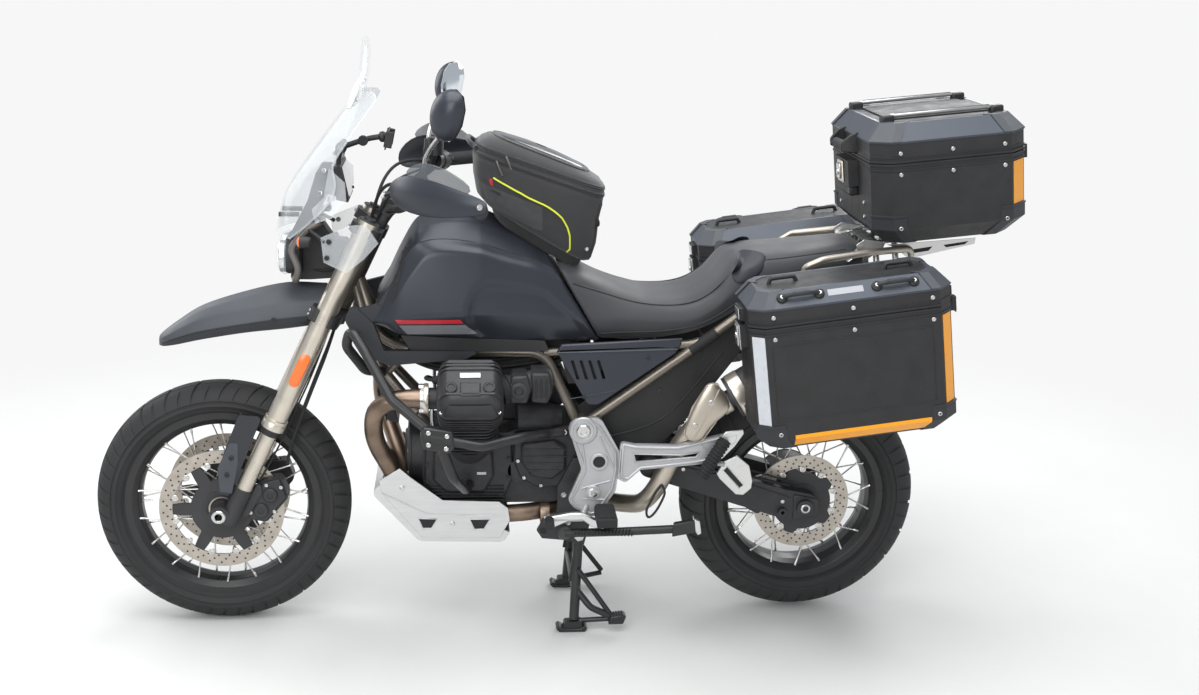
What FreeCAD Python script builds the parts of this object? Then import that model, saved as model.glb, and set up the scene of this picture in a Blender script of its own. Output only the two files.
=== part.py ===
import FreeCAD, Part
import math
import os
from functools import partial
from FreeCAD import Placement, Rotation, Vector

# An adventure motorcycle on its centre stand, in millimetres.
# It is drawn with the rear axle over the sheet's zero: X forward, Y to the left, Z up from the floor.
# Every sub-part is then placed back by Sizes.middle, so that the origin is in the middle of its length.

os.makedirs("parts", exist_ok=True)
doc = FreeCAD.newDocument("AdventureMotorcycle")
sheet = doc.addObject("Spreadsheet::Sheet", "Sizes")

# name: size in millimetres or degrees
SIZES = {
    # wheels
    "wheelbase": 1530,
    "front_tyre_radius": 329,
    "front_tyre_half": 55,
    "front_shoulder_radius": 288,
    "front_seat_radius": 241,
    "front_flange_radius": 254,
    "front_rim_half": 40,
    "rear_tyre_radius": 321,
    "rear_tyre_half": 75,
    "rear_shoulder_radius": 264,
    "rear_seat_radius": 216,
    "rear_flange_radius": 229,
    "rear_rim_half": 60,
    "rear_lift": 9,
    "rim_depth": 27,
    "spoke_radius": 2,
    "front_disc_radius": 160,
    "front_disc_side": 66,
    "rear_disc_radius": 130,
    "rear_disc_side": 66,
    "disc_thick": 4.5,
    "axle_radius": 12.5,
    "axle_bore": 9.5,
    "running_gap": 0.05,
    "seat_gap": 0.3,
    # fork and steering
    "rake": 25.5,
    "fork_lead": 28,
    "yoke_offset": 22,
    "fork_side": 103,
    "fork_tube_radius": 27,
    "fork_inner_radius": 21,
    "fork_top": 860,
    "fork_outer_end": 272,
    "head_low": 612,
    "head_high": 818,
    "yoke_thick": 34,
    # cases
    "case_wall": 2.5,
    "pannier_length": 480,
    "pannier_depth": 222,
    "pannier_height": 306,
    "pannier_lid_height": 78,
    "pannier_tilt": 7.5,
    "pannier_inner_side": 262,
    "lid_gap": 0.4,
    "top_case_length": 388,
    "top_case_width": 470,
    "top_case_height": 205,
    "top_case_lid_height": 92,
    "top_case_tilt": 6,
    "rear_reach": 502,
    # tubes
    "frame_tube_radius": 13,
    "rail_radius": 9,
    "crash_bar_radius": 12.5,
    "stand_tube_radius": 13,
}
for line, (name, value) in enumerate(SIZES.items(), start=1):
    sheet.set("A%d" % line, name)
    sheet.set("B%d" % line, str(value))
    sheet.setAlias("B%d" % line, name)
last = len(SIZES) + 1
sheet.set("A%d" % last, "middle")
sheet.set("B%d" % last, "=(wheelbase + front_tyre_radius - rear_reach) / 2")
sheet.setAlias("B%d" % last, "middle")
doc.recompute()

nodes = []


def size(name):
    return float(sheet.get(name))


def bind(item, prop, formula):
    item.setExpression(prop, str(formula))


# Helpers for document objects

def origin_plane(body, role):
    for feature in body.Origin.OriginFeatures:
        if feature.Role == role:
            return feature
    raise ValueError(role)


def rounded(outline):
    """Lines and arcs of a closed outline of (u, v, corner radius) rows."""
    count = len(outline)
    points = [Vector(row[0], row[1], 0) for row in outline]
    corners = []
    for index, row in enumerate(outline):
        here = points[index]
        to_last = points[index - 1] - here
        to_next = points[(index + 1) % count] - here
        radius = row[2] if len(row) > 2 else 0
        if radius <= 0:
            corners.append((here, None, here))
            continue
        half = to_last.getAngle(to_next) / 2
        reach = min(radius / math.tan(half), 0.48 * to_last.Length, 0.48 * to_next.Length)
        radius = reach * math.tan(half)
        to_last.normalize()
        to_next.normalize()
        inward = (to_last + to_next).normalize()
        centre = here + inward * (radius / math.sin(half))
        corners.append((here + to_last * reach, centre - inward * radius, here + to_next * reach))
    curves = []
    for index, (start, middle, end) in enumerate(corners):
        if middle is not None:
            curves.append(Part.Arc(start, middle, end))
        following = corners[(index + 1) % count][0]
        if (following - end).Length > 1e-6:
            curves.append(Part.LineSegment(end, following))
    return curves


def sketch_on(body, role, curves, offset):
    sketch = body.newObject("Sketcher::SketchObject", body.Name + "_sketch")
    sketch.AttachmentSupport = (origin_plane(body, role), [""])
    sketch.MapMode = "FlatFace"
    bind(sketch, "AttachmentOffset.Base.z", offset)
    sketch.addGeometry(curves, False)
    return sketch


def new_body(name):
    return doc.addObject("PartDesign::Body", name)


def slab(name, role, outline, low, high):
    """A flat piece: an outline on an origin plane, between two formulas along that plane's axis."""
    body = new_body(name)
    offset = "-(%s)" % high if role == "XZ_Plane" else low
    sketch = sketch_on(body, role, rounded(outline), offset)
    pad = body.newObject("PartDesign::Pad", name + "_pad")
    pad.Profile = sketch
    bind(pad, "Length", "(%s) - (%s)" % (high, low))
    sketch.Visibility = False
    return body


def side_slab(name, outline, low, high, side=1):
    """A slab across Y, on the left (side 1) or mirrored to the right (side -1)."""
    if side > 0:
        return slab(name, "XZ_Plane", outline, low, high)
    return slab(name, "XZ_Plane", outline, "-(%s)" % high, "-(%s)" % low)


def turned(name, outline):
    """A piece turned about its own Y axis from (y, radius, corner) rows."""
    body = new_body(name)
    sketch = sketch_on(body, "YZ_Plane", rounded(outline), "0")
    turn = body.newObject("PartDesign::Revolution", name + "_turn")
    turn.Profile = sketch
    turn.ReferenceAxis = (sketch, ["H_Axis"])
    turn.Angle = 360
    sketch.Visibility = False
    return body


def loft(name, sections, role="YZ_Plane"):
    """A body through outlines, each a row of (place along the axis, outline)."""
    body = new_body(name)
    sketches = [sketch_on(body, role, rounded(outline), place) for place, outline in sections]
    skin = body.newObject("PartDesign::AdditiveLoft", name + "_loft")
    skin.Profile = sketches[0]
    skin.Sections = sketches[1:]
    for sketch in sketches:
        sketch.Visibility = False
    return body


def both_sides(levels):
    """A symmetric outline from (height, half width, corner radius) levels, lowest first."""
    left = [(half, height, radius) for height, half, radius in levels]
    right = [(-half, height, radius) for height, half, radius in reversed(levels)]
    return left + right


def rod(name, start, end, radius):
    start = Vector(*start)
    end = Vector(*end)
    item = doc.addObject("Part::Cylinder", name)
    item.Placement = Placement(start, Rotation(Vector(0, 0, 1), end - start))
    item.Height = (end - start).Length
    bind(item, "Radius", radius)
    return item


def block(name, x, y, z):
    """A box between (low, high) formulas along each axis."""
    item = doc.addObject("Part::Box", name)
    for prop, place, (low, high) in zip(("Length", "Width", "Height"), "xyz", (x, y, z)):
        bind(item, prop, "(%s) - (%s)" % (high, low))
        bind(item, "Placement.Base." + place, low)
    return item


def path_wire(points, bend):
    """Straight runs joined by tangent arcs of one bend radius, smaller where a run is short."""
    points = [Vector(*point) for point in points]
    edges = []
    start = points[0]
    for before, here, after in zip(points, points[1:], points[2:]):
        back = before - here
        on = after - here
        half = back.getAngle(on) / 2
        reach = min(bend / math.tan(half), 0.45 * back.Length, 0.45 * on.Length)
        radius = reach * math.tan(half)
        back.normalize()
        on.normalize()
        inward = (back + on).normalize()
        centre = here + inward * (radius / math.sin(half))
        first = here + back * reach
        edges.append(Part.LineSegment(start, first).toShape())
        edges.append(Part.Arc(first, centre - inward * radius, here + on * reach).toShape())
        start = here + on * reach
    edges.append(Part.LineSegment(start, points[-1]).toShape())
    return Part.Wire(edges)


def tube(name, points, radius, bend=40):
    """A bent round bar along a path in space."""
    wire = path_wire(points, bend)
    along = Vector(*points[1]) - Vector(*points[0])
    ring = Part.Wire([Part.makeCircle(radius, Vector(*points[0]), along)])
    item = doc.addObject("Part::Feature", name)
    item.Shape = wire.makePipeShell([ring], True, False)
    return item


def mirrored(points, side):
    return [(x, y * side, z) for x, y, z in points]


def fused(name, items):
    item = doc.addObject("Part::MultiFuse", name)
    item.Shapes = items
    return item


def cut(name, base, tool):
    item = doc.addObject("Part::Cut", name)
    item.Base = base
    item.Tool = tool
    return item


def joined(name, items):
    """Fuses pieces one after another."""
    whole = items[0]
    for index, item in enumerate(items[1:]):
        whole = fused("%s_%d" % (name, index), [whole, item])
    return whole


def group(name, items):
    item = doc.addObject("Part::Compound", name)
    item.Links = items
    return item


def sub_part(item, label, x="-Sizes.middle", z="0"):
    """Names a finished piece as a node and places it."""
    item.Label = label
    bind(item, "Placement.Base.x", x)
    bind(item, "Placement.Base.z", z)
    nodes.append(item)
    return item


# Wheels

FRONT_AXLE = (size("wheelbase"), size("front_tyre_radius"))
AXLE_X = FRONT_AXLE[0]
REAR_AXLE = (0.0, size("rear_tyre_radius") + size("rear_lift"))


def tyre_profile(wheel):
    """Bead, sidewall and crown; the crown is one arc through the shoulders."""
    half = size(wheel + "_tyre_half")
    top = size(wheel + "_tyre_radius")
    shoulder = size(wheel + "_shoulder_radius")
    seat = size(wheel + "_seat_radius") + size("seat_gap")
    flange = size(wheel + "_flange_radius") + size("seat_gap")
    rim_half = size(wheel + "_rim_half")
    bead = rim_half - 5 - size("seat_gap")
    knee = (flange + shoulder) / 2 - 3
    corners = {}
    for side in (-1, 1):
        corners[side] = [Vector(side * bead, seat, 0), Vector(side * bead, flange + 1, 0),
                         Vector(side * rim_half, flange + 1, 0), Vector(side * half, shoulder, 0)]
    curves = [Part.LineSegment(corners[-1][0], corners[-1][1]),
              Part.LineSegment(corners[-1][1], corners[-1][2]),
              Part.Arc(corners[-1][2], Vector(-half + 2, knee, 0), corners[-1][3]),
              Part.Arc(corners[-1][3], Vector(0, top, 0), corners[1][3]),
              Part.Arc(corners[1][3], Vector(half - 2, knee, 0), corners[1][2]),
              Part.LineSegment(corners[1][2], corners[1][1]),
              Part.LineSegment(corners[1][1], corners[1][0]),
              Part.LineSegment(corners[1][0], corners[-1][0])]
    return curves


def wheel_tyre(wheel):
    body = new_body(wheel + "_tyre")
    sketch = sketch_on(body, "YZ_Plane", tyre_profile(wheel), "0")
    turn = body.newObject("PartDesign::Revolution", wheel + "_tyre_turn")
    turn.Profile = sketch
    turn.ReferenceAxis = (sketch, ["H_Axis"])
    turn.Angle = 360
    return body


def wheel_rim(wheel):
    half = size(wheel + "_rim_half")
    seat = size(wheel + "_seat_radius")
    flange = size(wheel + "_flange_radius")
    low = seat - size("rim_depth")
    # (across, radius, corner)
    outline = [(-half, flange, 2), (-half + 4, flange, 2), (-half + 5, seat, 0), (half - 5, seat, 0),
               (half - 4, flange, 2), (half, flange, 2), (half, seat - 6, 3), (half * 0.72, low + 5, 6),
               (half * 0.3, low, 8), (-half * 0.3, low, 8), (-half * 0.72, low + 5, 6), (-half, seat - 6,
                       3)]
    return turned(wheel + "_rim", outline)


def wheel_spokes(wheel, count, hub_radius, hub_half, seat_depth):
    """Crossed spokes from the hub's flanges to the outer edges of the rim."""
    rim_side = size(wheel + "_rim_half") * 0.8
    rim_radius = size(wheel + "_seat_radius") - size("rim_depth") + seat_depth
    spokes = []
    for index in range(count):
        angle = 2 * math.pi * index / count
        side = 1 if index % 2 else -1
        lean = math.radians(38) * (1 if index % 4 < 2 else -1)
        hub = angle + lean
        start = Vector(hub_radius * math.cos(hub), side * hub_half, hub_radius * math.sin(hub))
        end = Vector(rim_radius * math.cos(angle), side * rim_side, rim_radius * math.sin(angle))
        along = (end - start).normalize()
        start = start + along * 1.5
        spokes.append(rod("%s_spoke_%d" % (wheel, index), start, end, "Sizes.spoke_radius"))
    return group(wheel + "_spokes_group", spokes)


def front_hub():
    """Barrel with two spoke flanges, and a disc on each side carried by arms."""
    bore = size("axle_radius") + size("running_gap")
    face = size("front_disc_side")
    outline = [(-face, bore, 0), (face, bore, 0), (face, 44, 2), (44, 44, 4), (42, 36, 3), (38, 36, 2),
               (38, 56, 2), (31, 56, 2), (26, 33, 8), (-26, 33, 8), (-31, 56, 2), (-38, 56, 2),
               (-38, 36, 2), (-42, 36, 3), (-44, 44, 4), (-face, 44, 2)]
    return turned("front_hub", outline)


def disc(name, radius, inner, carrier, hub_radius, low, arms):
    """A brake rotor with its carrier: a ring, a hub ring and arms between them."""
    thick = size("disc_thick")
    high = low + thick
    rotor = turned(name + "_rotor", [(low, inner, 0), (high, inner, 0), (high, radius, 0),
                                     (low, radius, 0)])
    ring = turned(name + "_ring", [(low, hub_radius, 0), (high, hub_radius, 0), (high, carrier, 0),
                                   (low, carrier, 0)])
    pieces = [rotor, ring]
    for index in range(arms):
        angle = 360.0 * index / arms
        arm = doc.addObject("Part::Box", "%s_arm_%d" % (name, index))
        arm.Length = inner + 4 - carrier + 4
        arm.Width = thick
        arm.Height = 18
        turn = Rotation(Vector(0, 1, 0), angle)
        arm.Placement = Placement(turn.multVec(Vector(carrier - 4, low, -9)), turn)
        pieces.append(arm)
    return fused(name, pieces)


def wheels():
    place = {"front": ("Sizes.wheelbase - Sizes.middle", "Sizes.front_tyre_radius"),
             "rear": ("-Sizes.middle", "Sizes.rear_tyre_radius + Sizes.rear_lift")}
    # wheel, spoke count, hub flange radius, hub flange side, how deep a spoke ends in the rim's slope
    for wheel, count, hub_radius, hub_half, depth in (("front", 36, 57, 34.5, 5.8),
                                                      ("rear", 36, 74, 34.5, 6.8)):
        x, z = place[wheel]
        sub_part(wheel_tyre(wheel), wheel + "_tyre", x, z)
        sub_part(wheel_rim(wheel), wheel + "_rim", x, z)
        sub_part(wheel_spokes(wheel, count, hub_radius, hub_half, depth), wheel + "_spokes", x, z)
    face = size("front_disc_side")
    thick = size("disc_thick")
    radius = size("front_disc_radius")
    left = disc("front_disc_left", radius, radius - 34, 58, 30, face, 6)
    right = disc("front_disc_right", radius, radius - 34, 58, 30, -face - thick, 6)
    sub_part(front_hub(), "front_hub", *place["front"])
    sub_part(group("front_disc_pair", [left, right]), "front_discs", *place["front"])
    # the rear hub is wide on the right, where the shaft drives it
    bore = size("axle_radius") + size("running_gap")
    side = size("rear_disc_side")
    outline = [(-62, bore, 0), (side, bore, 0), (side, 46, 2), (44, 46, 4), (38, 52, 2), (38, 73, 2),
               (31, 73, 2), (26, 48, 8), (-26, 48, 8), (-31, 73, 2), (-38, 73, 2), (-38, 60, 3), (-62, 60,
                       3)]
    sub_part(turned("rear_hub", outline), "rear_hub", *place["rear"])
    radius = size("rear_disc_radius")
    sub_part(disc("rear_disc_plate", radius, radius - 36, 62, 30, side, 5), "rear_disc", *place["rear"])


# Steering: places along the steering axis are measured up from its point beside the front axle

RAKE = math.radians(size("rake"))
UP = Vector(-math.sin(RAKE), 0, math.cos(RAKE))
AHEAD = Vector(math.cos(RAKE), 0, math.sin(RAKE))
STEER_FOOT = Vector(FRONT_AXLE[0], 0, FRONT_AXLE[1]) - AHEAD * (size("fork_lead") + size("yoke_offset"))
STEER_TURN = Rotation(Vector(0, 1, 0), -size("rake"))


def steer(along, ahead=0.0, side=0.0):
    """A point from its height along the steering axis, its distance ahead of it and its side."""
    point = STEER_FOOT + UP * along + AHEAD * ahead
    return (point.x, side, point.z)


def yoke(name, low, thick):
    """A flat clamp round the stem and both fork legs, square to the steering axis."""
    side = size("fork_side")
    lead = size("yoke_offset")
    reach = size("fork_tube_radius") + 11
    # (ahead, side, corner)
    outline = [(lead + reach, side - 24, 20), (lead + reach, side + 20, 30), (lead - reach, side + 26, 30),
               (lead - reach - 8, 40, 8), (-32, 22, 16), (-32, -22, 16), (lead - reach - 8, -40,
                       8), (lead - reach, -side - 26, 30), (lead + reach, -side - 20, 30),
               (lead + reach, -side + 24, 20), (26, -40, 14), (26, 40, 14)]
    plate = slab(name, "XY_Plane", outline, "0", str(thick))
    plate.Placement = Placement(Vector(*steer(low)), STEER_TURN)
    return plate


def fork():
    side = size("fork_side")
    lead = size("yoke_offset")
    top = size("fork_top")
    end = size("fork_outer_end")
    lower = yoke("lower_yoke", size("head_low") - 4 - size("yoke_thick"), size("yoke_thick"))
    upper = yoke("upper_yoke", size("head_high") + 4, 26)
    stem = rod("steering_stem", steer(size("head_low") - 10), steer(size("head_high") + 42), "14")
    cap = rod("stem_nut", steer(size("head_high") + 30), steer(size("head_high") + 44), "20")
    bores = []
    for hand, sign in (("left", 1), ("right", -1)):
        bores.append(rod("yoke_bore_" + hand, steer(size("head_low") - 90, lead, sign * side),
                         steer(top + 60, lead, sign * side), "Sizes.fork_tube_radius + Sizes.seat_gap"))
    risers = [rod("bar_riser_%d" % sign, steer(size("head_high") + 24, -8, sign * 42),
                  steer(size("head_high") + 63.7, -8, sign * 42), "15") for sign in (-1, 1)]
    body = fused("yoke_bodies", [lower, upper, stem, cap] + risers)
    sub_part(cut("yokes_cut", body, group("yoke_bores", bores)), "fork_yokes")

    legs = []
    castings = []
    for hand, sign in (("left", 1), ("right", -1)):
        outer = rod("fork_outer_" + hand, steer(end, lead, sign * side), steer(top, lead, sign * side),
                    "Sizes.fork_tube_radius")
        flare = rod("fork_flare_" + hand, steer(end, lead, sign * side), steer(end + 26, lead, sign * side),
                    "Sizes.fork_tube_radius + 3.5")
        inner = rod("fork_inner_" + hand, steer(90, lead, sign * side), steer(end + 5, lead, sign * side),
                    "Sizes.fork_inner_radius")
        knob = rod("fork_cap_" + hand, steer(top, lead, sign * side), steer(top + 9, lead, sign * side),
                   "14")
        legs.append(fused("fork_leg_" + hand, [outer, flare, inner, knob]))
        foot = rod("foot_barrel_" + hand, steer(-14, lead, sign * side), steer(90, lead, sign * side), "24")
        axle_ahead = lead + size("fork_lead")
        eye = rod("foot_eye_" + hand, steer(0, axle_ahead, sign * (side - 24)),
                  steer(0, axle_ahead, sign * (side + 24)), "26")
        ear_outline = [(lead - 46, 96, 8), (lead - 27, 126, 6), (lead - 24, 88, 2), (lead, 60, 4),
                       (lead, -6, 4), (lead - 40, 22, 8)]
        ear = side_slab("caliper_ear_" + hand, ear_outline, "%g" % (side - 14), "%g" % (side - 2), sign)
        ear.Placement = Placement(STEER_FOOT, STEER_TURN)
        solid = fused("foot_solid_" + hand, [foot, eye, ear])
        bore = rod("foot_bore_" + hand, steer(0, axle_ahead, sign * (side - 40)),
                   steer(0, axle_ahead, sign * (side + 40)), "Sizes.axle_radius + Sizes.seat_gap")
        castings.append(cut("fork_foot_" + hand, solid, bore))
    sub_part(group("fork_leg_pair", legs), "fork_legs")
    sub_part(group("fork_foot_pair", castings), "fork_feet")

    # hollow axle with a head on the right and spacers that locate the hub
    x, z = FRONT_AXLE
    face = size("front_disc_side") + size("disc_thick")
    shaft = rod("axle_shaft", (x, -side - 30, z), (x, side + 26, z), "Sizes.axle_radius")
    head = rod("axle_head", (x, -side - 34, z), (x, -side - 24.3, z), "19")
    spacers = [rod("axle_spacer_%d" % sign, (x, sign * (face + 0.3), z), (x, sign * (side - 24.3), z), "17")
               for sign in (-1, 1)]
    hole = rod("axle_hole", (x, -side - 60, z), (x, side + 60, z), "Sizes.axle_bore")
    sub_part(cut("axle_cut", fused("axle_solid", [shaft, head] + spacers), hole), "front_axle")

    # radial calipers reach over the discs from behind the legs
    calipers = []
    for hand, sign in (("left", 1), ("right", -1)):
        radius = size("front_disc_radius")
        # (behind and above the axle, turned with the fork)
        outline = [(-118, 22, 14), (-70, 10, 10), (-52, 60, 12), (-62, 124, 20), (-104, 150, 16),
                   (-142, 110, 20)]
        shape = side_slab("caliper_shape_" + hand, outline, "48", "88.7", sign)
        shape.Placement = Placement(Vector(*steer(0, lead + size("fork_lead"))), STEER_TURN)
        slot = turned("caliper_slot_" + hand,
                      [(sign * size("front_disc_side") - 4, 0, 0),
                       (sign * (size("front_disc_side")) + 9, 0, 0),
                       (sign * size("front_disc_side") + 9, radius + 5, 0),
                       (sign * size("front_disc_side") - 4, radius + 5, 0)])
        if sign < 0:
            slot.Placement = Placement(Vector(x, -5, z), Rotation())
        else:
            slot.Placement = Placement(Vector(x, 0, z), Rotation())
        calipers.append(cut("caliper_" + hand, shape, slot))
    sub_part(group("caliper_pair", calipers), "front_calipers")

    guards = []
    for hand, sign in (("left", 1), ("right", -1)):
        # (ahead of the axis, along the fork, corner) from the guard's top edge down
        outline = [(lead + 36, 290, 10), (lead + 90, 270, 14), (lead + 84, 160, 40), (lead + 62, 56, 12),
                   (lead + 27, 60, 8), (lead + 30, 180, 30)]
        plate = side_slab("guard_plate_" + hand, outline, "%g" % (side + 12), "%g" % (side + 17), sign)
        # the wrapped front strip
        strip = [(lead + 83, 268, 2), (lead + 89, 266, 2), (lead + 83, 160, 30), (lead + 61, 60, 2),
                 (lead + 55, 62, 2), (lead + 77, 160, 30)]
        wrap = side_slab("guard_wrap_" + hand, strip, "%g" % (side - 20), "%g" % (side + 14), sign)
        lug = [(lead + 21.3, 140, 1), (lead + 44, 144, 3), (lead + 44, 96, 3), (lead + 21.3, 94, 1)]
        foot = side_slab("guard_foot_" + hand, lug, "%g" % (side - 3), "%g" % (side + 14), sign)
        for piece in (plate, wrap, foot):
            piece.Placement = Placement(STEER_FOOT, STEER_TURN)
        guards.append(fused("guard_" + hand, [plate, wrap, foot]))
    sub_part(group("guard_pair", guards), "fork_guards")


def front_mudguard():
    """A high arched shell from the lower yoke to a pointed tip."""
    # place ahead of the front axle, underside, side crease, top of shoulder, crown, half widths at each
    rows = [
        (-282, 822, 848, 900, 915, 70, 78, 40, 22),
        (-185, 812, 842, 893, 920, 74, 80, 44, 24),
        (-80, 802, 826, 868, 896, 74, 78, 46, 24),
        (30, 782, 804, 836, 858, 64, 68, 42, 22),
        (110, 762, 780, 800, 814, 40, 46, 30, 16),
        (146, 752, 762, 774, 782, 14, 20, 16, 9),
    ]
    outer = []
    inner = []
    wall = 4
    for x, low, crease, shoulder, crown, half_low, half, half_shoulder, half_crown in rows:
        place = AXLE_X + x
        outer.append((place, both_sides([(low, half_low, 2), (crease, half, 8),
                                         (shoulder, half_shoulder, 10), (crown, half_crown, 6)])))
        inner.append((place, both_sides([(low - 20, half_low - wall, 2), (crease - 4, half - wall, 6),
                                         (shoulder - wall, half_shoulder - 3, 8),
                                         (crown - wall, half_crown - 3, 4)])))
    shell = loft("mudguard_outer", outer)
    hollow = loft("mudguard_inner", inner[:-1])
    hollow.Placement = Placement(Vector(-10, 0, 0), Rotation())
    low = size("head_low") - 4 - size("yoke_thick") - size("seat_gap")
    reach = size("yoke_offset") + size("fork_tube_radius") + 15
    behind = side_slab("mudguard_rear_cut", [(-300, 300, 0), (reach, 300, 0), (reach, 900, 0),
                                             (-300, 900, 0)],
                       "-200", "200")
    behind.Placement = Placement(STEER_FOOT, STEER_TURN)
    guard = cut("mudguard_shell", shell, group("mudguard_cutters", [hollow, behind]))
    arm = side_slab("mudguard_arm", [(-10, low - 24, 4), (reach + 26, low - 24, 4), (reach + 26, low, 4),
                                     (-10, low, 4)], "-30", "30")
    arm.Placement = Placement(STEER_FOOT, STEER_TURN)
    bridge = block("mudguard_bridge", ("Sizes.wheelbase - 212", "Sizes.wheelbase - 186"),
                   ("-75", "75"), ("820", "842"))
    sub_part(fused("mudguard_all", [guard, arm, bridge]), "front_mudguard")


def handlebar():
    """Tapered bar with grips, levers and switch housings, and its clamp on the risers."""
    centre = steer(size("head_high") + 86, -8)
    x = centre[0]
    z = centre[2]
    items = []
    bar = [(AXLE_X - 660, 432, 1180), (AXLE_X - 568, 285, 1192), (x - 30, 150, z + 14),
           (x, 78, z), (x, -78, z),
           (x - 30, -150, z + 14), (AXLE_X - 568, -285, 1192), (AXLE_X - 660, -432, 1180)]
    items.append(tube("bar_tube", bar, 11, 60))
    for sign in (-1, 1):
        items.append(rod("bar_clamp_%d" % sign, (x, sign * 27, z), (x, sign * 57, z), "22"))
        grip_start = Vector(AXLE_X - 575, sign * 296, 1191.1)
        grip_end = Vector(AXLE_X - 656, sign * 425.5, 1180.5)
        items.append(rod("grip_%d" % sign, grip_start, grip_end, "16.5"))
        along = (grip_start - grip_end).normalize()
        items.append(rod("switch_%d" % sign, grip_start + along * 2, grip_start + along * 46, "23"))
        lever = mirrored([(AXLE_X - 524, 262, 1190), (AXLE_X - 522, 296, 1183),
                          (AXLE_X - 555, 350, 1177), (AXLE_X - 598, 408, 1170)], sign)
        items.append(tube("lever_%d" % sign, lever, 5.5, 30))
        items.append(rod("lever_perch_%d" % sign, (AXLE_X - 545, sign * 252, 1196),
                         (AXLE_X - 518, sign * 258, 1190), "11"))
    items.append(rod("brake_reservoir", (AXLE_X - 555, -238, 1212), (AXLE_X - 555, -238, 1252), "21"))
    items.append(rod("brake_reservoir_foot", (AXLE_X - 545, -248, 1190), (AXLE_X - 552, -240, 1216), "9"))
    sub_part(fused("bar_all", items), "handlebar")

    guards = []
    for hand, sign in (("left", 1), ("right", -1)):
        # outline in the side view, wrapped by two plates that meet at the front edge
        shell = [(0, 1205, 14), (-30, 1248, 20), (-110, 1262, 30), (-240, 1232, 20), (-280, 1196, 14),
                 (-256, 1166, 16), (-140, 1156, 40), (-50, 1166, 30)]
        plate = side_slab("hand_plate_" + hand, shell, "0", "5", sign)
        turn = Rotation(Vector(0, 0, 1), -40 * sign)
        plate.Placement = Placement(Vector(AXLE_X - 438, sign * 290, 0), turn)
        post = rod("hand_post_" + hand, (AXLE_X - 664.4, sign * 439.1, 1170),
                   (AXLE_X - 664.4, sign * 439.1, 1194), "7")
        strut = rod("hand_strut_" + hand, (AXLE_X - 664.4, sign * 439.1, 1184),
                    (AXLE_X - 641, sign * 465.5, 1190), "6")
        guards.append((plate, post, strut))
    solids = [fused("hand_guard_%d" % index, list(pair)) for index, pair in enumerate(guards)]
    sub_part(group("hand_guard_pair", solids), "hand_guards")

    mirrors = []
    for hand, sign in (("left", 1), ("right", -1)):
        stem = tube("mirror_stem_" + hand, [(AXLE_X - 532, sign * 255, 1206.5),
                                            (AXLE_X - 537, sign * 262, 1290),
                                            (AXLE_X - 586, sign * 352, 1352)], 5, 30)
        # outline seen from behind: narrow at the foot, broad and rounded above
        shell = [(-34, 4, 14), (4, 0, 14), (46, 44, 30), (52, 100, 26), (14, 122, 24), (-30, 108, 30),
                 (-50, 54, 30)]
        head = slab("mirror_head_" + hand, "YZ_Plane", [(u * sign, v, r) for u, v, r in shell], "0", "22")
        head.Placement = Placement(Vector(AXLE_X - 604, sign * 366, 1326),
                                   Rotation(Vector(0, 0, 1), 12 * sign))
        mirrors.append(fused("mirror_" + hand, [stem, head]))
    sub_part(group("mirror_pair", mirrors), "mirrors")


# Frame, engine and running gear

def frame():
    low = size("head_low")
    high = size("head_high")
    head = rod("head_tube", steer(low), steer(high), "30")
    items = [head]
    for sign in (-1, 1):
        upper = mirrored([steer(700, -16, 10), (1120, 48, 788), (1040, 100, 762), (700, 128, 764),
                          (618, 138, 590)], sign)
        lower = mirrored([steer(680, -14, 10), (1120, 60, 715), (1022, 92, 596)], sign)
        items.append(tube("frame_upper_%d" % sign, upper, size("frame_tube_radius"), 60))
        items.append(tube("frame_lower_%d" % sign, lower, size("frame_tube_radius"), 60))
        items.append(rod("frame_brace_%d" % sign, (1100, sign * 62, 690), (1040, sign * 98, 764), "9"))
        items.append(rod("engine_lug_%d" % sign, (1022, sign * 92, 596), (1000, sign * 86, 560), "14"))
        items.append(rod("pivot_boss_%d" % sign, (602, sign * 120, 576), (602, sign * 176, 576), "24"))
        rear = mirrored([(602, 148, 576), (306, 150, 791), (200, 148, 870), (40, 140, 930),
                         (-230, 112, 985)],
                        sign)
        seat_rail = mirrored([(700, 128, 764), (560, 132, 772), (330, 148, 790), (290, 150, 803)], sign)
        items.append(tube("frame_rear_%d" % sign, rear, size("frame_tube_radius"), 60))
        items.append(tube("frame_seat_%d" % sign, seat_rail, 11, 60))
    for index, (x, z, half) in enumerate(((700, 764, 128), (290, 803, 150), (-60, 951, 130),
                                          (1040, 764, 100))):
        items.append(rod("frame_cross_%d" % index, (x, -half, z), (x, half, z), "11"))
    items.append(rod("shock_cross", (420, -142, 787), (420, 142, 787), "10"))
    items.append(side_slab("shock_plate_high", [(404, 740, 8), (436, 740, 8), (434, 788, 2), (406, 788, 2)],
                           "-104", "-88"))
    items.append(rod("shock_pin_high", (420, -100, 758), (420, -50, 758), "8"))
    body = fused("frame_tubes", items)
    bore = rod("head_bore", steer(low - 30), steer(high + 30), "14 + Sizes.running_gap")
    sub_part(cut("frame_cut", body, bore), "main_frame")


ENGINE_X = 888
CRANK_Z = 430
ROOT_END = 165
HEAD_END = 382
COVER_END = 446


def bank(piece, side, out):
    """Stands a piece, drawn along Z, on one cylinder's axis at a distance from the crankshaft."""
    turn = Rotation(Vector(1, 0, 0), -45 * side)
    piece.Placement = Placement(Vector(ENGINE_X, 0, CRANK_Z) + turn.multVec(Vector(0, 0, out)), turn)
    return piece


def plate_outline(long, wide, corner):
    return [(-long / 2, -wide / 2, corner), (long / 2, -wide / 2, corner), (long / 2, wide / 2, corner),
            (-long / 2, wide / 2, corner)]


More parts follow.
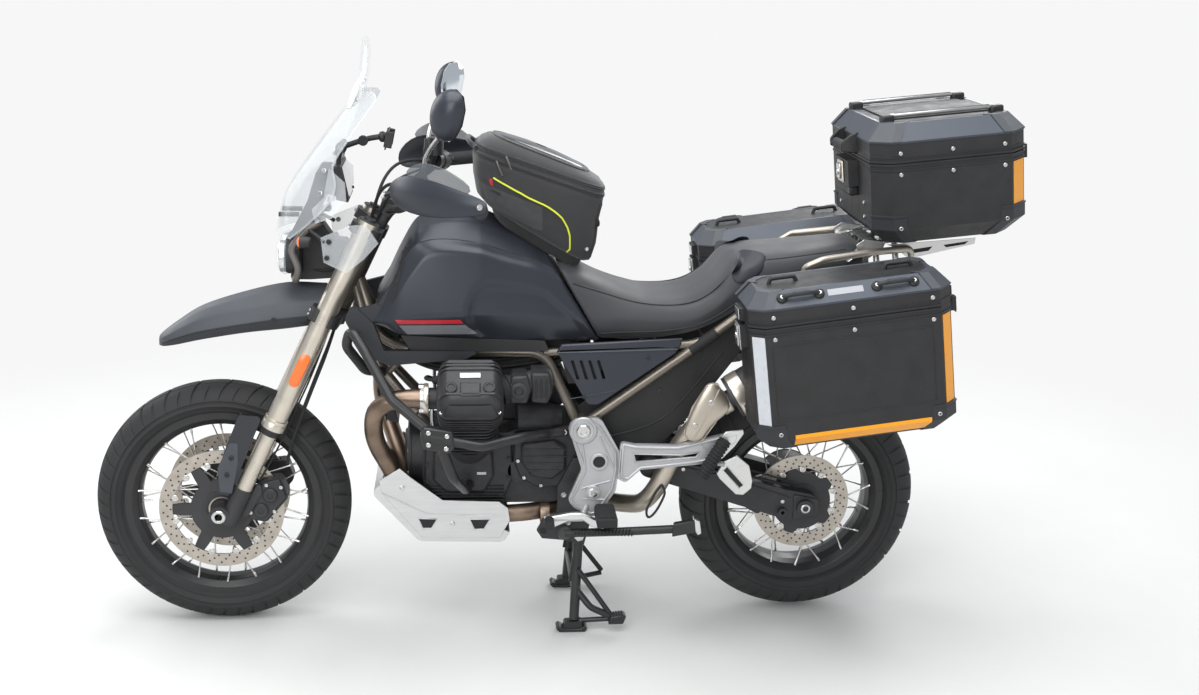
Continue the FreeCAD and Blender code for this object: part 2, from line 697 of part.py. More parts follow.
def engine():
    case = [(1010, 540, 20), (1010, 400, 50), (960, 348, 40), (660, 348, 30), (598, 430, 20),
            (598, 552, 20),
            (760, 552, 20), (790, 540, 10)]
    items = [side_slab("crankcase", case, "-98", "98")]
    gearbox = [(600, 545, 20), (600, 420, 20), (500, 395, 40), (452, 450, 40), (470, 545, 30)]
    items.append(side_slab("gearbox", gearbox, "-82", "82"))
    items.append(rod("alternator_cover", (1000, 0, 462), (1038, 0, 462), "92"))
    items.append(rod("oil_filter", (760, 60, 440), (760, 112, 440), "30"))
    # ears and pin that carry the swing arm
    ear = [(399, 455, 18), (410, 432, 18), (470, 425, 4), (470, 490, 4), (410, 478, 18)]
    for sign in (-1, 1):
        items.append(side_slab("swing_ear_%d" % sign, ear, "50", "82", sign))
    items.append(rod("swing_pin", (419, -112, 455), (419, 112, 455), "12"))
    for side in (-1, 1):
        items.append(bank(rod("cylinder_root_%d" % side, (0, 0, 0), (0, 0, 1), "64"), side, 60))
        items[-1].Height = ROOT_END - 60
    sub_part(fused("engine_solid", items), "engine_block")

    banks = []
    covers = []
    for side in (-1, 1):
        barrel = bank(rod("barrel_%d" % side, (0, 0, 0), (0, 0, 200), "53"), side, ROOT_END)
        barrel.Height = HEAD_END - ROOT_END
        parts = [barrel]
        for index in range(8):
            fin = slab("fin_%d_%d" % (side + 1, index), "XY_Plane", plate_outline(142, 132, 34), "0", "7")
            parts.append(bank(fin, side, ROOT_END + 14 + index * 17))
        head = slab("cylinder_head_%d" % side, "XY_Plane", plate_outline(150, 138, 26), "0", "62")
        parts.append(bank(head, side, HEAD_END - 62))
        port = rod("exhaust_port_%d" % side, (0, 0, 0), (0, 0, 30), "27")
        port.Placement = Placement(Vector(960, side * 238, 678), Rotation(Vector(0, 1, 0), 90))
        parts.append(port)
        duct = [(815, side * 232, 690), (770, side * 214, 706), (690, side * 190, 712)]
        parts.append(tube("intake_%d" % side, duct, 30, 60))
        banks.append(fused("bank_%d" % side, parts))
        sections = [(0, plate_outline(158, 140, 30)), (34, plate_outline(158, 140, 30)),
                    (COVER_END - HEAD_END, plate_outline(118, 92, 22))]
        cover = bank(loft("head_cover_%d" % side, sections, "XY_Plane"), side, HEAD_END)
        ribs = [bank(slab("cover_rib_%d_%d" % (side + 1, k), "XY_Plane", plate_outline(146, 6, 2), "0",
                          "42"),
                     side, HEAD_END + 8) for k in range(3)]
        for k, rib in enumerate(ribs):
            rib.Placement.Base = rib.Placement.Base + rib.Placement.Rotation.multVec(Vector(0,
                    (k - 1) * 44, 0))
        covers.append(fused("cover_%d" % side, [cover] + ribs))
    sub_part(group("bank_pair", banks), "engine_cylinders")
    sub_part(group("cover_pair", covers), "head_covers")


def exhaust():
    pipes = []
    for sign in (-1, 1):
        route = mirrored([(990.3, 238, 678), (1080, 238, 678), (1128, 190, 590), (1080, 112, 440),
                          (1042, 108, 332), (900, 100, 316), (700, 96, 318), (610, 30, 320)], sign)
        pipes.append(tube("header_%d" % sign, route, 23, 70))
    pipes.append(rod("collector_box", (640, 0, 320), (520, 0, 320), "33"))
    start = Vector(222, 178, 655)
    along = Vector(-math.cos(math.radians(32)), 0, math.sin(math.radians(32)))
    turn_in = start - along * 70
    mouth = start + along * 3
    riser = [(560, 0, 320), (480, 60, 322), (420, 148, 362), (350, 157, 530),
             (turn_in.x, turn_in.y, turn_in.z), (mouth.x, mouth.y, mouth.z)]
    pipes.append(tube("riser", riser, 24, 60))
    pipes += [rod("shield_peg_%d" % index, (x, 178, z), (x, 205.7, z), "7")
              for index, (x, z) in enumerate(((330, 572), (290, 616)))]
    sub_part(fused("headers", pipes), "exhaust_headers")
    parts = [rod("silencer_can", start, start + along * 370, "57"),
             rod("silencer_tip", start + along * 360, start + along * 400, "24")]
    hole = rod("silencer_hole", start + along * 340, start + along * 420, "19")
    neck = rod("silencer_neck", start - along * 10, start + along * 10, "25")
    bore = rod("silencer_neck_bore", start - along * 40, start + along * 6, "24.3")
    body = cut("silencer_bored", fused("silencer_solid", parts + [neck]),
               group("silencer_holes", [hole, bore]))
    strap = rod("silencer_strap", start + along * 230 - Vector(0, 60, 0),
                start + along * 230 - Vector(0, 30, 0), "8")
    sub_part(fused("silencer_all", [body, strap]), "silencer")
    shield = [(352, 560, 18), (330, 640, 30), (290, 706, 20), (264, 704, 6), (226, 642, 8), (262, 604, 20),
              (300, 548, 14)]
    plate = side_slab("shield_plate", shield, "206", "210")
    sub_part(plate, "heat_shield")


def skid_plate():
    # side view of the folded sheet, front edge first, then the sheet's inner face back again
    outer = [(1112, 424, 4), (1142, 398, 20), (1020, 262, 30), (800, 256, 20), (784, 284, 4)]
    inner = [(788, 286, 2), (803, 260, 12), (1018, 266, 26), (1137, 398, 16), (1109, 421, 2)]
    tray = side_slab("skid_tray", outer + inner, "-146", "146")
    cheek = [(1112, 424, 8), (1140, 398, 20), (1020, 264, 30), (800, 258, 20), (786, 286, 8),
             (940, 326, 20),
             (1010, 380, 20)]
    cheeks = [side_slab("skid_cheek_%d" % sign, cheek, "142", "148", sign) for sign in (-1, 1)]
    feet = [rod("skid_foot_%d_%d" % (index, sign), (x, sign * 50, 258), (x, sign * 50, 347.7), "9")
            for index, x in enumerate((820, 980)) for sign in (-1, 1)]
    sub_part(fused("skid_all", [tray] + cheeks + feet), "skid_plate")


def crash_bars():
    bars = []
    for sign in (-1, 1):
        main = mirrored([(1108, 86, 702), (1150, 130, 720), (1192, 190, 800), (1178, 212, 850),
                         (1140, 256, 800),
                         (1076, 318, 700), (966, 352, 612),
                         (860, 352, 590), (760, 300, 596), (690, 190, 566), (640, 160, 566)], sign)
        lower = mirrored([(966, 352, 612), (930, 320, 500), (900, 180, 415), (890, 134, 410),
                          (890, 98.3, 410)], sign)
        parts = [tube("crash_main_%d" % sign, main, size("crash_bar_radius"), 50),
                 tube("crash_lower_%d" % sign, lower, size("crash_bar_radius"), 50),
                 rod("crash_clamp_%d" % sign, (1000, sign * 352, 620), (935, sign * 352, 606), "18")]
        bars.append(fused("crash_bar_%d" % sign, parts))
    sub_part(group("crash_bar_pair", bars), "crash_bars")


def swing_arm():
    x, z = REAR_AXLE
    arm = [(445, 480, 26), (445, 425, 26), (250, 360, 40), (30, 288, 34), (-36, 300, 30), (-36, 360, 30),
           (60, 380, 40), (260, 440, 40)]
    left = side_slab("arm_left", arm, "84", "112")
    right = side_slab("arm_right", arm, "-132", "-84")
    cross = rod("arm_cross", (360, -100, 445), (360, 100, 445), "34")
    caps = [rod("arm_cap_%d" % sign, (419, sign * 86, 455), (419, sign * 124, 455), "22") for sign in (-1,
            1)]
    seats = [rod("arm_bore_%d" % sign, (419, sign * 80, 455), (419, sign * 112.3, 455),
                 "12 + Sizes.seat_gap")
             for sign in (-1, 1)]
    shock_plate = side_slab("shock_plate_low", [(300, 436, 4), (362, 440, 4), (348, 514, 12),
                                                (312, 514, 12)],
                            "-104", "-88")
    shock_pin = rod("shock_pin_low", (330, -100, 500), (330, -50, 500), "8")
    drive = rod("final_drive", (x, -140, z), (x, -63, z), "74")
    case_nose = rod("shaft_nose", (440, -108, 462), (500, -108, 466), "22")
    axle = rod("rear_axle", (x, -150, z), (x, 122, z), "Sizes.axle_radius")
    washer = rod("axle_washer", (x, 112, z), (x, 128, z), "22")
    spacer = rod("rear_spacer", (x, size("rear_disc_side") + 5.5, z), (x, 86, z), "18")
    caliper = [(96, 402, 14), (150, 380, 14), (170, 330, 12), (120, 300, 12), (86, 330, 10)]
    body = side_slab("rear_caliper", caliper, "52", "88")
    slot = rod("rear_disc_slot", (x, size("rear_disc_side") - 3, z), (x, size("rear_disc_side") + 8, z),
               "Sizes.rear_disc_radius + 5")
    spool_hole = rod("spool_hole", (60, 100, 318), (60, 140, 318), "5")
    spool = rod("spool", (60, 110, 318), (60, 126, 318), "12")
    solid = fused("arm_solid", [left, right, cross, drive, case_nose, axle, washer, spacer, body, spool,
                                shock_plate, shock_pin] + caps)
    sub_part(cut("arm_cut", solid, group("arm_holes", [slot, spool_hole] + seats)), "swing_arm")
    # spring and damper on the right of the middle, from the arm up to the frame
    low = Vector(330, -70, 500)
    top = Vector(420, -70, 758)
    along = (top - low).normalize()
    coils = [rod("damper", low, top, "17"), rod("spring", low + along * 40, top - along * 40, "33"),
             rod("shock_eye_low", (330, -86, 500), (330, -54, 500), "18"),
             rod("shock_eye_high", (420, -86, 758), (420, -54, 758), "18")]
    bores = [rod("shock_bore_%d" % index, (x, -110, z), (x, -30, z), "8 + Sizes.seat_gap")
             for index, (x, z) in enumerate(((330, 500), (420, 758)))]
    sub_part(cut("shock_cut", fused("shock_all", coils), group("shock_bores", bores)), "shock_absorber")


SIDE_PIVOT = Vector(645, 190, 296)
SIDE_AXIS = Vector(0.0484, 0.9129, 0.4055)


def side_stand_pin():
    """The lug and pin that the side stand turns on, leaning so that the foot swings outwards."""
    return [rod("side_stand_lug", SIDE_PIVOT - SIDE_AXIS * 66, SIDE_PIVOT - SIDE_AXIS * 20.3, "14"),
            rod("side_stand_pin", SIDE_PIVOT - SIDE_AXIS * 26, SIDE_PIVOT - SIDE_AXIS, "8")]


def stands():
    pivot_x = 602
    pivot_z = 262
    parts = [rod("stand_cross", (pivot_x, -118, pivot_z), (pivot_x, 118, pivot_z), "16"),
             rod("stand_brace", (608, -128, 110), (608, 128, 110), "10")]
    for sign in (-1, 1):
        leg = mirrored([(pivot_x, 100, pivot_z), (604, 107, 200), (613, 140, 30)], sign)
        parts.append(tube("stand_leg_%d" % sign, leg, size("stand_tube_radius"), 30))
        parts.append(side_slab("stand_foot_%d" % sign,
                               [(592, 0, 3), (642, 0, 3), (640, 26, 6), (592, 30, 6)],
                               "126", "156", sign))
    tang = [(608, 125, 110), (570, 146, 66), (500, 154, 34)]
    parts.append(tube("stand_tang", tang, 9, 40))
    parts.append(block("stand_pad", ("486", "520"), ("144", "166"), ("28", "44")))
    bore = rod("stand_bore", (pivot_x, -150, pivot_z), (pivot_x, 150, pivot_z), "8 + Sizes.running_gap")
    sub_part(cut("stand_bored", fused("stand_all", parts), bore), "centre_stand")
    parts = [rod("side_pivot", SIDE_PIVOT - SIDE_AXIS * 20, SIDE_PIVOT + SIDE_AXIS * 10, "17"),
             tube("side_leg", [SIDE_PIVOT + SIDE_AXIS * 4, (500, 199, 302), (350, 201, 308)], 11, 60),
             side_slab("side_foot", [(362, 296, 6), (362, 322, 6), (312, 330, 8), (312, 300, 8)], "188",
                       "214")]
    bore = rod("side_stand_bore", SIDE_PIVOT - SIDE_AXIS * 40, SIDE_PIVOT, "8 + Sizes.running_gap")
    sub_part(cut("side_stand_bored", fused("side_stand_all", parts), bore), "side_stand")


def footplates():
    plate = [(645, 600, 30), (604, 470, 24), (640, 384, 16), (566, 338, 14), (515, 412, 24), (505, 512, 24),
             (560, 612, 30)]
    hanger = [(507, 548, 10), (470, 540, 10), (355, 537, 20), (255, 562, 10), (200, 574, 8), (204, 548, 10),
              (270, 490, 14), (310, 485, 14), (460, 472, 14), (492, 438, 8), (512, 448, 8)]
    window = [(476, 518, 8), (350, 514, 10), (300, 520, 6), (310, 504, 6), (470, 492, 8)]
    solids = []
    for hand, sign in (("left", 1), ("right", -1)):
        casting = side_slab("footplate_" + hand, plate, "178", "192", sign)
        arm = side_slab("hanger_" + hand, hanger, "190", "204", sign)
        opening = side_slab("hanger_window_" + hand, window, "180", "212", sign)
        lower_boss = [rod("pivot_cap_" + hand, (602, sign * 176.5, 576), (602, sign * 200, 576), "22"),
                      rod("plate_spacer_" + hand, (560, sign * 82.5, 470), (560, sign * 180, 470), "12"),
                      rod("stand_pin_" + hand, (602, sign * 90, 262), (602, sign * 131, 262), "8"),
                      side_slab("stand_bracket_" + hand, [(660, 400, 10), (660, 262, 20), (590, 240, 20),
                                                          (560, 360, 10), (560, 480, 10), (620, 480, 10)],
                                "119", "131", sign)]
        peg = block("peg_" + hand, ("524", "566"), ("191", "292") if sign > 0 else ("-292", "-191"),
                    ("352", "372"))
        rear_peg = rod("rear_peg_" + hand, (292, sign * 222, 470), (246, sign * 222, 548), "14")
        bracket = rod("rear_peg_lug_" + hand, (272, sign * 194, 504), (272, sign * 220, 504), "9")
        levers = [rod("lever_root_%s" % hand, (588, sign * 184, 374), (606, sign * 226, 350), "8"),
                  rod("lever_arm_%s" % hand, (601, sign * 223, 349), (694, sign * 226, 350), "7")]
        toe = rod("toe_piece_" + hand, (688, sign * 214, 350), (688, sign * 262, 350), "9")
        pieces = [casting, cut("hanger_open_" + hand, arm, opening), peg, bracket, rear_peg]
        pieces += levers + [toe] + lower_boss
        if sign > 0:
            pieces += side_stand_pin()
        solids.append(joined("footplate_all_" + hand, pieces))
    sub_part(group("footplate_pair", solids), "footplates")


# Bodywork

def tank():
    # place, then (height, half width, corner) at the bottom, the widest line, the crease and the top
    rows = [
        (1112, (812, 120, 20), (862, 176, 30), (905, 170, 20), (940, 112, 20)),
        (1000, (798, 128, 20), (872, 200, 40), (1028, 158, 26), (1062, 104, 20)),
        (900, (790, 130, 20), (884, 204, 50), (1036, 150, 30), (1086, 84, 20)),
        (780, (788, 130, 20), (884, 196, 50), (1004, 146, 30), (1076, 80, 20)),
        (655, (788, 126, 20), (874, 176, 40), (958, 128, 30), (1016, 74, 20)),
        (500, (786, 108, 20), (838, 150, 30), (900, 104, 20), (936, 50, 14)),
    ]
    shape = loft("tank_loft", [(row[0], both_sides(row[1:])) for row in rows])
    # the rear edge leans back down to the side panel, and the seat starts behind it
    away = side_slab("tank_rear_cut", [(628, 1100, 0), (618, 975, 0), (500, 790, 0), (470, 740, 0),
                                       (380, 740, 0), (380, 1100, 0)], "-260", "260")
    nose = side_slab("tank_front_cut", [(1100, 780, 0), (1125, 850, 0), (1108, 880, 0), (990, 1066, 0),
                                        (960, 1110, 0), (1200, 1110, 0), (1200, 780, 0)], "-260", "260")
    cap = rod("filler_cap", (880, 0, 1060), (880, 0, 1094), "46")
    body = cut("tank_cut", shape, group("tank_cutters", [away, nose]))
    sub_part(fused("tank_all", [body, cap]), "fuel_tank")
    panels = []
    for sign in (-1, 1):
        lower = [(1125.3, 850, 2), (1176, 900, 14), (1196, 860, 20), (1150, 770, 20), (1090, 742, 20),
                 (900, 758, 14), (860, 778, 4), (1100.3, 780, 2)]
        vent = [(1103, 888.7, 0), (1013.1, 1030.4, 0), (1025, 1037.9, 4), (1114.8, 896.3, 4)]
        link = [(1103.5, 889, 0), (1114, 899, 0), (1172, 884, 4), (1136, 842, 0)]
        pieces = [side_slab("fairing_%d" % sign, lower, "148", "168", sign),
                  side_slab("vent_%d" % sign, vent, "120", "162", sign),
                  side_slab("vent_link_%d" % sign, link, "150", "164", sign),
                  rod("fairing_lug_%d" % sign, (1040, sign * 113.6, 764), (1040, sign * 150, 764), "8")]
        panels.append(joined("fairing_all_%d" % sign, pieces))
    sub_part(group("fairing_pair", panels), "side_fairings")


def seat():
    # place, then (height, half width, corner) at the bottom, the side and the top
    rows = [
        (612, (800, 96, 14), (900, 118, 26), (974, 74, 24)),
        (540, (796, 118, 14), (880, 134, 26), (944, 92, 26)),
        (417, (806, 140, 14), (856, 158, 26), (894, 116, 26)),
        (300, (830, 142, 14), (872, 160, 26), (908, 118, 26)),
        (215, (880, 134, 14), (940, 146, 26), (996, 104, 26)),
        (100, (930, 128, 14), (970, 136, 22), (1014, 96, 24)),
        (-120, (966, 92, 12), (1000, 100, 16), (1038, 66, 18)),
    ]
    shape = loft("seat_loft", [(row[0], both_sides(row[1:])) for row in rows])
    away = side_slab("seat_front_cut", [(606, 990, 0), (612, 972, 0), (494, 787, 0), (480, 760, 0),
                                        (700, 760, 0), (700, 990, 0)], "-260", "260")
    sub_part(cut("seat_cut", shape, away), "seat")
    panels = []
    for sign in (-1, 1):
        triangle = [(672, 782, 8), (590, 640, 14), (564, 640, 14), (352, 788, 8), (420, 790, 4)]
        plate = side_slab("side_plate_%d" % sign, triangle, "166", "176", sign)
        rim = side_slab("side_rim_%d" % sign, [(672, 782, 6), (352, 788, 6), (380, 772, 6), (660, 764, 6)],
                        "164.3", "168", sign)
        slots = [side_slab("side_slot_%d_%d" % (sign + 1, index),
                           [(636 - index * 22, 756, 2), (628 - index * 22, 756, 2),
                            (612 - index * 22, 706, 2),
                            (620 - index * 22, 706, 2)], "160", "180", sign) for index in range(4)]
        pegs = [rod("side_peg_%d_%d" % (index, sign), (x, sign * low, z), (x, sign * 167, z), "6")
                for index, (x, low, z) in enumerate(((500, 147.6, 776.7), (390, 155.2, 784)))]
        panels.append(cut("side_panel_%d" % sign, fused("side_solid_%d" % sign, [plate, rim] + pegs),
                          group("side_slots_%d" % sign, slots)))
    sub_part(group("side_panel_pair", panels), "side_panels")


def tail():
    # place, then (height, half width, corner) at the bottom and the top
    rows = [(170, (830, 90, 14), (870, 106, 14)), (-40, (876, 86, 14), (928, 96, 14)),
            (-250, (925, 66, 14), (960, 80, 14))]
    body = loft("tail_loft", [(row[0], both_sides(row[1:])) for row in rows])
    hanger = side_slab("plate_hanger", [(-150, 930, 10), (-245, 945, 10), (-330, 660, 20), (-300, 650, 20)],
                       "-20", "20")
    plate = side_slab("number_plate", [(-318, 670, 2), (-366, 860, 2), (-369, 859, 2), (-321, 669, 2)],
                      "-90", "90")
    plate.Placement = Placement(Vector(14, 0, -6), Rotation())
    arms = [rod("signal_arm_%d" % sign, (-262, sign * 10, 890), (-262, sign * 100, 890),
                "7") for sign in (-1, 1)]
    heads = [rod("signal_head_%d" % sign, (-236, sign * 100, 890), (-288, sign * 100, 890), "16")
             for sign in (-1, 1)]
    lugs = [rod("tail_lug_%d" % sign, (-60, sign * 60, 920), (-60, sign * 60, 939.7),
                "9") for sign in (-1, 1)]
    sub_part(fused("tail_all", [body, hanger, plate] + arms + heads + lugs), "tail_unit")
    lamp = [(-250.3, 930, 3), (-250.3, 968, 3), (-282, 962, 8), (-284, 938, 8)]
    sub_part(side_slab("tail_lamp_body", lamp, "-60", "60"), "tail_lamp")
    rails = []
    for sign in (-1, 1):
        path = mirrored([(40, 146, 942.2), (52, 166, 992), (10, 177, 1014), (-110, 158, 1030),
                         (-232, 131, 1036),
                         (-236, 114, 1001)], sign)
        rails.append(tube("grab_rail_%d" % sign, path, size("rail_radius"), 22))
    sub_part(group("grab_pair", rails), "grab_rails")


CARRIER = Vector(-95, 0, 1034)
CARRIER_THICK = 6


def luggage_plate():
    tilt = size("top_case_tilt")
    # (back from the plate's front edge, half width) with the front bent down to the rails
    outline = [(-34, -84, 14), (-34, 84, 14), (-70, 100, 30), (-320, 98, 20), (-350, 70, 20),
               (-350, -70, 20), (-320, -98, 20), (-70, -100, 30)]
    plate = slab("carrier_sheet", "XY_Plane", outline, "0", str(CARRIER_THICK))
    plate.Placement = Placement(CARRIER, Rotation(Vector(0, 1, 0), tilt))
    slots = []
    for index, (u, v) in enumerate(((-90, 70), (-170, 70), (-250, 70), (-90, -70), (-170, -70),
                                    (-250, -70))):
        slot = slab("carrier_slot_%d" % index, "XY_Plane",
                    [(u - 26, v - 9, 8), (u + 26, v - 9, 8), (u + 26, v + 9, 8),
                     (u - 26, v + 9, 8)], "-4", "12")
        slot.Placement = plate.Placement
        slots.append(slot)
    feet = []
    for sign in (-1, 1):
        for index, (x, y, low, high) in enumerate(((-150, 117, 984, 1040), (-200, 111, 998, 1046))):
            feet.append(rod("carrier_foot_%d_%d" % (index, sign), (x, sign * y, low), (x, sign * 86, high),
                            "8"))
    solid = cut("carrier_cut", plate, group("carrier_slots", slots))
    sub_part(fused("carrier_all", [solid] + feet), "luggage_plate")


# Luggage cases: each is drawn upright with its base on the origin, length along X, then tilted

def case_ring(long, wide, inset, corner):
    """A rectangle with chamfered corners, drawn in from the case's outline."""
    half = long / 2 - inset
    side = wide / 2 - inset
    return [(-half + corner, -side, 0), (half - corner, -side, 0), (half, -side + corner, 0),
            (half, side - corner, 0), (half - corner, side, 0), (-half + corner, side, 0),
            (-half, side - corner, 0), (-half, -side + corner, 0)]


def case_shell(name, long, wide, height, chamfer, bevel, wall):
    """An open box with chamfered corners and a bevelled base."""
    ring = partial(case_ring, long, wide)
    outer = loft(name + "_outer", [("0", ring(bevel, chamfer * 0.8)), (str(bevel), ring(0, chamfer))],
                 "XY_Plane")
    wallpad = slab(name + "_walls", "XY_Plane", ring(0, chamfer), str(bevel), str(height))
    hollow = slab(name + "_hollow", "XY_Plane", ring(wall, chamfer * 0.9), str(bevel), str(height + 10))
    low_hollow = loft(name + "_low_hollow", [(str(wall), ring(bevel + wall * 0.4, chamfer * 0.8)),
                                             (str(bevel + wall), ring(wall, chamfer * 0.9))], "XY_Plane")
    return cut(name + "_shell", fused(name + "_solid", [outer, wallpad]),
               group(name + "_void", [hollow, low_hollow]))


def case_lid(name, long, wide, height, chamfer, bevel, wall):
    """A hollow lid with a chamfered skirt and a bevelled crown."""
    ring = partial(case_ring, long, wide)
    base = height - bevel
    skirt = slab(name + "_skirt", "XY_Plane", ring(0, chamfer), "0", str(base))
    crown = loft(name + "_crown", [(str(base), ring(0, chamfer)),
                                   (str(height), ring(bevel * 0.9, chamfer * 0.7))],
                 "XY_Plane")
    hollow = slab(name + "_hollow", "XY_Plane", ring(wall, chamfer * 0.9), "-10", str(base))
    top_hollow = loft(name + "_top_hollow",
                      [(str(base), ring(wall, chamfer * 0.9)),
                       (str(height - wall), ring(bevel * 0.9 + wall * 0.4, chamfer * 0.7))], "XY_Plane")
    return cut(name + "_shell", fused(name + "_solid", [skirt, crown]),
               group(name + "_void", [hollow, top_hollow]))


PANNIER_BASE = Vector(-38, 0, 640)
HINGE_BACK = 11.5
RACK_IN = 16
RACK_RADIUS = 8
TOP_FOOT = 14


def cases():
    turn = Rotation(Vector(0, 1, 0), size("pannier_tilt"))
    wall = size("case_wall")
    long = size("pannier_length")
    depth = size("pannier_depth")
    height = size("pannier_height")
    for hand, sign in (("left", 1), ("right", -1)):
        middle = sign * (size("pannier_inner_side") + depth / 2)
        base = PANNIER_BASE + Vector(0, middle, 0)
        shell = case_shell("pannier_" + hand, long, depth, height, 34, 30, wall)
        pin_x = -long / 2 - HINGE_BACK
        pin_z = height - 2
        hinge = rod("pannier_hinge_" + hand, (pin_x, -62, pin_z), (pin_x, 62, pin_z), "4")
        latch = block("pannier_latch_" + hand, (str(long / 2 - 0.5), str(long / 2 + 14)), ("-34", "34"),
                      (str(height - 60), str(height - 4)))
        ears = [block("pannier_ear_%s_%d" % (hand, k), (str(pin_x - 8), str(-long / 2 + 1)),
                      (str(y), str(y + 20)), (str(pin_z - 26),
                                              str(pin_z + 8))) for k, y in enumerate((-60, 40))]
        ears = [cut("pannier_ear_cut_%s_%d" % (hand, k), ear,
                    block("pannier_ear_top_%s_%d" % (hand, k), (str(-long / 2 - 4), str(-long / 2 + 10)),
                          (str(y - 1), str(y + 21)), (str(height), str(height + 20))))
                for k, (ear, y) in enumerate(zip(ears, (-60, 40)))]
        solid = fused("pannier_all_" + hand, [shell, latch, hinge] + ears)
        reach = RACK_IN - RACK_RADIUS - size("seat_gap")
        hooks = [block("pannier_hook_%s_%d" % (hand, k), (str(x - 20), str(x + 20)),
                       (str(-depth / 2 - reach), str(-depth / 2 + 1)) if sign > 0 else
                       (str(depth / 2 - 1), str(depth / 2 + reach)), (str(z - 14), str(z + 14)))
                 for k, (x, z) in enumerate(((-110, 250), (110, 250), (0, 40)))]
        sub_part(group_at("pannier_case_" + hand, fused("pannier_hooked_" + hand, [solid] + hooks), base,
                          turn),
                 "pannier_" + hand)
        lid = case_lid("pannier_lid_" + hand, long, depth, size("pannier_lid_height"), 34, 34, wall)
        clasp = block("pannier_clasp_" + hand, (str(long / 2 - 0.5), str(long / 2 + 12)), ("-30", "30"),
                      ("4", "34"))
        pin_low = -2 - size("lid_gap")
        barrel = rod("pannier_knuckle_" + hand, (pin_x, -36, pin_low), (pin_x, 36, pin_low), "9")
        strap = block("pannier_strap_" + hand, (str(pin_x - 5), str(pin_x + 3)), ("-36", "36"),
                      (str(pin_low), "26"))
        root = block("pannier_strap_root_" + hand, (str(pin_x - 5), str(-long / 2 + 1)), ("-36", "36"),
                     ("14", "26"))
        knuckle = cut("pannier_knuckle_cut_" + hand,
                      fused("pannier_knuckle_all_" + hand, [barrel, strap, root]),
                      rod("pannier_pin_bore_" + hand, (pin_x, -50, pin_low), (pin_x, 50, pin_low),
                          "4 + Sizes.running_gap"))
        loops = [tube("lash_%s_%d" % (hand, k), [(x - 34, 0, 76), (x - 28, 0, 90), (x + 28, 0, 90),
                                                 (x + 34, 0, 76)],
                      5, 6) for k, x in enumerate((-140, 140))]
        lift = turn.multVec(Vector(0, 0, height + size("lid_gap")))
        sub_part(group_at("pannier_top_" + hand, fused("pannier_lid_all_" + hand,
                                                       [lid, clasp, knuckle] + loops),
                          base + lift, turn), "pannier_lid_" + hand)
    turn = Rotation(Vector(0, 1, 0), size("top_case_tilt"))
    top_base = CARRIER + turn.multVec(Vector(-216, 0, CARRIER_THICK + TOP_FOOT))
    long = size("top_case_length")
    wide = size("top_case_width")
    height = size("top_case_height")
    shell = case_shell("top_case", long, wide, height, 46, 40, wall)
    latch = block("top_latch", (str(long / 2 - 0.5), str(long / 2 + 26)), ("-70", "70"),
                  (str(height - 76), str(height - 10)))
    pin_x = -long / 2 - HINGE_BACK
    pin_z = height - 2
    ears = []
    for k, y in enumerate((-160, -92, 68, 136)):
        ear = block("top_ear_%d" % k, (str(pin_x - 8), str(-long / 2 + 1)), (str(y), str(y + 24)),
                    (str(pin_z - 26), str(pin_z + 8)))
        ears.append(cut("top_ear_cut_%d" % k, ear,
                        block("top_ear_top_%d" % k, (str(-long / 2 - 4), str(-long / 2 + 10)),
                              (str(y - 1), str(y + 25)), (str(height), str(height + 20)))))
    for k, y in enumerate((-158, 70)):
        ears.append(rod("top_pin_%d" % k, (pin_x, y, pin_z), (pin_x, y + 88, pin_z), "4"))
    foot = block("top_foot", ("-120", "120"), ("-100", "100"), (str(-TOP_FOOT), "1"))
    sub_part(group_at("top_case_all", fused("top_solid_all", [shell, latch, foot] + ears), top_base, turn),
             "top_case")
    lid = case_lid("top_lid", long, wide, size("top_case_lid_height"), 46, 40, wall)
    handle = tube("top_handle", [(long / 2 - 2, -60, 20), (long / 2 + 26, -54, 24), (long / 2 + 26, 54, 24),
                                 (long / 2 - 2, 60, 20)], 9, 16)
    top = size("top_case_lid_height")
    rails = [tube("top_rail_%d" % sign, [(-130, sign * 150, top - 4), (-124, sign * 150, top + 14),
                                         (124, sign * 150, top + 14), (130, sign * 150, top - 4)], 6, 10)
             for sign in (-1, 1)]
    pin_low = -2 - size("lid_gap")
    knuckles = []
    for k, y in enumerate((-134, 94)):
        barrel = rod("top_knuckle_%d" % k, (pin_x, y, pin_low), (pin_x, y + 40, pin_low), "9")
        strap = block("top_strap_%d" % k, (str(pin_x - 5), str(pin_x + 3)), (str(y), str(y + 40)),
                      (str(pin_low), "28"))
        root = block("top_strap_root_%d" % k, (str(pin_x - 5), str(-long / 2 + 1)), (str(y), str(y + 40)),
                     ("14", "28"))
        knuckles.append(cut("top_knuckle_cut_%d" % k,
                            fused("top_knuckle_all_%d" % k, [barrel, strap, root]),
                            rod("top_pin_bore_%d" % k, (pin_x, y - 10, pin_low), (pin_x, y + 50, pin_low),
                                "4 + Sizes.running_gap")))
    lift = turn.multVec(Vector(0, 0, height + size("lid_gap")))
    sub_part(group_at("top_lid_all", fused("top_lid_solid", [lid, handle] + rails + knuckles),
                      top_base + lift, turn),
             "top_case_lid")


def group_at(name, item, base, turn):
    """Tilts and places a finished case inside a compound, which is placed as the node."""
    item.Placement = Placement(base, turn)
    return group(name, [item])


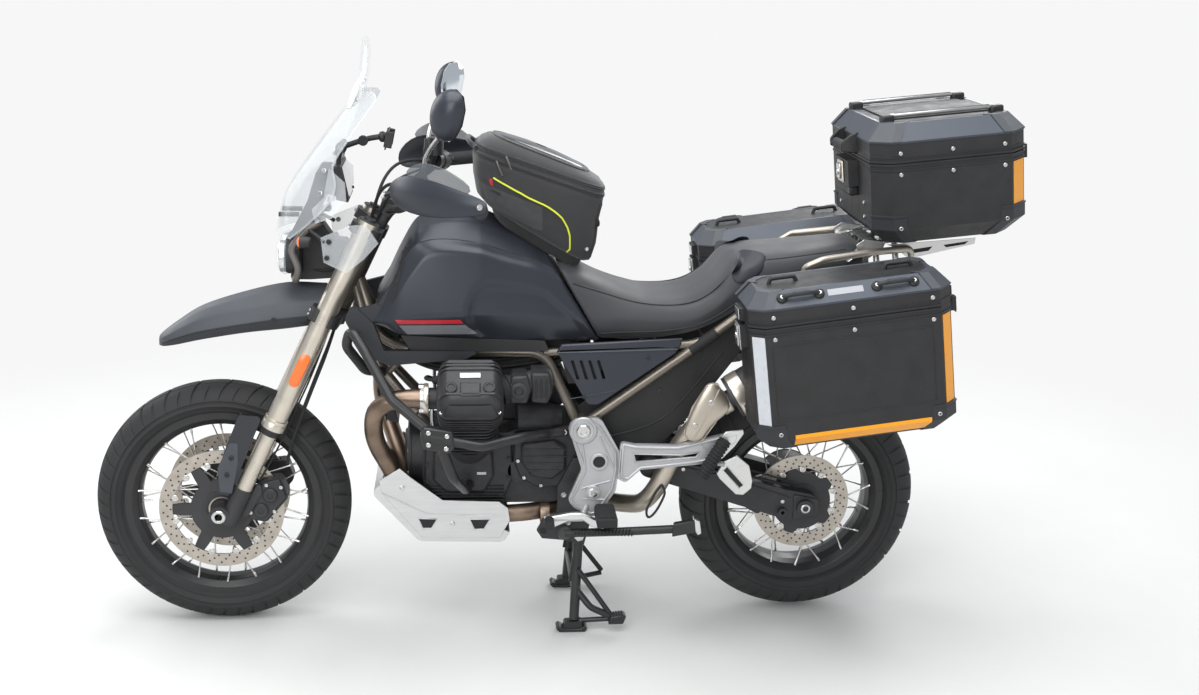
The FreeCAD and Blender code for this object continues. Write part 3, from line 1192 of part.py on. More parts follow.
def racks():
    loops = []
    turn = Rotation(Vector(0, 1, 0), size("pannier_tilt"))
    inner = size("pannier_inner_side")
    for sign in (-1, 1):
        y = sign * (inner - RACK_IN)
        corner = [PANNIER_BASE + turn.multVec(Vector(u, 0, w)) for u, w in
                  ((190, 250), (-190, 250), (-190, 40), (190, 40), (190, 240))]
        route = [(p.x, y, p.z) for p in corner]
        parts = [tube("rack_loop_%d" % sign, route, RACK_RADIUS, 36)]
        joints = [(route[0], (190, 872)), (route[1], (-210, 980))]
        for index, (point, (x, z)) in enumerate(joints):
            parts.append(tube("rack_stay_%d_%d" % (index, sign),
                              [(point[0] - (0 if index else 6), y, point[2] - 14), (x, sign * 200, z),
                               (x, sign * (163 if index == 0 else 128), z)], 8, 20))
        loops.append(fused("rack_%d" % sign, parts))
    sub_part(group("rack_pair", loops), "pannier_racks")


def front_end():
    # lamp body ahead of the fork's sweep, with a neck that runs back between the legs
    rows = [(1308, (950, 76, 20), (990, 104, 24), (1040, 84, 20)),
            (1340, (950, 80, 20), (990, 106, 24), (1044, 84, 20)),
            (1368, (958, 60, 20), (990, 84, 24), (1034, 62, 20))]
    lamp = loft("lamp_loft", [(row[0], both_sides(row[1:])) for row in rows])
    sub_part(lamp, "headlamp")
    # a narrow neck carries lamp, screen and instrument from the steering head
    neck = side_slab("cowl_neck", [(1204, 936, 4), (1290, 930, 8), (1338, 930.5, 6), (1338, 946.5, 4),
                                   (1307.7, 948, 0), (1307.7, 1046, 4), (1290, 1090, 10), (1262, 1086, 4),
                                   (1228, 1034, 10), (1196, 1030, 8), (1178, 985, 4)], "-26", "26")
    shelf = side_slab("cowl_shelf", [(1306, 1047, 0), (1336, 1047, 4), (1286, 1140, 30), (1262, 1214, 6),
                                     (1229.9, 1214, 0), (1216.2, 1152.4, 0), (1240, 1158, 0), (1276, 1070,
                                             0)], "-78", "78")
    bore = rod("cowl_bore", steer(560), steer(900), "30.3")
    sub_part(cut("cowl_cut", fused("cowl_solid", [neck, shelf]), bore), "front_cowl")
    parts = []
    for sign in (-1, 1):
        upper = mirrored([(1250, 78.3, 1094), (1250, 112, 1094), (1284, 118, 1078), (1328, 114, 1028),
                          (1308, 118, 978), (1318, 96, 942), (1325, 56, 938.5), (1325, 26.3, 938.5)], sign)
        parts.append(tube("cradle_%d" % sign, upper, 8.5, 30))
    sub_part(group("cradle_pair", parts), "lamp_cradle")
    # one curved sheet: each section is a bow from side to side
    rows = [(1058, 1372, 150, 60), (1150, 1342, 160, 90), (1290, 1240, 140, 80), (1400, 1160, 90, 40)]
    outer = []
    for z, x, half, sweep in rows:
        outer.append((str(z), [(x, -half * 0.35, 30), (x, half * 0.35, 30), (x - sweep, half, 4),
                               (x - sweep - 4, half, 2), (x - 4, half * 0.35 - 2, 28), (x - 4,
                                       -half * 0.35 + 2, 28),
                               (x - sweep - 4, -half, 2), (x - sweep, -half, 4)]))
    screen = loft("screen_loft", outer, "XY_Plane")
    stays = [rod("screen_stay_%d" % sign, (1311, sign * 40, 1100), (1359, sign * 40, 1100),
                 "6") for sign in (-1, 1)]
    spoiler = side_slab("spoiler", [(1166, 1388, 8), (1150, 1531, 20), (1144, 1531, 20), (1158, 1388, 4)],
                        "-90", "90")
    clamp = [block("spoiler_clamp_%d" % sign, ("1146", "1180"), (str(sign * 40 - 12), str(sign * 40 + 12)),
                   ("1370", "1420")) for sign in (-1, 1)]
    sub_part(fused("screen_all", [screen, spoiler] + clamp + stays), "windscreen")
    unit = side_slab("display", [(1214, 1144, 4), (1230, 1216, 8), (1206, 1226, 8), (1188, 1139, 4)],
                     "-80", "80")
    bar = rod("accessory_bar", (1206, -86, 1262), (1206, 86, 1262), "8")
    posts = [rod("bar_post_%d" % sign, (1212, sign * 60, 1200), (1206, sign * 60, 1262),
                 "6") for sign in (-1, 1)]
    sub_part(fused("instrument_all", [unit, bar] + posts), "instrument")


def tank_bag():
    # place, then (height, half width, corner) at the bottom, the belly and the top
    rows = [(876, (1099, 76, 20), (1180, 104, 40), (1240, 80, 30)),
            (800, (1087, 86, 24), (1190, 112, 40), (1290, 84, 40)),
            (680, (1043, 90, 24), (1150, 110, 40), (1246, 84, 40)),
            (560, (1003, 70, 20), (1100, 92, 30), (1188, 70, 30))]
    sub_part(loft("bag_loft", [(row[0], both_sides(row[1:])) for row in rows]), "tank_bag")


def check(item):
    """Stops on a failed object, and on a null or invalid shape."""
    if "Invalid" in item.State or "Error" in item.State:
        raise RuntimeError("%s is %s" % (item.Name, item.State))


wheels()
fork()
front_mudguard()
handlebar()
frame()
engine()
exhaust()
skid_plate()
crash_bars()
swing_arm()
stands()
footplates()
tank()
seat()
tail()
luggage_plate()
cases()
racks()
front_end()
tank_bag()
doc.recompute()
for item in doc.Objects:
    check(item)
for node in nodes:
    name = node.Label
    shape = node.Shape
    if shape.isNull() or not shape.isValid():
        raise RuntimeError(name + " has no valid shape")
    shape.exportStep("parts/%s.step" % name)
    print(name, len(shape.Solids), round(shape.Volume / 1000, 1))
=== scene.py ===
import math

import bmesh
import bpy
from mathutils import Matrix, Vector


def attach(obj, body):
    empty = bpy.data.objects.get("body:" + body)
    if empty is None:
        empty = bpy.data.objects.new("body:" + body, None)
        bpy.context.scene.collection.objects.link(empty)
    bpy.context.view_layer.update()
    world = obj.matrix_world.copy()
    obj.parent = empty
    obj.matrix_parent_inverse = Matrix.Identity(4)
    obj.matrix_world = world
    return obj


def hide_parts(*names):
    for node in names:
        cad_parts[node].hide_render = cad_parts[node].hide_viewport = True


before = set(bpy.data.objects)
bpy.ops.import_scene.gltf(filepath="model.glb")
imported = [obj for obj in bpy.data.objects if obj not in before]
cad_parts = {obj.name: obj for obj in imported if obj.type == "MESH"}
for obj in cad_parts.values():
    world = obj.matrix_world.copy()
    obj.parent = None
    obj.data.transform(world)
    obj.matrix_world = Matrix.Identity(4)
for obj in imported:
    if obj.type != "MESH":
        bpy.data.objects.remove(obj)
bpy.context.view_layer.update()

# Places are given in millimetres from under the rear axle: X forward, Y left, Z up from the floor.
MIDDLE = 0.6785
FRONT_AXLE = (1530, 329)
REAR_AXLE = (0, 330)
SIDES = ((1, "left"), (-1, "right"))


def P(x, y, z):
    return Vector((x / 1000 - MIDDLE, y / 1000, z / 1000))


# Camera

CAMERA_TURN = (5.51, 15.33, 1.256)     # yaw, pitch and roll in degrees
CAMERA_PLACE = (911, 3776, 1781)
CAMERA_LENS = 44.86
SENSOR_WIDTH = 36
VIEW_END = 60


def set_camera():
    yaw, pitch, roll = (math.radians(angle) for angle in CAMERA_TURN)
    level = Vector((-math.sin(yaw), -math.cos(yaw), 0))
    side = Vector((-math.cos(yaw), math.sin(yaw), 0))
    ahead = level * math.cos(pitch) - Vector((0, 0, math.sin(pitch)))
    top = Vector((0, 0, math.cos(pitch))) + level * math.sin(pitch)
    right = side * math.cos(roll) + top * math.sin(roll)
    up = top * math.cos(roll) - side * math.sin(roll)
    data = bpy.data.cameras.new("camera")
    data.sensor_fit = "HORIZONTAL"
    data.sensor_width = SENSOR_WIDTH
    data.lens = CAMERA_LENS
    data.clip_end = VIEW_END
    camera = bpy.data.objects.new("camera", data)
    place = Matrix((right, up, -ahead)).transposed().to_4x4()
    place.translation = P(*CAMERA_PLACE)
    camera.matrix_world = place
    bpy.context.scene.collection.objects.link(camera)
    bpy.context.scene.camera = camera


set_camera()


# Materials

NOISE_LOW, NOISE_HIGH = 0.3, 0.7       # the span of the noise over which colour and roughness change
BUMP_DEPTH = 0.001                     # metres
PAINT_IOR, SHEET_IOR = 1.45, 1.49
COAT_ROUGHNESS = 0.12


def add_node(tree, kind, **values):
    """A new node with values on its sockets, where an underscore in a name stands for a space."""
    node = tree.nodes.new("ShaderNode" + kind)
    for name, value in values.items():
        node.inputs[name.replace("_", " ")].default_value = value
    return node


def new_material(name):
    mat = bpy.data.materials.new(name)
    mat.use_nodes = True
    return mat, mat.node_tree, mat.node_tree.nodes["Principled BSDF"]


def add_bump(tree, height, strength):
    relief = add_node(tree, "Bump", Strength=strength, Distance=BUMP_DEPTH)
    tree.links.new(height, relief.inputs["Height"])
    tree.links.new(relief.outputs["Normal"], tree.nodes["Principled BSDF"].inputs["Normal"])


def material(name, colour, rough, metal=0.0, vary=0.12, patch=18.0, grain=900.0, bump=0.12, coat=0.0,
             sheen=0.0, smear=0.08, stretch=(1, 1, 1)):
    """A surface with uneven colour and roughness in patches, and a fine grain as bump."""
    mat, tree, shader = new_material(name)
    link = tree.links.new
    for socket, value in (
            ("Metallic", metal),
            ("IOR", PAINT_IOR),
            ("Coat Weight", coat),
            ("Coat Roughness", COAT_ROUGHNESS),
            ("Sheen Weight", sheen)):
        shader.inputs[socket].default_value = value
    where = add_node(tree, "TexCoord")
    scaled = add_node(tree, "Mapping", Scale=stretch)
    link(where.outputs["Object"], scaled.inputs["Vector"])
    cloud = add_node(tree, "TexNoise", Scale=patch, Detail=6)
    link(scaled.outputs["Vector"], cloud.inputs["Vector"])
    tone = add_node(tree, "ValToRGB")
    for end, place, change in zip(tone.color_ramp.elements, (NOISE_LOW, NOISE_HIGH), (1 - vary, 1 + vary)):
        end.position = place
        end.color = (*(min(1, c * change) for c in colour), 1)
    link(cloud.outputs["Fac"], tone.inputs["Fac"])
    link(tone.outputs["Color"], shader.inputs["Base Color"])
    spread = add_node(tree, "MapRange", From_Min=NOISE_LOW, From_Max=NOISE_HIGH,
        To_Min=max(0.02, rough - smear), To_Max=min(1, rough + smear))
    link(cloud.outputs["Fac"], spread.inputs["Value"])
    link(spread.outputs["Result"], shader.inputs["Roughness"])
    if bump:
        fine = add_node(tree, "TexNoise", Scale=grain, Detail=3)
        link(scaled.outputs["Vector"], fine.inputs["Vector"])
        add_bump(tree, fine.outputs["Fac"], bump)
    return mat


def weave(name, colour, rough, size, depth):
    """Woven cloth: two crossed waves as bump, with a slightly uneven colour."""
    mat = material(name, colour, rough, vary=0.18, patch=60, bump=0, sheen=0.25)
    tree = mat.node_tree
    where = next(node for node in tree.nodes if node.type == "TEX_COORD")
    both = add_node(tree, "Math")
    both.operation = "MULTIPLY"
    for factor, axis in enumerate(("X", "Z")):
        wave = add_node(tree, "TexWave", Scale=size, Distortion=0.4)
        wave.bands_direction = axis
        tree.links.new(where.outputs["Object"], wave.inputs["Vector"])
        tree.links.new(wave.outputs["Fac"], both.inputs[factor])
    add_bump(tree, both.outputs["Value"], depth)
    return mat


def clear_sheet(name, tint, rough=0.06, solid=0.16):
    """Thin clear plastic: see-through, with a faint film of its own colour and gloss."""
    mat, tree, shader = new_material(name)
    shader.inputs["Base Color"].default_value = (*tint, 1)
    shader.inputs["IOR"].default_value = SHEET_IOR
    where = add_node(tree, "TexCoord")
    haze = add_node(tree, "TexNoise", Scale=9, Detail=8)
    tree.links.new(where.outputs["Object"], haze.inputs["Vector"])
    for socket, low, high in (
            ("Alpha", solid * 0.8, solid * 1.25),
            ("Roughness", rough * 0.7, rough * 1.6)):
        spread = add_node(tree, "MapRange", To_Min=low, To_Max=high)
        tree.links.new(haze.outputs["Fac"], spread.inputs["Value"])
        tree.links.new(spread.outputs["Result"], shader.inputs[socket])
    return mat


MAT = {
    "rubber": material("tread rubber", (0.022, 0.022, 0.023), 0.72, vary=0.25, patch=7, grain=700,
        bump=0.25),
    "rim": material("rim black", (0.02, 0.02, 0.021), 0.34, vary=0.15, grain=500, bump=0.04),
    "spoke": material("spoke steel", (0.62, 0.60, 0.57), 0.3, metal=1, vary=0.1, bump=0.03),
    "hub": material("hub black", (0.03, 0.03, 0.032), 0.45, vary=0.2, grain=600, bump=0.2),
    "disc": material("disc steel", (0.46, 0.42, 0.37), 0.36, metal=1, vary=0.14, patch=30, grain=1400,
        bump=0.1),
    "cast_black": material("black casting", (0.028, 0.028, 0.03), 0.5, vary=0.25, grain=800, bump=0.35),
    "champagne": material("champagne anodised", (0.62, 0.57, 0.49), 0.33, metal=0.85, vary=0.06, bump=0.04),
    "steel": material("turned steel", (0.60, 0.60, 0.59), 0.28, metal=1, vary=0.1, grain=1200, bump=0.06),
    "slate": material("slate plastic", (0.050, 0.055, 0.064), 0.5, vary=0.08, grain=2200, bump=0.12),
    "slate_dark": material("dark slate plastic", (0.022, 0.024, 0.028), 0.55, vary=0.12, grain=2000,
        bump=0.25),
    "bar_black": material("bar black", (0.018, 0.018, 0.019), 0.4, vary=0.15, grain=1500, bump=0.08,
        coat=0.1),
    "bronze": material("frame bronze", (0.19, 0.168, 0.142), 0.34, metal=0.7, vary=0.1, grain=1500,
        bump=0.08),
    "engine": material("engine black", (0.028, 0.028, 0.03), 0.48, metal=0.2, vary=0.3, patch=40, grain=700,
                       bump=0.4),
    "cover": material("head cover black", (0.034, 0.034, 0.036), 0.42, metal=0.2, vary=0.2, grain=900,
        bump=0.3),
    "header": material("header steel", (0.25, 0.185, 0.14), 0.40, metal=1, vary=0.35, patch=14, grain=500,
                       bump=0.08),
    "silencer": material("silencer black", (0.03, 0.03, 0.032), 0.5, vary=0.2, grain=900, bump=0.15),
    "shield": material("shield steel", (0.50, 0.45, 0.38), 0.36, metal=0.9, vary=0.08, grain=1500,
        bump=0.06),
    "bash": material("bash aluminium", (0.62, 0.62, 0.62), 0.42, metal=0.85, vary=0.06, patch=12,
                     stretch=(1, 6, 12), grain=240, bump=0.08),
    "casting": material("casting silver grey", (0.42, 0.42, 0.43), 0.45, metal=0.55, vary=0.08, grain=1300,
                        bump=0.18),
    "graphite": material("graphite lacquer", (0.034, 0.038, 0.048), 0.33, metal=0.35, vary=0.05, patch=5,
                         grain=2600, bump=0.05, smear=0.03),
    "vinyl": material("seat vinyl", (0.028, 0.029, 0.033), 0.55, vary=0.12, patch=10, grain=520, bump=0.5,
                      sheen=0.1),
    "vinyl_blue": material("lumbar vinyl", (0.016, 0.018, 0.026), 0.5, vary=0.12, grain=600, bump=0.4),
    "plastic": material("black plastic", (0.017, 0.017, 0.018), 0.5, vary=0.15, grain=1400, bump=0.3),
    "case": material("case black", (0.018, 0.018, 0.019), 0.52, vary=0.18, patch=24, grain=620, bump=0.7),
    "case_bevel": material("case lid blue grey", (0.055, 0.063, 0.078), 0.4, metal=0.3, vary=0.08,
        bump=0.06),
    "alu": material("bright aluminium", (0.66, 0.66, 0.65), 0.3, metal=0.95, vary=0.06, stretch=(1, 5, 1),
                    grain=260, bump=0.06),
    "rail": material("rail champagne", (0.42, 0.38, 0.33), 0.36, metal=0.8, vary=0.08, bump=0.05),
    "red": material("red lens", (0.42, 0.015, 0.015), 0.16, vary=0.1, grain=160, bump=0.2, coat=0.6),
    "orange": material("orange reflector", (0.80, 0.16, 0.02), 0.18, vary=0.08, grain=240, bump=0.5,
        coat=0.6),
    "stripe_red": material("stripe red", (0.50, 0.022, 0.035), 0.4, vary=0.06, bump=0.03),
    "stripe_grey": material("stripe grey", (0.17, 0.175, 0.19), 0.42, vary=0.06, bump=0.03),
    "yellow": material("case reflector yellow", (0.84, 0.33, 0.006), 0.36, vary=0.03, patch=60, grain=420,
                       bump=0.12, coat=0.15, smear=0.03),
    "grey_strip": material("case reflector grey", (0.50, 0.52, 0.55), 0.34, vary=0.05, patch=60, grain=420,
                           bump=0.25, coat=0.4),
    "gauge": material("display glass", (0.01, 0.011, 0.013), 0.1, vary=0.2, bump=0, coat=0.8),
    "lens": clear_sheet("lamp lens", (0.75, 0.78, 0.80), solid=0.22),
    "screen": clear_sheet("screen sheet", (0.60, 0.64, 0.66), solid=0.20),
    "milky": clear_sheet("milky block", (0.80, 0.82, 0.82), rough=0.3, solid=0.8),
    "smoke": clear_sheet("smoked sheet", (0.10, 0.11, 0.12), solid=0.55),
    "reflector": material("lamp reflector", (0.72, 0.74, 0.76), 0.14, metal=1, vary=0.05, bump=0.02),
    "mirror": material("mirror glass", (0.78, 0.82, 0.86), 0.05, metal=1, vary=0.04, patch=3, bump=0.01,
                       smear=0.02),
    "bag": weave("bag nylon", (0.026, 0.026, 0.028), 0.7, 340, 0.5),
    "bag_light": weave("bag panel", (0.050, 0.050, 0.054), 0.66, 260, 0.6),
    "webbing": weave("webbing", (0.014, 0.014, 0.015), 0.75, 420, 0.7),
    "piping": material("yellow piping", (0.66, 0.72, 0.05), 0.45, vary=0.08, grain=900, bump=0.3),
    "tab_red": material("red tab", (0.45, 0.02, 0.03), 0.5, vary=0.08, grain=900, bump=0.2),
    "window": material("map window", (0.030, 0.031, 0.034), 0.14, vary=0.1, patch=16, grain=60, bump=0.12,
                       coat=0.5),
    "plate": material("blank plate", (0.62, 0.63, 0.63), 0.3, vary=0.04, bump=0.02, coat=0.3),
    "label": material("blank label", (0.32, 0.33, 0.35), 0.35, vary=0.06, grain=900, bump=0.04),
    "gunmetal": material("cradle grey", (0.15, 0.138, 0.130), 0.38, metal=0.6, vary=0.08, grain=1500,
        bump=0.06),
    "badge": material("blank badge", (0.45, 0.45, 0.44), 0.35, metal=0.8, vary=0.06, bump=0.04),
    "grip": material("grip rubber", (0.016, 0.016, 0.017), 0.75, vary=0.2, grain=420, bump=0.9),
}

LOOKS = {
    "rubber": "front_tyre rear_tyre",
    "rim": "front_rim rear_rim",
    "spoke": "front_spokes rear_spokes",
    "hub": "front_hub rear_hub",
    "disc": "front_discs rear_disc",
    "cast_black": "fork_yokes fork_feet front_calipers swing_arm",
    "champagne": "fork_legs",
    "steel": "front_axle shock_absorber",
    "slate_dark": "fork_guards side_fairings",
    "slate": "front_mudguard",
    "bar_black": "handlebar crash_bars centre_stand side_stand pannier_racks",
    "graphite": "hand_guards fuel_tank side_panels",
    "plastic": "mirrors tail_unit front_cowl instrument",
    "bronze": "main_frame",
    "engine": "engine_block engine_cylinders",
    "cover": "head_covers",
    "header": "exhaust_headers",
    "silencer": "silencer",
    "shield": "heat_shield",
    "bash": "skid_plate",
    "casting": "footplates",
    "vinyl": "seat",
    "red": "tail_lamp",
    "rail": "grab_rails",
    "gunmetal": "lamp_cradle",
    "alu": "luggage_plate",
    "case": "pannier_left pannier_right top_case pannier_lid_left pannier_lid_right top_case_lid",
    "lens": "headlamp",
    "screen": "windscreen",
    "bag": "tank_bag",
}
for look, names in LOOKS.items():
    for node in names.split():
        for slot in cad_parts[node].material_slots:
            slot.material = MAT[look]


# Pieces

BEVEL_FROM = 35                        # degrees: edges sharper than this are bevelled
JOIN_WITHIN = 1e-6                     # metres


def piece(name, data, mat, body="chassis", smooth=None, bevel=0.0, levels=0):
    obj = bpy.data.objects.new(name, data)
    bpy.context.scene.collection.objects.link(obj)
    data.materials.append(MAT[mat])
    if bevel:
        edge = obj.modifiers.new("edge", "BEVEL")
        edge.width = bevel / 1000
        edge.segments = 2
        edge.limit_method = "ANGLE"
        edge.angle_limit = math.radians(BEVEL_FROM)
        edge.harden_normals = False
    if levels:
        round_off = obj.modifiers.new("round", "SUBSURF")
        round_off.levels = levels
        round_off.render_levels = levels
    if smooth is not None:
        for face in data.polygons:
            face.use_smooth = True
        data.set_sharp_from_angle(angle=math.radians(smooth))
    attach(obj, body)
    return obj


def mesh(name, points, faces, mat, **how):
    data = bpy.data.meshes.new(name)
    data.from_pydata([tuple(point) for point in points], [], faces)
    data.update()
    bm = bmesh.new()
    bm.from_mesh(data)
    bmesh.ops.remove_doubles(bm, verts=bm.verts, dist=JOIN_WITHIN)
    bmesh.ops.recalc_face_normals(bm, faces=bm.faces)
    bm.to_mesh(data)
    bm.free()
    return piece(name, data, mat, **how)


def circle(count, first=0.0):
    """Cosine and sine at equal steps round a circle."""
    turns = (first + 2 * math.pi * k / count for k in range(count))
    return [(math.cos(turn), math.sin(turn)) for turn in turns]


def round_axle(axle, y, radius, count, first=0.0):
    """Places on a circle in the side view."""
    return [(axle[0] + radius * c, y, axle[1] + radius * s) for c, s in circle(count, first)]


def across_of(axis):
    """Two unit directions across an axis."""
    across = axis.orthogonal().normalized()
    return across, axis.cross(across)


def tube_faces(start, rings, n):
    """Faces between rings of n points, of which the first is number start."""
    return [[a + k, a + (k + 1) % n, a + n + (k + 1) % n, a + n + k]
        for a in range(start, start + (rings - 1) * n, n) for k in range(n)]


def prism(name, outline, y_low, y_high, mat, bevel=1.0, both=False, **how):
    """An outline in the side view, between two sides; both adds its mirror image as a second shell."""
    points = []
    faces = []
    n = len(outline)
    for sign in ((1, -1) if both else (1,)):
        start = len(points)
        points += [P(x, sign * y, z) for y in (y_low, y_high) for x, z in outline]
        faces.append([start + k for k in range(n)])
        faces.append([start + n + k for k in reversed(range(n))])
        faces += tube_faces(start, 2, n)
    return mesh(name, points, faces, mat, bevel=bevel, smooth=30, **how)


def skin(name, rows, mat, closed=True, caps=True, **how):
    """A surface through rows of points, each row with the same count."""
    n = len(rows[0])
    points = [P(*point) for row in rows for point in row]
    faces = tube_faces(0, len(rows), n)
    if not closed:
        faces = [face for number, face in enumerate(faces) if number % n < n - 1]
    elif caps:
        faces.append(list(range(n)))
        faces.append(list(reversed(range((len(rows) - 1) * n, len(rows) * n))))
    return mesh(name, points, faces, mat, **how)


def bent(name, points, radius, mat, smooth=True, cyclic=False, body="chassis"):
    """A round bar or hose: a curve through the points, NURBS where smooth, else straight runs."""
    data = bpy.data.curves.new(name, "CURVE")
    data.dimensions = "3D"
    data.bevel_depth = radius / 1000
    data.bevel_resolution = 5
    data.use_fill_caps = True
    spline = data.splines.new("NURBS" if smooth else "POLY")
    spline.points.add(len(points) - 1)
    for point, place in zip(spline.points, points):
        point.co = (*P(*place), 1)
    if smooth:
        spline.order_u = 3
        spline.use_endpoint_u = not cyclic
        spline.resolution_u = 10
    spline.use_cyclic_u = cyclic
    return piece(name, data, mat, body)


def turned(name, centre, axis, profile, mat, steps=32, smooth=35, **how):
    """A lathe piece: (along the axis, radius) rows from a centre in millimetres."""
    axis = Vector(axis).normalized()
    across, third = across_of(axis)
    points = [P(*Vector(centre) + axis * along + (across * c + third * s) * radius) for c,
        s in circle(steps) for along, radius in profile]
    n = len(profile)
    faces = []
    for k in range(steps):
        here, after = k * n, (k + 1) % steps * n
        faces += [[here + j, after + j, after + j + 1, here + j + 1] for j in range(n - 1)]
    return mesh(name, points, faces, mat, smooth=smooth, **how)


def studs(name, places, rings, sides, mat, **how):
    """Many turned heads in one piece, each at a place and along its axis, through (along, radius) rings."""
    points = []
    faces = []
    for place, axis in places:
        across, third = across_of(axis)
        start = len(points)
        points += [P(*Vector(place) + axis * along + (across * c + third * s) * radius) for along,
            radius in rings for c, s in circle(sides)]
        faces += tube_faces(start, len(rings), sides)
        faces.append([start + (len(rings) - 1) * sides + k for k in range(sides)])
    return mesh(name, points, faces, mat, **how)


def bolts(name, places, axis, radius, mat, high=4.0, sides=6, body="chassis"):
    """Hexagon or round heads, each with a dished middle."""
    axis = Vector(axis).normalized()
    rings = [(high * up, radius * share) for up, share in ((0, 1.0), (0.8, 1.0), (1, 0.85), (1, 0.5),
        (0.5, 0.42))]
    return studs(name, [(place, axis) for place in places], rings, sides, mat, smooth=30, body=body)


def rim(name, outline, y, radius, mat, body="chassis"):
    """A raised bead along a closed outline in the side view."""
    return bent(name, [(x, y, z) for x, z in outline], radius, mat, smooth=False, cyclic=True, body=body)


BLOCK_FACES = ((0, 2, 3, 1), (4, 5, 7, 6), (0, 1, 5, 4), (2, 6, 7, 3), (0, 4, 6, 2), (1, 3, 7, 5))


def block(name, corners, mat, bevel=1.0, body="chassis"):
    """A six-sided block from its eight corners."""
    return mesh(name, [P(*corner) for corner in corners], BLOCK_FACES, mat, bevel=bevel, smooth=30,
        body=body)


def ribs(count, start, pitch, rib):
    """A turned profile's like ribs, one after another along the axis."""
    return [(start + pitch * k + along, radius) for k in range(count) for along, radius in rib]


class Side:
    """One side of the motorcycle: y counts outwards, and each piece's name ends with the side's word."""

    def __init__(self, sign, hand, body):
        self.sign = sign
        self.hand = hand
        self.body = body

    def make(self, maker, name, args, k, how):
        how.setdefault("body", self.body)
        return maker(f"{name}_{self.hand}" if k is None else f"{name}_{self.hand}_{k}", *args, **how)

    def out(self, place):
        x, y, z = place
        return (x, self.sign * y, z)

    def all_out(self, places):
        return [self.out(place) for place in places]

    def prism(self, name, outline, low, high, mat, k=None, **how):
        return self.make(prism, name, (outline, self.sign * low, self.sign * high, mat), k, how)

    def skin(self, name, rows, mat, k=None, **how):
        return self.make(skin, name, ([self.all_out(row) for row in rows], mat), k, how)

    def bent(self, name, points, radius, mat, k=None, **how):
        return self.make(bent, name, (self.all_out(points), radius, mat), k, how)

    def turned(self, name, centre, axis, profile, mat, k=None, **how):
        return self.make(turned, name, (self.out(centre), self.out(axis), profile, mat), k, how)

    def bolts(self, name, places, axis, radius, mat, k=None, **how):
        return self.make(bolts, name, (self.all_out(places), self.out(axis), radius, mat), k, how)

    def rim(self, name, outline, y, radius, mat, k=None, **how):
        return self.make(rim, name, (outline, self.sign * y, radius, mat), k, how)


def both_sides(body="chassis"):
    return [Side(sign, hand, body) for sign, hand in SIDES]


# Floor and light

FLOOR_HALF = 14
FADE_FROM, FADE_TO = 1.5, 3.4          # metres from the motorcycle, over which the floor turns white
BACKDROP = (0.93, 0.93, 0.93, 1)
SKY = (0.86, 0.90, 0.95, 1)
SKY_STRENGTH = 0.55
AIM = Vector((0, 0, 0.6))
LIGHTS = (
    # name, place in metres, size, power
    ("top", (0.2, 0.6, 4.2), 4.0, 210),
    ("front", (1.6, 4.2, 2.6), 3.0, 120),
    ("back", (-2.6, -3.4, 3.0), 3.0, 110),
    ("far", (3.2, -2.2, 2.4), 2.5, 60),
)


def set_floor():
    data = bpy.data.meshes.new("floor")
    corners = [(FLOOR_HALF * x, FLOOR_HALF * y, 0) for x, y in ((-1, -1), (1, -1), (1, 1), (-1, 1))]
    data.from_pydata(corners, [], [(0, 1, 2, 3)])
    floor = bpy.data.objects.new("floor", data)
    bpy.context.scene.collection.objects.link(floor)
    pale = material("pale floor", (0.62, 0.62, 0.61), 0.75, vary=0.03, patch=2.5, grain=220, bump=0.05)
    data.materials.append(pale)
    tree = pale.node_tree
    link = tree.links.new
    away = add_node(tree, "Emission", Color=BACKDROP)
    place = add_node(tree, "TexCoord")
    length = add_node(tree, "VectorMath")
    length.operation = "LENGTH"
    fade = add_node(tree, "MapRange", From_Min=FADE_FROM, From_Max=FADE_TO)
    fade.interpolation_type = "SMOOTHSTEP"
    blend = add_node(tree, "MixShader")
    link(place.outputs["Object"], length.inputs[0])
    link(length.outputs["Value"], fade.inputs["Value"])
    link(fade.outputs["Result"], blend.inputs[0])
    link(tree.nodes["Principled BSDF"].outputs["BSDF"], blend.inputs[1])
    link(away.outputs["Emission"], blend.inputs[2])
    link(blend.outputs["Shader"], tree.nodes["Material Output"].inputs["Surface"])


def set_world():
    world = bpy.data.worlds.new("studio")
    bpy.context.scene.world = world
    world.use_nodes = True
    tree = world.node_tree
    link = tree.links.new
    light = tree.nodes["Background"]
    light.inputs["Color"].default_value = SKY
    light.inputs["Strength"].default_value = SKY_STRENGTH
    seen = add_node(tree, "Background", Color=BACKDROP, Strength=1.0)
    path = add_node(tree, "LightPath")
    either = add_node(tree, "Math")
    either.operation = "MAXIMUM"
    link(path.outputs["Is Camera Ray"], either.inputs[0])
    link(path.outputs["Is Transmission Ray"], either.inputs[1])
    mix = add_node(tree, "MixShader")
    link(either.outputs["Value"], mix.inputs[0])
    link(light.outputs["Background"], mix.inputs[1])
    link(seen.outputs["Background"], mix.inputs[2])
    link(mix.outputs["Shader"], tree.nodes["World Output"].inputs["Surface"])
    bpy.context.scene.view_settings.view_transform = "Standard"
    for name, place, wide, power in LIGHTS:
        data = bpy.data.lights.new(name, "AREA")
        data.shape = "SQUARE"
        data.size = wide
        data.energy = power
        lamp = bpy.data.objects.new("light_" + name, data)
        bpy.context.scene.collection.objects.link(lamp)
        lamp.location = place
        lamp.rotation_euler = (AIM - Vector(place)).to_track_quat("-Z", "Y").to_euler()


set_floor()
set_world()


# Smooth forms through sections

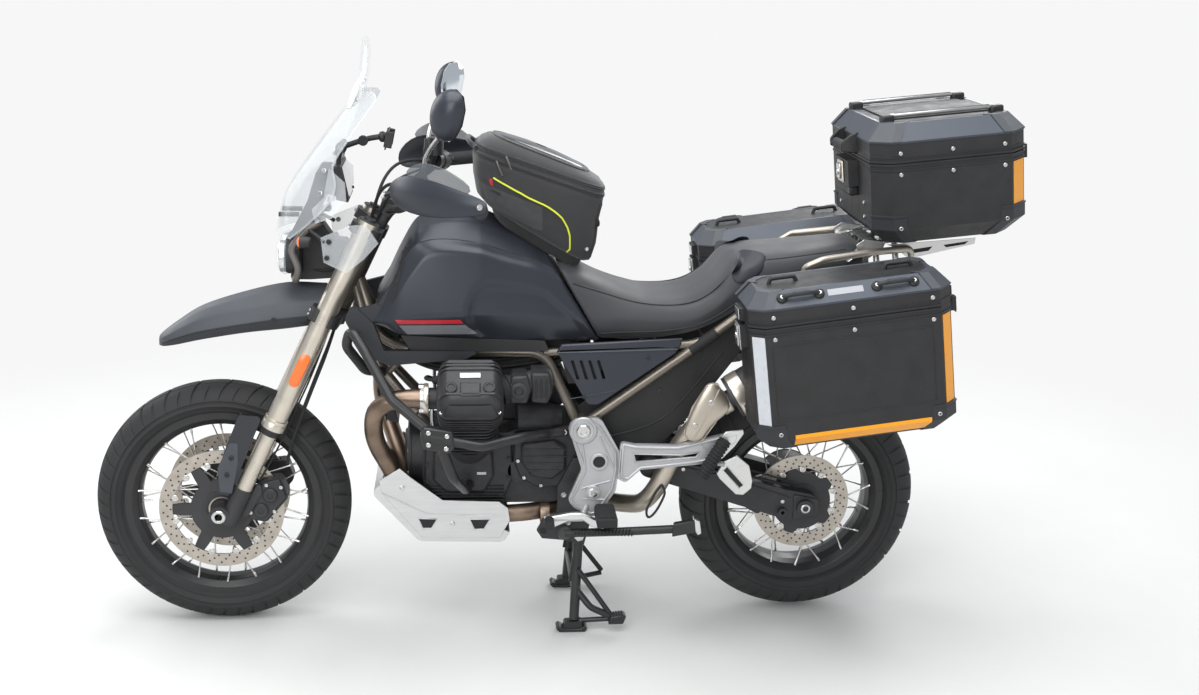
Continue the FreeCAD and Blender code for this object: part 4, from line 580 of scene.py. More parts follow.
def along_curve(values, t):
    """A smooth curve through equally spaced values, at t from 0 to 1."""
    n = len(values) - 1
    at = min(t * n, n - 1e-9)
    i = int(at)
    f = at - i
    p1 = Vector(values[i])
    p2 = Vector(values[i + 1])
    p0 = Vector(values[i - 1]) if i > 0 else p1 * 2 - p2
    p3 = Vector(values[i + 2]) if i + 2 <= n else p2 * 2 - p1
    return 0.5 * (2 * p1 + (p2 - p0) * f + (2 * p0 - 5 * p1 + 4 * p2 - p3) * f * f
        + (3 * p1 - p0 - 3 * p2 + p3) * f ** 3)


def half_lines(rows, long, around, warp=None, firm=0.0):
    """Left half sections through rows of (y, z) at each x; firm keeps that share of the rows' corners."""
    lines = []
    for i in range(long + 1):
        s = i / long
        x = along_curve([(row[0], 0, 0) for row in rows], s).x
        half = [along_curve([(0, *row[1][k]) for row in rows], s) for k in range(len(rows[0][1]))]
        line = []
        for k in range(around + 1):
            t = k / around * (len(half) - 1)
            low = min(int(t), len(half) - 2)
            straight = half[low].lerp(half[low + 1], t - low)
            line.append(along_curve(half, k / around).lerp(straight, firm))
        left = [(x, max(0.0, point.y), point.z) for point in line]
        lines.append([warp(*point) for point in left] if warp else left)
    return lines


def half_skin(name, lines, body, mat, smooth=40, **how):
    """A form that is the same on both sides, from its left half sections."""
    grid = [left + [(x, -y, z) for x, y, z in reversed(left[1:-1])] for left in lines]
    return skin(name, grid, mat, smooth=smooth, **how, body=body)


def line_on(lines, at, sign, out, first, last, step):
    """Places along a skin at one share of its sections, pushed outwards and up."""
    k = round(at * (len(lines[0]) - 1))
    return [(x, sign * (y + out), z + out * 0.4) for x, y, z in (line[k]
        for line in lines[first:last:step])]


def smooth_step(low, high, value):
    t = min(1.0, max(0.0, (value - low) / (high - low)))
    return t * t * (3 - 2 * t)


# Tyres, rims and discs

SPOKES = 36
SPOKE_LEAN = math.radians(38)          # turn from a spoke's rim end to its hub end
RIM_WELL = 27                          # depth of the rim's bed below the bead seat
DISC_THICK = 4.5
HOLE_ROWS = 30
HOLE_RADIUS = 2.7
GROOVE_DEPTH = 5.0
RING_GROOVE = (0.28, 0.33)             # share of half the width
CROSS_FROM, CROSS_TO = (0.5, 0.1), 0.99    # the same for cross grooves, which begin at two places by turns
TREAD_SKEW = 0.09                      # turn of the crown before the shoulders, in radians
CREST = (0, 0.12, 0.27, 0.285, 0.325, 0.34, 0.45, 0.62, 0.8, 0.93, 1)
# one pitch of the tread: (share of the pitch, in a cross groove)
PITCH = ((0.0, False), (0.03, True), (0.2, True), (0.23, False), (0.5, False), (0.75, False))
# side wall: (share of the way down, share of half the width)
WALL = ((0.06, 0.97), (0.1, 1.0), (0.13, 1.0), (0.17, 0.985), (0.35, 0.99), (0.42, 1.01), (0.45, 0.985),
    (0.66, 0.93), (0.8, 0.87), (0.84, 0.88), (0.88, 0.85), (1.0, 0.76))
BEAD_IN, BEAD_DOWN = 5.4, 12           # inner edge of the tyre, from the rim's edge


def tread_depth(u, crossed, turn_about):
    """Depth of the tread at a share u of half the width."""
    if RING_GROOVE[0] < abs(u) < RING_GROOVE[1]:
        return GROOVE_DEPTH
    return GROOVE_DEPTH if crossed and CROSS_FROM[turn_about] < abs(u) < CROSS_TO else 0.0


def tyre(wheel, axle, half, top, shoulder, flange, rim_half, pitches):
    crown = (half * half + (top - shoulder) ** 2) / (2 * (top - shoulder))
    side = [(share * half, shoulder - (shoulder - flange) * drop) for drop, share in WALL]
    edge = (rim_half - BEAD_IN, flange - BEAD_DOWN)
    profile = [(-y, r, None) for y, r in [edge] + side[::-1]]
    profile += [(half * u, top - crown + math.sqrt(crown * crown - half * u * (half * u)), u) for u in [-u
        for u in CREST[:0:-1]] + list(CREST)]
    profile += [(y, r, None) for y, r in side + [edge]]
    n = len(profile)
    points = []
    for k in range(pitches):
        for part, crossed in PITCH:
            for y, r, u in profile:
                turn = 2 * math.pi * (k + part) / pitches
                if u is not None:
                    turn += TREAD_SKEW * (1 - abs(u))
                    r -= tread_depth(u, crossed, k % 2)
                points.append(P(axle[0] + r * math.cos(turn), y, axle[1] + r * math.sin(turn)))
    total = pitches * len(PITCH)
    faces = []
    for k in range(total):
        here, after = k * n, (k + 1) % total * n
        faces += [[here + j, after + j, after + (j + 1) % n, here + (j + 1) % n] for j in range(n)]
    obj = mesh(wheel + "_tread_tyre", points, faces, "rubber", smooth=32, body=wheel + "_wheel")
    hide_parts(wheel + "_tyre")


def spoke_ends(wheel, axle, rim_half, seat, depth, hub_radius, hub_half):
    """Nipples at the rim, one for each spoke, each along its spoke."""
    places = []
    for index, (c, s) in enumerate(circle(SPOKES)):
        hub_side = 1 if index % 2 else -1
        hub = 2 * math.pi * index / SPOKES + SPOKE_LEAN * (1 if index % 4 < 2 else -1)
        start = Vector((axle[0] + hub_radius * math.cos(hub), hub_side * hub_half,
            axle[1] + hub_radius * math.sin(hub)))
        well = seat - RIM_WELL + depth
        end = Vector((axle[0] + well * c, hub_side * rim_half * 0.8, axle[1] + well * s))
        places.append((end, (start - end).normalized()))
    studs(wheel + "_nipples", places, ((-1, 3.2), (9, 3.2), (10, 2.6), (20, 2.4)), 8, "spoke", smooth=40,
        body=wheel + "_wheel")


def carrier_star(name, body, axle, y, reach, arms):
    """Black carrier on one face of a disc: a ring with arms out to the rotor."""
    loops = []
    steps = 20
    for (low, high), side in (
            ((34, 34), y),
            ((80, reach), y),
            ((80, reach), y + 1.4),
            ((34, 34), y + 1.4),
            ((34, 34), y)):
        ring = []
        for k, (c, s) in enumerate(circle(arms * steps)):
            share = abs((k / steps + 0.5) % 1 - 0.5)
            r = low + (high - low) * smooth_step(0.2, 0.1, share)
            ring.append((axle[0] + r * c, side, axle[1] - r * s))
        loops.append(ring)
    skin(name, loops, "hub", caps=False, smooth=30, body=body)


def disc_detail(name, body, axle, y, outer, inner, thick, bobbins, out, arms):
    """Drilled holes as dark wells on both faces, the black carrier and its round bobbins."""
    carrier_star(name + "_star_l", body, axle, y + thick + 0.1, inner + 3, arms)
    carrier_star(name + "_star_r", body, axle, y - 1.5, inner + 3, arms)
    for word, face in (("l", y + thick + 0.15), ("r", y - 0.15)):
        points = []
        faces = []
        for k in range(HOLE_ROWS):
            for j, share in enumerate((0.22, 0.5, 0.78)):
                turn = 2 * math.pi * (k + j * 0.36) / HOLE_ROWS
                r = inner + (outer - inner) * share
                start = len(points)
                points += [P(*place) for place in round_axle((axle[0] + r * math.cos(turn),
                    axle[1] + r * math.sin(turn)), face, HOLE_RADIUS, 12)]
                faces.append(list(range(start, start + 12)))
        mesh(f"{name}_holes_{word}", points, faces, "hub", body=body)
    places = round_axle(axle, y + thick / 2 + out * (thick / 2 - 0.2), inner - 1, bobbins,
        math.pi / bobbins)
    bolts(name + "_bobbins", places, (0, out, 0), 8.5, "spoke", high=3, sides=16, body=body)


def wheels():
    for wheel, axle, half, top, shoulder, flange, rim_half, pitches, seat, depth, hub in (
            ("front", FRONT_AXLE, 55, 329, 288, 255.3, 40, 52, 241, 5.8, 57),
            ("rear", REAR_AXLE, 75, 321, 264, 230.3, 60, 46, 216, 6.8, 74)):
        body = wheel + "_wheel"
        tyre(wheel, axle, half, top, shoulder, flange, rim_half, pitches)
        spoke_ends(wheel, axle, rim_half, seat, depth, hub, 34.5)
        # slotted signal ring beside the hub, and the valve
        y, radius = 72.2, 50
        turned(wheel + "_tone_ring", (axle[0], y, axle[1]), (0, 1, 0), ((0, radius - 12), (0, radius),
            (2, radius), (2, radius - 12), (0, radius - 12)), "cast_black", steps=48, body=body)
        bolts(wheel + "_tone_slots", round_axle(axle, y + 1.9, radius - 6, 36), (0, 1, 0), 1.7, "hub",
            high=0.4, body=body)
        bent(wheel + "_valve", [(axle[0] + seat - inwards, 0, axle[1]) for inwards in (24, 40, 52)], 3,
            "steel", smooth=False, body=body)
    for name, body, axle, y, outer, inner, bobbins, out, arms in (
            ("front_disc_left", "front_wheel", FRONT_AXLE, 66, 157, 123, 12, 1, 6),
            ("front_disc_right", "front_wheel", FRONT_AXLE, -70.5, 157, 123, 12, -1, 6),
            ("rear_disc_outer", "rear_wheel", REAR_AXLE, 66, 127, 91, 10, 1, 5)):
        disc_detail(name, body, axle, y, outer, inner, DISC_THICK, bobbins, out, arms)


wheels()


# Tank

REAR_LEAN = 0.62
SEAT_FOOT = (562, 799)
KNEE = [(903, 872), (898, 908), (886, 934), (865, 955), (841, 963), (775, 957), (722, 947), (692, 934),
    (655, 902), (612, 862), (580, 826), (560, 790), (700, 770), (850, 790), (890, 826)]


def depth_inside(x, z, outline):
    """Distance from a place to the nearest edge of an outline, nought outside it."""
    inside = False
    near = 1e9
    for (x1, z1), (x2, z2) in zip(outline, outline[1:] + outline[:1]):
        if (z1 > z) != (z2 > z) and x < (x2 - x1) * (z - z1) / (z2 - z1) + x1:
            inside = not inside
        long = (x2 - x1) ** 2 + (z2 - z1) ** 2
        t = min(1.0, max(0.0, ((x - x1) * (x2 - x1) + (z - z1) * (z2 - z1)) / long))
        near = min(near, math.hypot(x1 + (x2 - x1) * t - x, z1 + (z2 - z1) * t - z))
    return near if inside else 0.0


def tank_form(x, y, z):
    """Leans the rear sections like the seat's nose, and presses in the knee hollow."""
    lean = min(1.0, max(0.0, (862 - x) / 300))
    x += REAR_LEAN * (z - SEAT_FOOT[1]) * lean
    deep = 14 * smooth_step(0, 24, depth_inside(x, z, KNEE)) * smooth_step(90, 130, y)
    return (x, y - deep, z)


def tank():
    # bottom middle, bottom edge, low side, widest, crease, seam, top edge, top middle
    rows = [
        (1122, ((0, 842), (96, 842), (150, 846), (166, 856), (163, 866), (146, 884), (90, 892), (0, 896))),
        (1095, ((0, 824), (104, 826), (158, 838), (180, 856), (177, 876), (158, 916), (92, 936), (0, 948))),
        (1062, ((0, 810), (112, 812), (168, 824), (193, 862), (187, 930), (164, 985), (96, 1006),
        (0, 1018))),
        (1026, ((0, 804), (116, 806), (170, 822), (199, 872), (188, 985), (160, 1042), (98, 1062),
        (0, 1080))),
        (992, ((0, 800), (118, 802), (170, 821), (202, 876), (186, 1025), (155, 1058), (98, 1084),
        (0, 1100))),
        (940, ((0, 797), (120, 799), (170, 820), (204, 878), (184, 1036), (152, 1061), (94, 1094),
        (0, 1111))),
        (862, ((0, 793), (122, 795), (168, 813), (202, 880), (180, 1029), (148, 1051), (92, 1090),
        (0, 1111))),
        (770, ((0, 790), (122, 792), (162, 798), (194, 876), (172, 1010), (142, 1034), (86, 1076),
        (0, 1099))),
        (690, ((0, 789), (118, 791), (156, 800), (184, 870), (162, 995), (136, 1018), (82, 1056),
        (0, 1076))),
        (630, ((0, 788), (112, 790), (150, 801), (172, 862), (152, 982), (130, 1006), (78, 1038),
        (0, 1054))),
        (586, ((0, 788), (106, 790), (144, 802), (162, 852), (144, 958), (126, 990), (72, 1016),
        (0, 1030))),
        (569, ((0, 788), (103, 790), (140, 802), (157, 849), (138, 950), (120, 984), (68, 1010),
        (0, 1021))),
        (562, ((0, 790), (94, 792), (130, 804), (146, 848), (127, 944), (110, 976), (60, 1002), (0, 1012))),
    ]
    lines = half_lines(rows, 132, 84, tank_form, firm=0.72)
    body = half_skin("tank_cover", lines, "chassis", "graphite", smooth=50)
    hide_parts("fuel_tank")
    prism("tank_skirt", [(1060, 818), (960, 812), (700, 802), (688, 776), (1030, 770)], 150, 156, "plastic",
        both=True)
    for sign, hand in SIDES:
        # a fine seam between the side cover and the upper cover
        bent(f"tank_seam_{hand}", line_on(lines, 5 / 7, sign, 0.2, 22, 128, 7), 1.3, "plastic")
        # corners of each band that lies on the side: name, look, places
        for name, look, corners in (
                ("stripe_red_", "stripe_red", ((1071, 866), (912, 868), (903, 857), (1063, 855))),
                ("stripe_grey_", "stripe_grey", ((1062, 851), (899, 853), (870, 825), (1042, 824))),
                ("tank_vent_", "plastic", ((1040, 1034), (1049, 1032), (1086, 908), (1074, 906)))):
            band_on_side(name + hand, corners, sign, look)
        for k in range(6):
            share = (k + 0.5) / 6
            x = 1042 + 35 * share
            z = 1028 - 116 * share
            band_on_side(f"vent_slat_{hand}_{k}", ((x - 3, z + 4), (x + 9, z + 3), (x + 11, z - 3),
                (x, z - 2)), sign, "slate_dark", lift=2.2, steps=3)
    turned("filler_cap", (900, 0, 1096), (0.12, 0, 1), ((0, 52), (10, 52), (14, 47), (15, 30), (13, 28),
        (15, 22), (15, 0)), "cast_black", steps=40)


def side_at(x, z, name="tank_cover"):
    """How far out a form's left side is at a place."""
    hit, place = bpy.data.objects[name].ray_cast(P(x, 400, z), Vector((0, -1, 0)))[:2]
    return place.y * 1000 if hit else 190


def between(a, b, t):
    return (a[0] + (b[0] - a[0]) * t, a[1] + (b[1] - a[1]) * t)


def band_on_side(name, corners, sign, mat, lift=0.8, steps=28):
    """A thin coloured band that follows the tank's side: corners in order around it."""
    a, b, c, d = corners
    grid = []
    for i in range(steps + 1):
        top = between(a, b, i / steps)
        low = between(d, c, i / steps)
        row = [between(top, low, k / 9) for k in range(10)]
        grid.append([(x, sign * (side_at(x, z) + lift), z) for x, z in row])
    return skin(name, grid, mat, closed=False, caps=False, smooth=60)


tank()


# Seat

def seat_form(x, y, z):
    """Leans the nose along the tank's rear edge."""
    lean = min(1.0, max(0.0, (x - 400) / 166))
    return (x + REAR_LEAN * (z - SEAT_FOOT[1]) * lean, y, z)


def seat():
    # bottom middle, bottom edge, side low, side, edge, top edge, top middle
    rows = [
        (558.5, ((0, 803), (96, 803), (126, 810), (139, 850), (127, 930), (100, 970), (0, 984))),
        (553, ((0, 800), (104, 800), (134, 808), (147, 850), (134, 932), (106, 976), (0, 990))),
        (530, ((0, 799), (110, 799), (137, 809), (150, 852), (132, 920), (100, 958), (0, 970))),
        (500, ((0, 797), (116, 797), (140, 811), (152, 856), (130, 908), (92, 932), (0, 940))),
        (460, ((0, 800), (126, 801), (148, 814), (156, 856), (134, 892), (94, 910), (0, 915))),
        (410, ((0, 805), (136, 806), (152, 818), (158, 852), (140, 884), (96, 896), (0, 898))),
        (330, ((0, 820), (140, 822), (156, 832), (162, 858), (144, 890), (98, 902), (0, 904))),
        (270, ((0, 842), (138, 846), (154, 856), (158, 886), (140, 922), (98, 936), (0, 938))),
        (225, ((0, 866), (134, 870), (148, 882), (152, 925), (134, 968), (98, 990), (0, 996))),
        (180, ((0, 892), (130, 896), (142, 908), (144, 955), (128, 992), (94, 1008), (0, 1012))),
        (90, ((0, 926), (124, 929), (134, 938), (136, 974), (122, 1003), (90, 1017), (0, 1021))),
        (0, ((0, 945), (112, 947), (122, 955), (124, 986), (112, 1013), (82, 1026), (0, 1030))),
        (-80, ((0, 958), (98, 960), (108, 968), (110, 996), (98, 1022), (72, 1035), (0, 1038))),
        (-118, ((0, 970), (84, 972), (92, 980), (92, 1004), (82, 1022), (60, 1031), (0, 1034))),
    ]
    lines = half_lines(rows, 104, 48, seat_form, firm=0.25)
    body = half_skin("seat_cover", lines, "chassis", "vinyl", smooth=60)
    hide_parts("seat")
    for sign, hand in SIDES:
        # stitched seam below the top, and piping lower down: name, share of the section, radius
        for name, share, radius in (("seat_seam_", 4.25 / 6, 1.6), ("seat_piping_", 2.3 / 6, 2.0)):
            bent(name + hand, line_on(lines, share, sign, 0.3, 10, 100, 5), radius, "plastic")
        # dark insert that holds the rider's hips: rings of places from its rim to its crown
        middle = Vector((184, 986))
        rim = [(228, 948), (232, 972), (222, 1000), (204, 1016), (176, 1024), (144, 1022), (134, 1008),
            (146, 978), (176, 954), (204, 944)]
        rings = []
        for share, lift in ((1.0, -4), (0.97, 2.5), (0.86, 5), (0.5, 6.5), (0.08, 7)):
            ring = []
            for x, z in rim:
                spot = middle + (Vector((x, z)) - middle) * share
                ring.append((spot.x, sign * (side_at(spot.x, min(spot.y, 1006),
                    "seat_cover") + lift - max(0.0, spot.y - 1006) * 0.9), spot.y))
            rings.append(ring)
        skin(f"seat_insert_{hand}", rings, "vinyl_blue", smooth=60, levels=2)


seat()


# Fork and front mudguard, in the fork's own directions

LEAN = math.radians(25.5)
FORK_UP = Vector((-math.sin(LEAN), 0, math.cos(LEAN)))
FORK_AHEAD = Vector((math.cos(LEAN), 0, math.sin(LEAN)))
AXLE_AHEAD = 50                        # of the steering line
LEG_AHEAD, LEG_OUT = 22, 103
CALIPER_FACE = 95
HEAD_LOW, YOKE_GAP, YOKE_THICK = 612, 4, 34    # steering head's lower end, and the lower yoke below it
STEER_FOOT = Vector((FRONT_AXLE[0], 0, FRONT_AXLE[1])) - FORK_AHEAD * AXLE_AHEAD


def steer(along, ahead=0.0, side=0.0):
    place = STEER_FOOT + FORK_UP * along + FORK_AHEAD * ahead
    return (place.x, side, place.z)


def by_axle(ahead, along, side=CALIPER_FACE):
    """A place in the fork's directions, counted from the front axle."""
    return steer(along, AXLE_AHEAD + ahead, side)


def steer_prism(name, outline, y_low, y_high, mat, bevel=1.0):
    """A flat piece beside the fork, on both legs: (ahead, along) rows in the fork's directions."""
    flat = [(steer(along, ahead)[0], steer(along, ahead)[2]) for ahead, along in outline]
    return prism(name, flat, y_low, y_high, mat, bevel=bevel, both=True, body="steering")


def mudguard():
    # underside middle, underside corner, inner edge, outer edge, crease, shoulder, top edge, crown
    rows = [
        (1252, ((0, 896), (30, 890), (62, 834), (68, 826), (76, 848), (66, 884), (34, 908), (0, 915))),
        (1345, ((0, 904), (34, 894), (66, 822), (72, 814), (80, 842), (68, 880), (36, 908), (0, 918))),
        (1450, ((0, 882), (34, 872), (66, 812), (72, 803), (79, 827), (66, 862), (34, 886), (0, 896))),
        (1560, ((0, 846), (30, 838), (57, 792), (62, 783), (69, 806), (56, 834), (30, 852), (0, 860))),
        (1625, ((0, 812), (22, 806), (42, 774), (47, 766), (52, 784), (42, 802), (24, 814), (0, 820))),
        (1660, ((0, 786), (14, 782), (25, 764), (29, 757), (33, 769), (28, 781), (16, 790), (0, 794))),
        (1676, ((0, 766), (6, 765), (10, 759), (12, 755), (14, 762), (12, 770), (7, 776), (0, 779))),
    ]
    lines = half_lines(rows, 72, 63, firm=0.6)
    body = half_skin("mudguard_skin", lines, "steering", "slate", smooth=42)
    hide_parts("front_mudguard")
    low = HEAD_LOW - YOKE_GAP - YOKE_THICK - 0.3
    flat = [steer(along, ahead) for ahead, along in ((-8, low - 22), (88, low - 22), (88, low), (-8, low))]
    prism("mudguard_arm", [(x, z) for x, y, z in flat], -30, 30, "slate_dark", body="steering")
    for side in both_sides("steering"):
        sign, hand = side.sign, side.hand
        # the darker lower half, set below a long seam
        bent(f"mudguard_seam_{hand}", line_on(lines, 4 / 7, sign, 0.4, 2, 66, 4), 1.5, "plastic",
            body="steering")
        strip = [[(x, sign * (y + 0.8), z) for x, y, z in line[28:36]] for line in lines[2:66]]
        skin(f"mudguard_low_{hand}", strip, "slate_dark", closed=False, caps=False, smooth=60,
            body="steering")
        side.bolts("mudguard_bolt", [(1300, 80.5, 842), (1378, 80.5, 838)], (0, 1, 0), 7, "plastic", high=3,
            sides=14)


def fork():
    for side in both_sides("steering"):
        for name, along, profile, look, steps in (
                ("ring", 272, ((-1, 26), (-1, 31.5), (16, 31.5), (22, 28.2)), "champagne", 36),
                ("seal", 252, ((0, 21.2), (0, 25), (20, 26.5), (20, 21)), "plastic", 36),
                ("cap", 860, ((0.3, 27), (2, 27), (3.5, 25), (3.5, 15), (9.5, 14.5), (9.5, 0)),
                    "cast_black", 30)):
            side.turned("fork_" + name, steer(along, LEG_AHEAD, LEG_OUT), FORK_UP, profile, look,
                steps=steps)
        # orange reflector on its own seat
        rings = [[steer(446 + ((32 if s > 0 else -32) + 14 * s) * share, LEG_AHEAD + 14 * c * share,
            LEG_OUT + 25.6 + lift) for c, s in circle(28)] for share, lift in ((1.0, 0), (1.0, 4),
            (0.86, 6.5), (0.0, 7.5))]
        side.skin("fork_reflector", rings, "orange", smooth=40)
        # pinch bolts of both yokes, and the bolts of the guard
        side.bolts("yoke_bolts", [steer(along, 60.5, LEG_OUT) for along in (595, 583, 835)], FORK_AHEAD, 5,
            "steel")
        side.bolts("guard_bolts", [steer(112, 76, 121), steer(158, 84, 121)], (0, 1, 0), 6.5, "plastic",
            high=3, sides=14)
        # brake hose from the yoke down to the caliper, and the sensor wire beside it: along, ahead, outwards
        for name, radius, route in (
                ("brake_hose", 4.2, ((560, -14, 60), (500, -22, 74), (420, -26, 80), (300, -34, 78),
                    (230, -40, 76), (186, -52, 74))),
                ("sensor_wire", 2.4, ((540, -4, 66), (440, -12, 84), (330, -12, 92), (220, -14, 92),
                    (110, -6, 90)))):
            side.bent(name, [steer(*place) for place in route], radius, "grip")
        # calipers: outer half with two pot caps and its bolts, counted from the front axle
        shell = [(-116, 26), (-74, 14), (-58, 60), (-66, 120), (-100, 146), (-136, 108)]
        side.prism("caliper_face", [by_axle(*place)[::2] for place in shell], 88.9, CALIPER_FACE,
            "cast_black", bevel=4)
        for k, place in enumerate(((-92, 48), (-96, 96))):
            side.turned("caliper_pot", by_axle(*place), (0, 1, 0), ((-2, 19), (4, 19), (6.5, 16), (6.5, 8),
                (4.5, 7), (4.5, 0)), "cast_black", steps=30, k=k)
        side.bolts("caliper_bolts", [by_axle(*place) for place in ((-70, 32), (-76, 118), (-112, 128),
            (-124, 60))], (0, 1, 0), 5.5, "steel")
        # axle end: bright ring round the open bore, and the clamp bolts of the foot
        side.turned("axle_ring", (FRONT_AXLE[0], 128, FRONT_AXLE[1]), (0, 1, 0), ((0, 9.6), (4, 9.6),
            (5, 11), (5, 16), (3, 18), (0, 18)), "steel", steps=36)
        side.bolts("foot_bolts", [steer(-22, 44, 100), steer(-22, 60, 100)], -FORK_UP, 5, "steel", high=5)


mudguard()
fork()
steer_prism("guard_bracket", [(44, 70), (74, 62), (104, 118), (104, 192), (84, 200), (62, 150)], 117.3, 121,
    "slate")


# Handlebar, hand guards and mirrors

def controls():
    for side in both_sides("steering"):
        start = Vector((948, 307, 1190.2))
        end = Vector((874, 425.5, 1180.5))
        along = (end - start).normalized()
        long = (end - start).length
        profile = [(0, 16), (0, 20), (4, 20.5), (6, 18)]
        at = 8.0
        while at < long - 10:
            profile += [(at, 17.2), (at + 1.2, 18.4), (at + 3.4, 18.4), (at + 4.6, 17.2)]
            at += 6.4
        profile += [(long - 6, 18.5), (long - 2, 19), (long, 17), (long, 8)]
        side.turned("grip_ribs", start, along, profile, "grip", steps=28)
        side.turned("bar_weight", end, along, ((0.4, 0), (0.4, 15), (4, 18), (22, 18), (26, 14), (26, 0)),
            "cast_black", steps=28)
        # switch housing with its buttons
        switch = Vector((966, 280, 1192))
        side.turned("switch_box", switch - along * 10, along, ((0, 12), (0, 24), (4, 27), (30, 27),
            (34, 24), (34, 14)), "plastic", steps=12)
        side.bolts("switch_keys", [switch + along * way + Vector(key) for way, key in ((6, (-24, 0, 12)),
            (16, (-25, 0, 4)), (6, (-25, 0, -4)))], (-1, 0, 0.3), 5, "slate", high=5, sides=10)
        # lever: a flat tapering blade; place, half width, half thickness
        rows = [[(x + wide * c, y + side.sign * 0.4 * wide * c, z + thick * s) for c, s in circle(10)]
            for x, y, z, wide, thick in ((1012, 258, 1190, 9, 7), (1010, 290, 1184, 8, 6),
            (990, 334, 1177, 7, 5), (962, 376, 1172, 6.5, 5), (936, 408, 1169, 7, 6))]
        side.skin("lever_blade", rows, "cast_black", smooth=50, levels=1)
        # hoses from the bar down to the yoke
        for name, radius, route in (
                ("hose", 4.2, [(1010, 244, 1196), (1052, 204, 1204), (1092, 130, 1192), (1122, 74, 1140),
                    (1134, 52, 1078)]),
                ("cable", 3.2, [(985, 246, 1182), (1030, 180, 1176), (1078, 104, 1166), (1108, 62, 1120),
                    (1120, 44, 1078)]),
                ("switch_wire", 2.6, [(975, 262, 1176), (1004, 190, 1158), (1044, 110, 1150),
                    (1076, 66, 1110), (1096, 50, 1078)])):
            side.bent("bar_" + name, route, radius, "grip")
    turned("reservoir_cap", (975, -238, 1252.2), (0, 0, 1), ((0, 21.5), (6, 21.5), (8, 19), (8, 0)),
        "plastic", steps=30, body="steering")
    x, _, z = steer(904, -8)
    bolts("bar_clamp_bolts", [(x + dx, y, z + 21) for y in (-42, 42) for dx in (-14, 14)], (0, 0, 1), 5,
        "steel", high=5, body="steering")


def hand_guard(side):
    """A shell that wraps the grip, with a clear screen on top."""
    # along the guard: centre x, outwards, low z, high z, bulge
    stations = [(1078, 262, 1184, 1212, 0), (1060, 302, 1166, 1236, 5), (1030, 348, 1159, 1250, 8),
        (990, 392, 1158, 1248, 10), (944, 430, 1162, 1238, 9), (900, 458, 1170, 1226, 7),
        (866, 474, 1178, 1216, 3), (850, 480, 1186, 1206, 0)]
    rows = []
    for index, (x, y, low, high, bulge) in enumerate(stations):
        before = stations[max(0, index - 1)]
        after = stations[min(len(stations) - 1, index + 1)]
        way = Vector((after[0] - before[0], after[1] - before[1], 0)).normalized()
        out = Vector((way.y, -way.x, 0))
        ring = [Vector((x, y, low + (high - low) * k / 8)) + out * bulge * math.sin(k / 8 * math.pi) * 1.4
            for k in range(9)]
        rows.append(ring + [point - out * 4 for point in reversed(ring)])
    shell = side.skin("guard_shell", rows, "graphite", smooth=50, levels=1)
    rows = []
    for x, y, low, high in (
            (1040, 338, 1248, 1262),
            (1008, 376, 1247, 1284),
            (966, 412, 1242, 1282),
            (925, 442, 1232, 1262),
            (890, 462, 1222, 1240)):
        half = (low + high) / 2
        rows.append([(x - 1, y, low - 6), (x - 2, y + 2, half), (x - 6, y + 1, high),
            (x - 8.5, y - 1.5, high), (x - 4.5, y - 0.5, half), (x - 3.5, y - 2, low - 6)])
    side.skin("guard_screen", rows, "smoke", smooth=50, levels=1)
    side.bolts("guard_screw", [(868, 478, 1197)], (-0.4, 0.9, 0), 7, "steel", high=3, sides=14)


def mirror(side):
    """Stem, a teardrop shell that opens to the rear, and the glass in it."""
    foot = (998, 255, 1206)
    neck = Vector((982, 286, 1300))
    top = Vector((950, 350, 1344))
    side.bent("mirror_stem", [foot, (996, 260, 1262), neck, top], 5.5, "steel")
    side.turned("mirror_boot", foot, (0, 0, 1), ((0, 12), (20, 12), (26, 9), (44, 8), (48, 5.6)), "plastic",
        steps=24)
    side.turned("mirror_ball", top, top - neck, ((-22, 6), (-18, 9), (0, 11), (6, 9)), "plastic", steps=24)
    # outline seen from behind: (outwards, up)
    outline = [(-34, 6), (-6, -2), (20, 10), (44, 40), (56, 78), (50, 108), (24, 124), (-8, 120),
        (-34, 100), (-48, 62), (-46, 28)]
    base = Vector((938, 372, 1326))
    turn = math.radians(40)
    ahead = Vector((math.cos(turn), math.sin(turn), 0))
    out = Vector((-math.sin(turn), math.cos(turn), 0))
    middle = (4, 62)

    def rings(*sizes):
        return [[base + out * (middle[0] + (u - middle[0]) * share) + Vector((0, 0,
            middle[1] + (v - middle[1]) * share)) + ahead * depth for u, v in outline] for share,
            depth in sizes]
    side.skin("mirror_shell", rings((0.93, -3), (0.985, -7), (1.0, -4), (0.98, 6), (0.86, 20), (0.6, 32),
        (0.25, 37)), "graphite", smooth=60, levels=2)
    side.skin("mirror_glass", rings((0.965, -7.6), (0.95, -8.4), (0.5, -8.8), (0.05, -8.9)), "mirror",
        smooth=60)


controls()
for side in both_sides("steering"):
    hand_guard(side)
    mirror(side)
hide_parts("hand_guards")
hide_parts("mirrors")


# Luggage: trim that sits on the drawn boxes, in each case's own directions

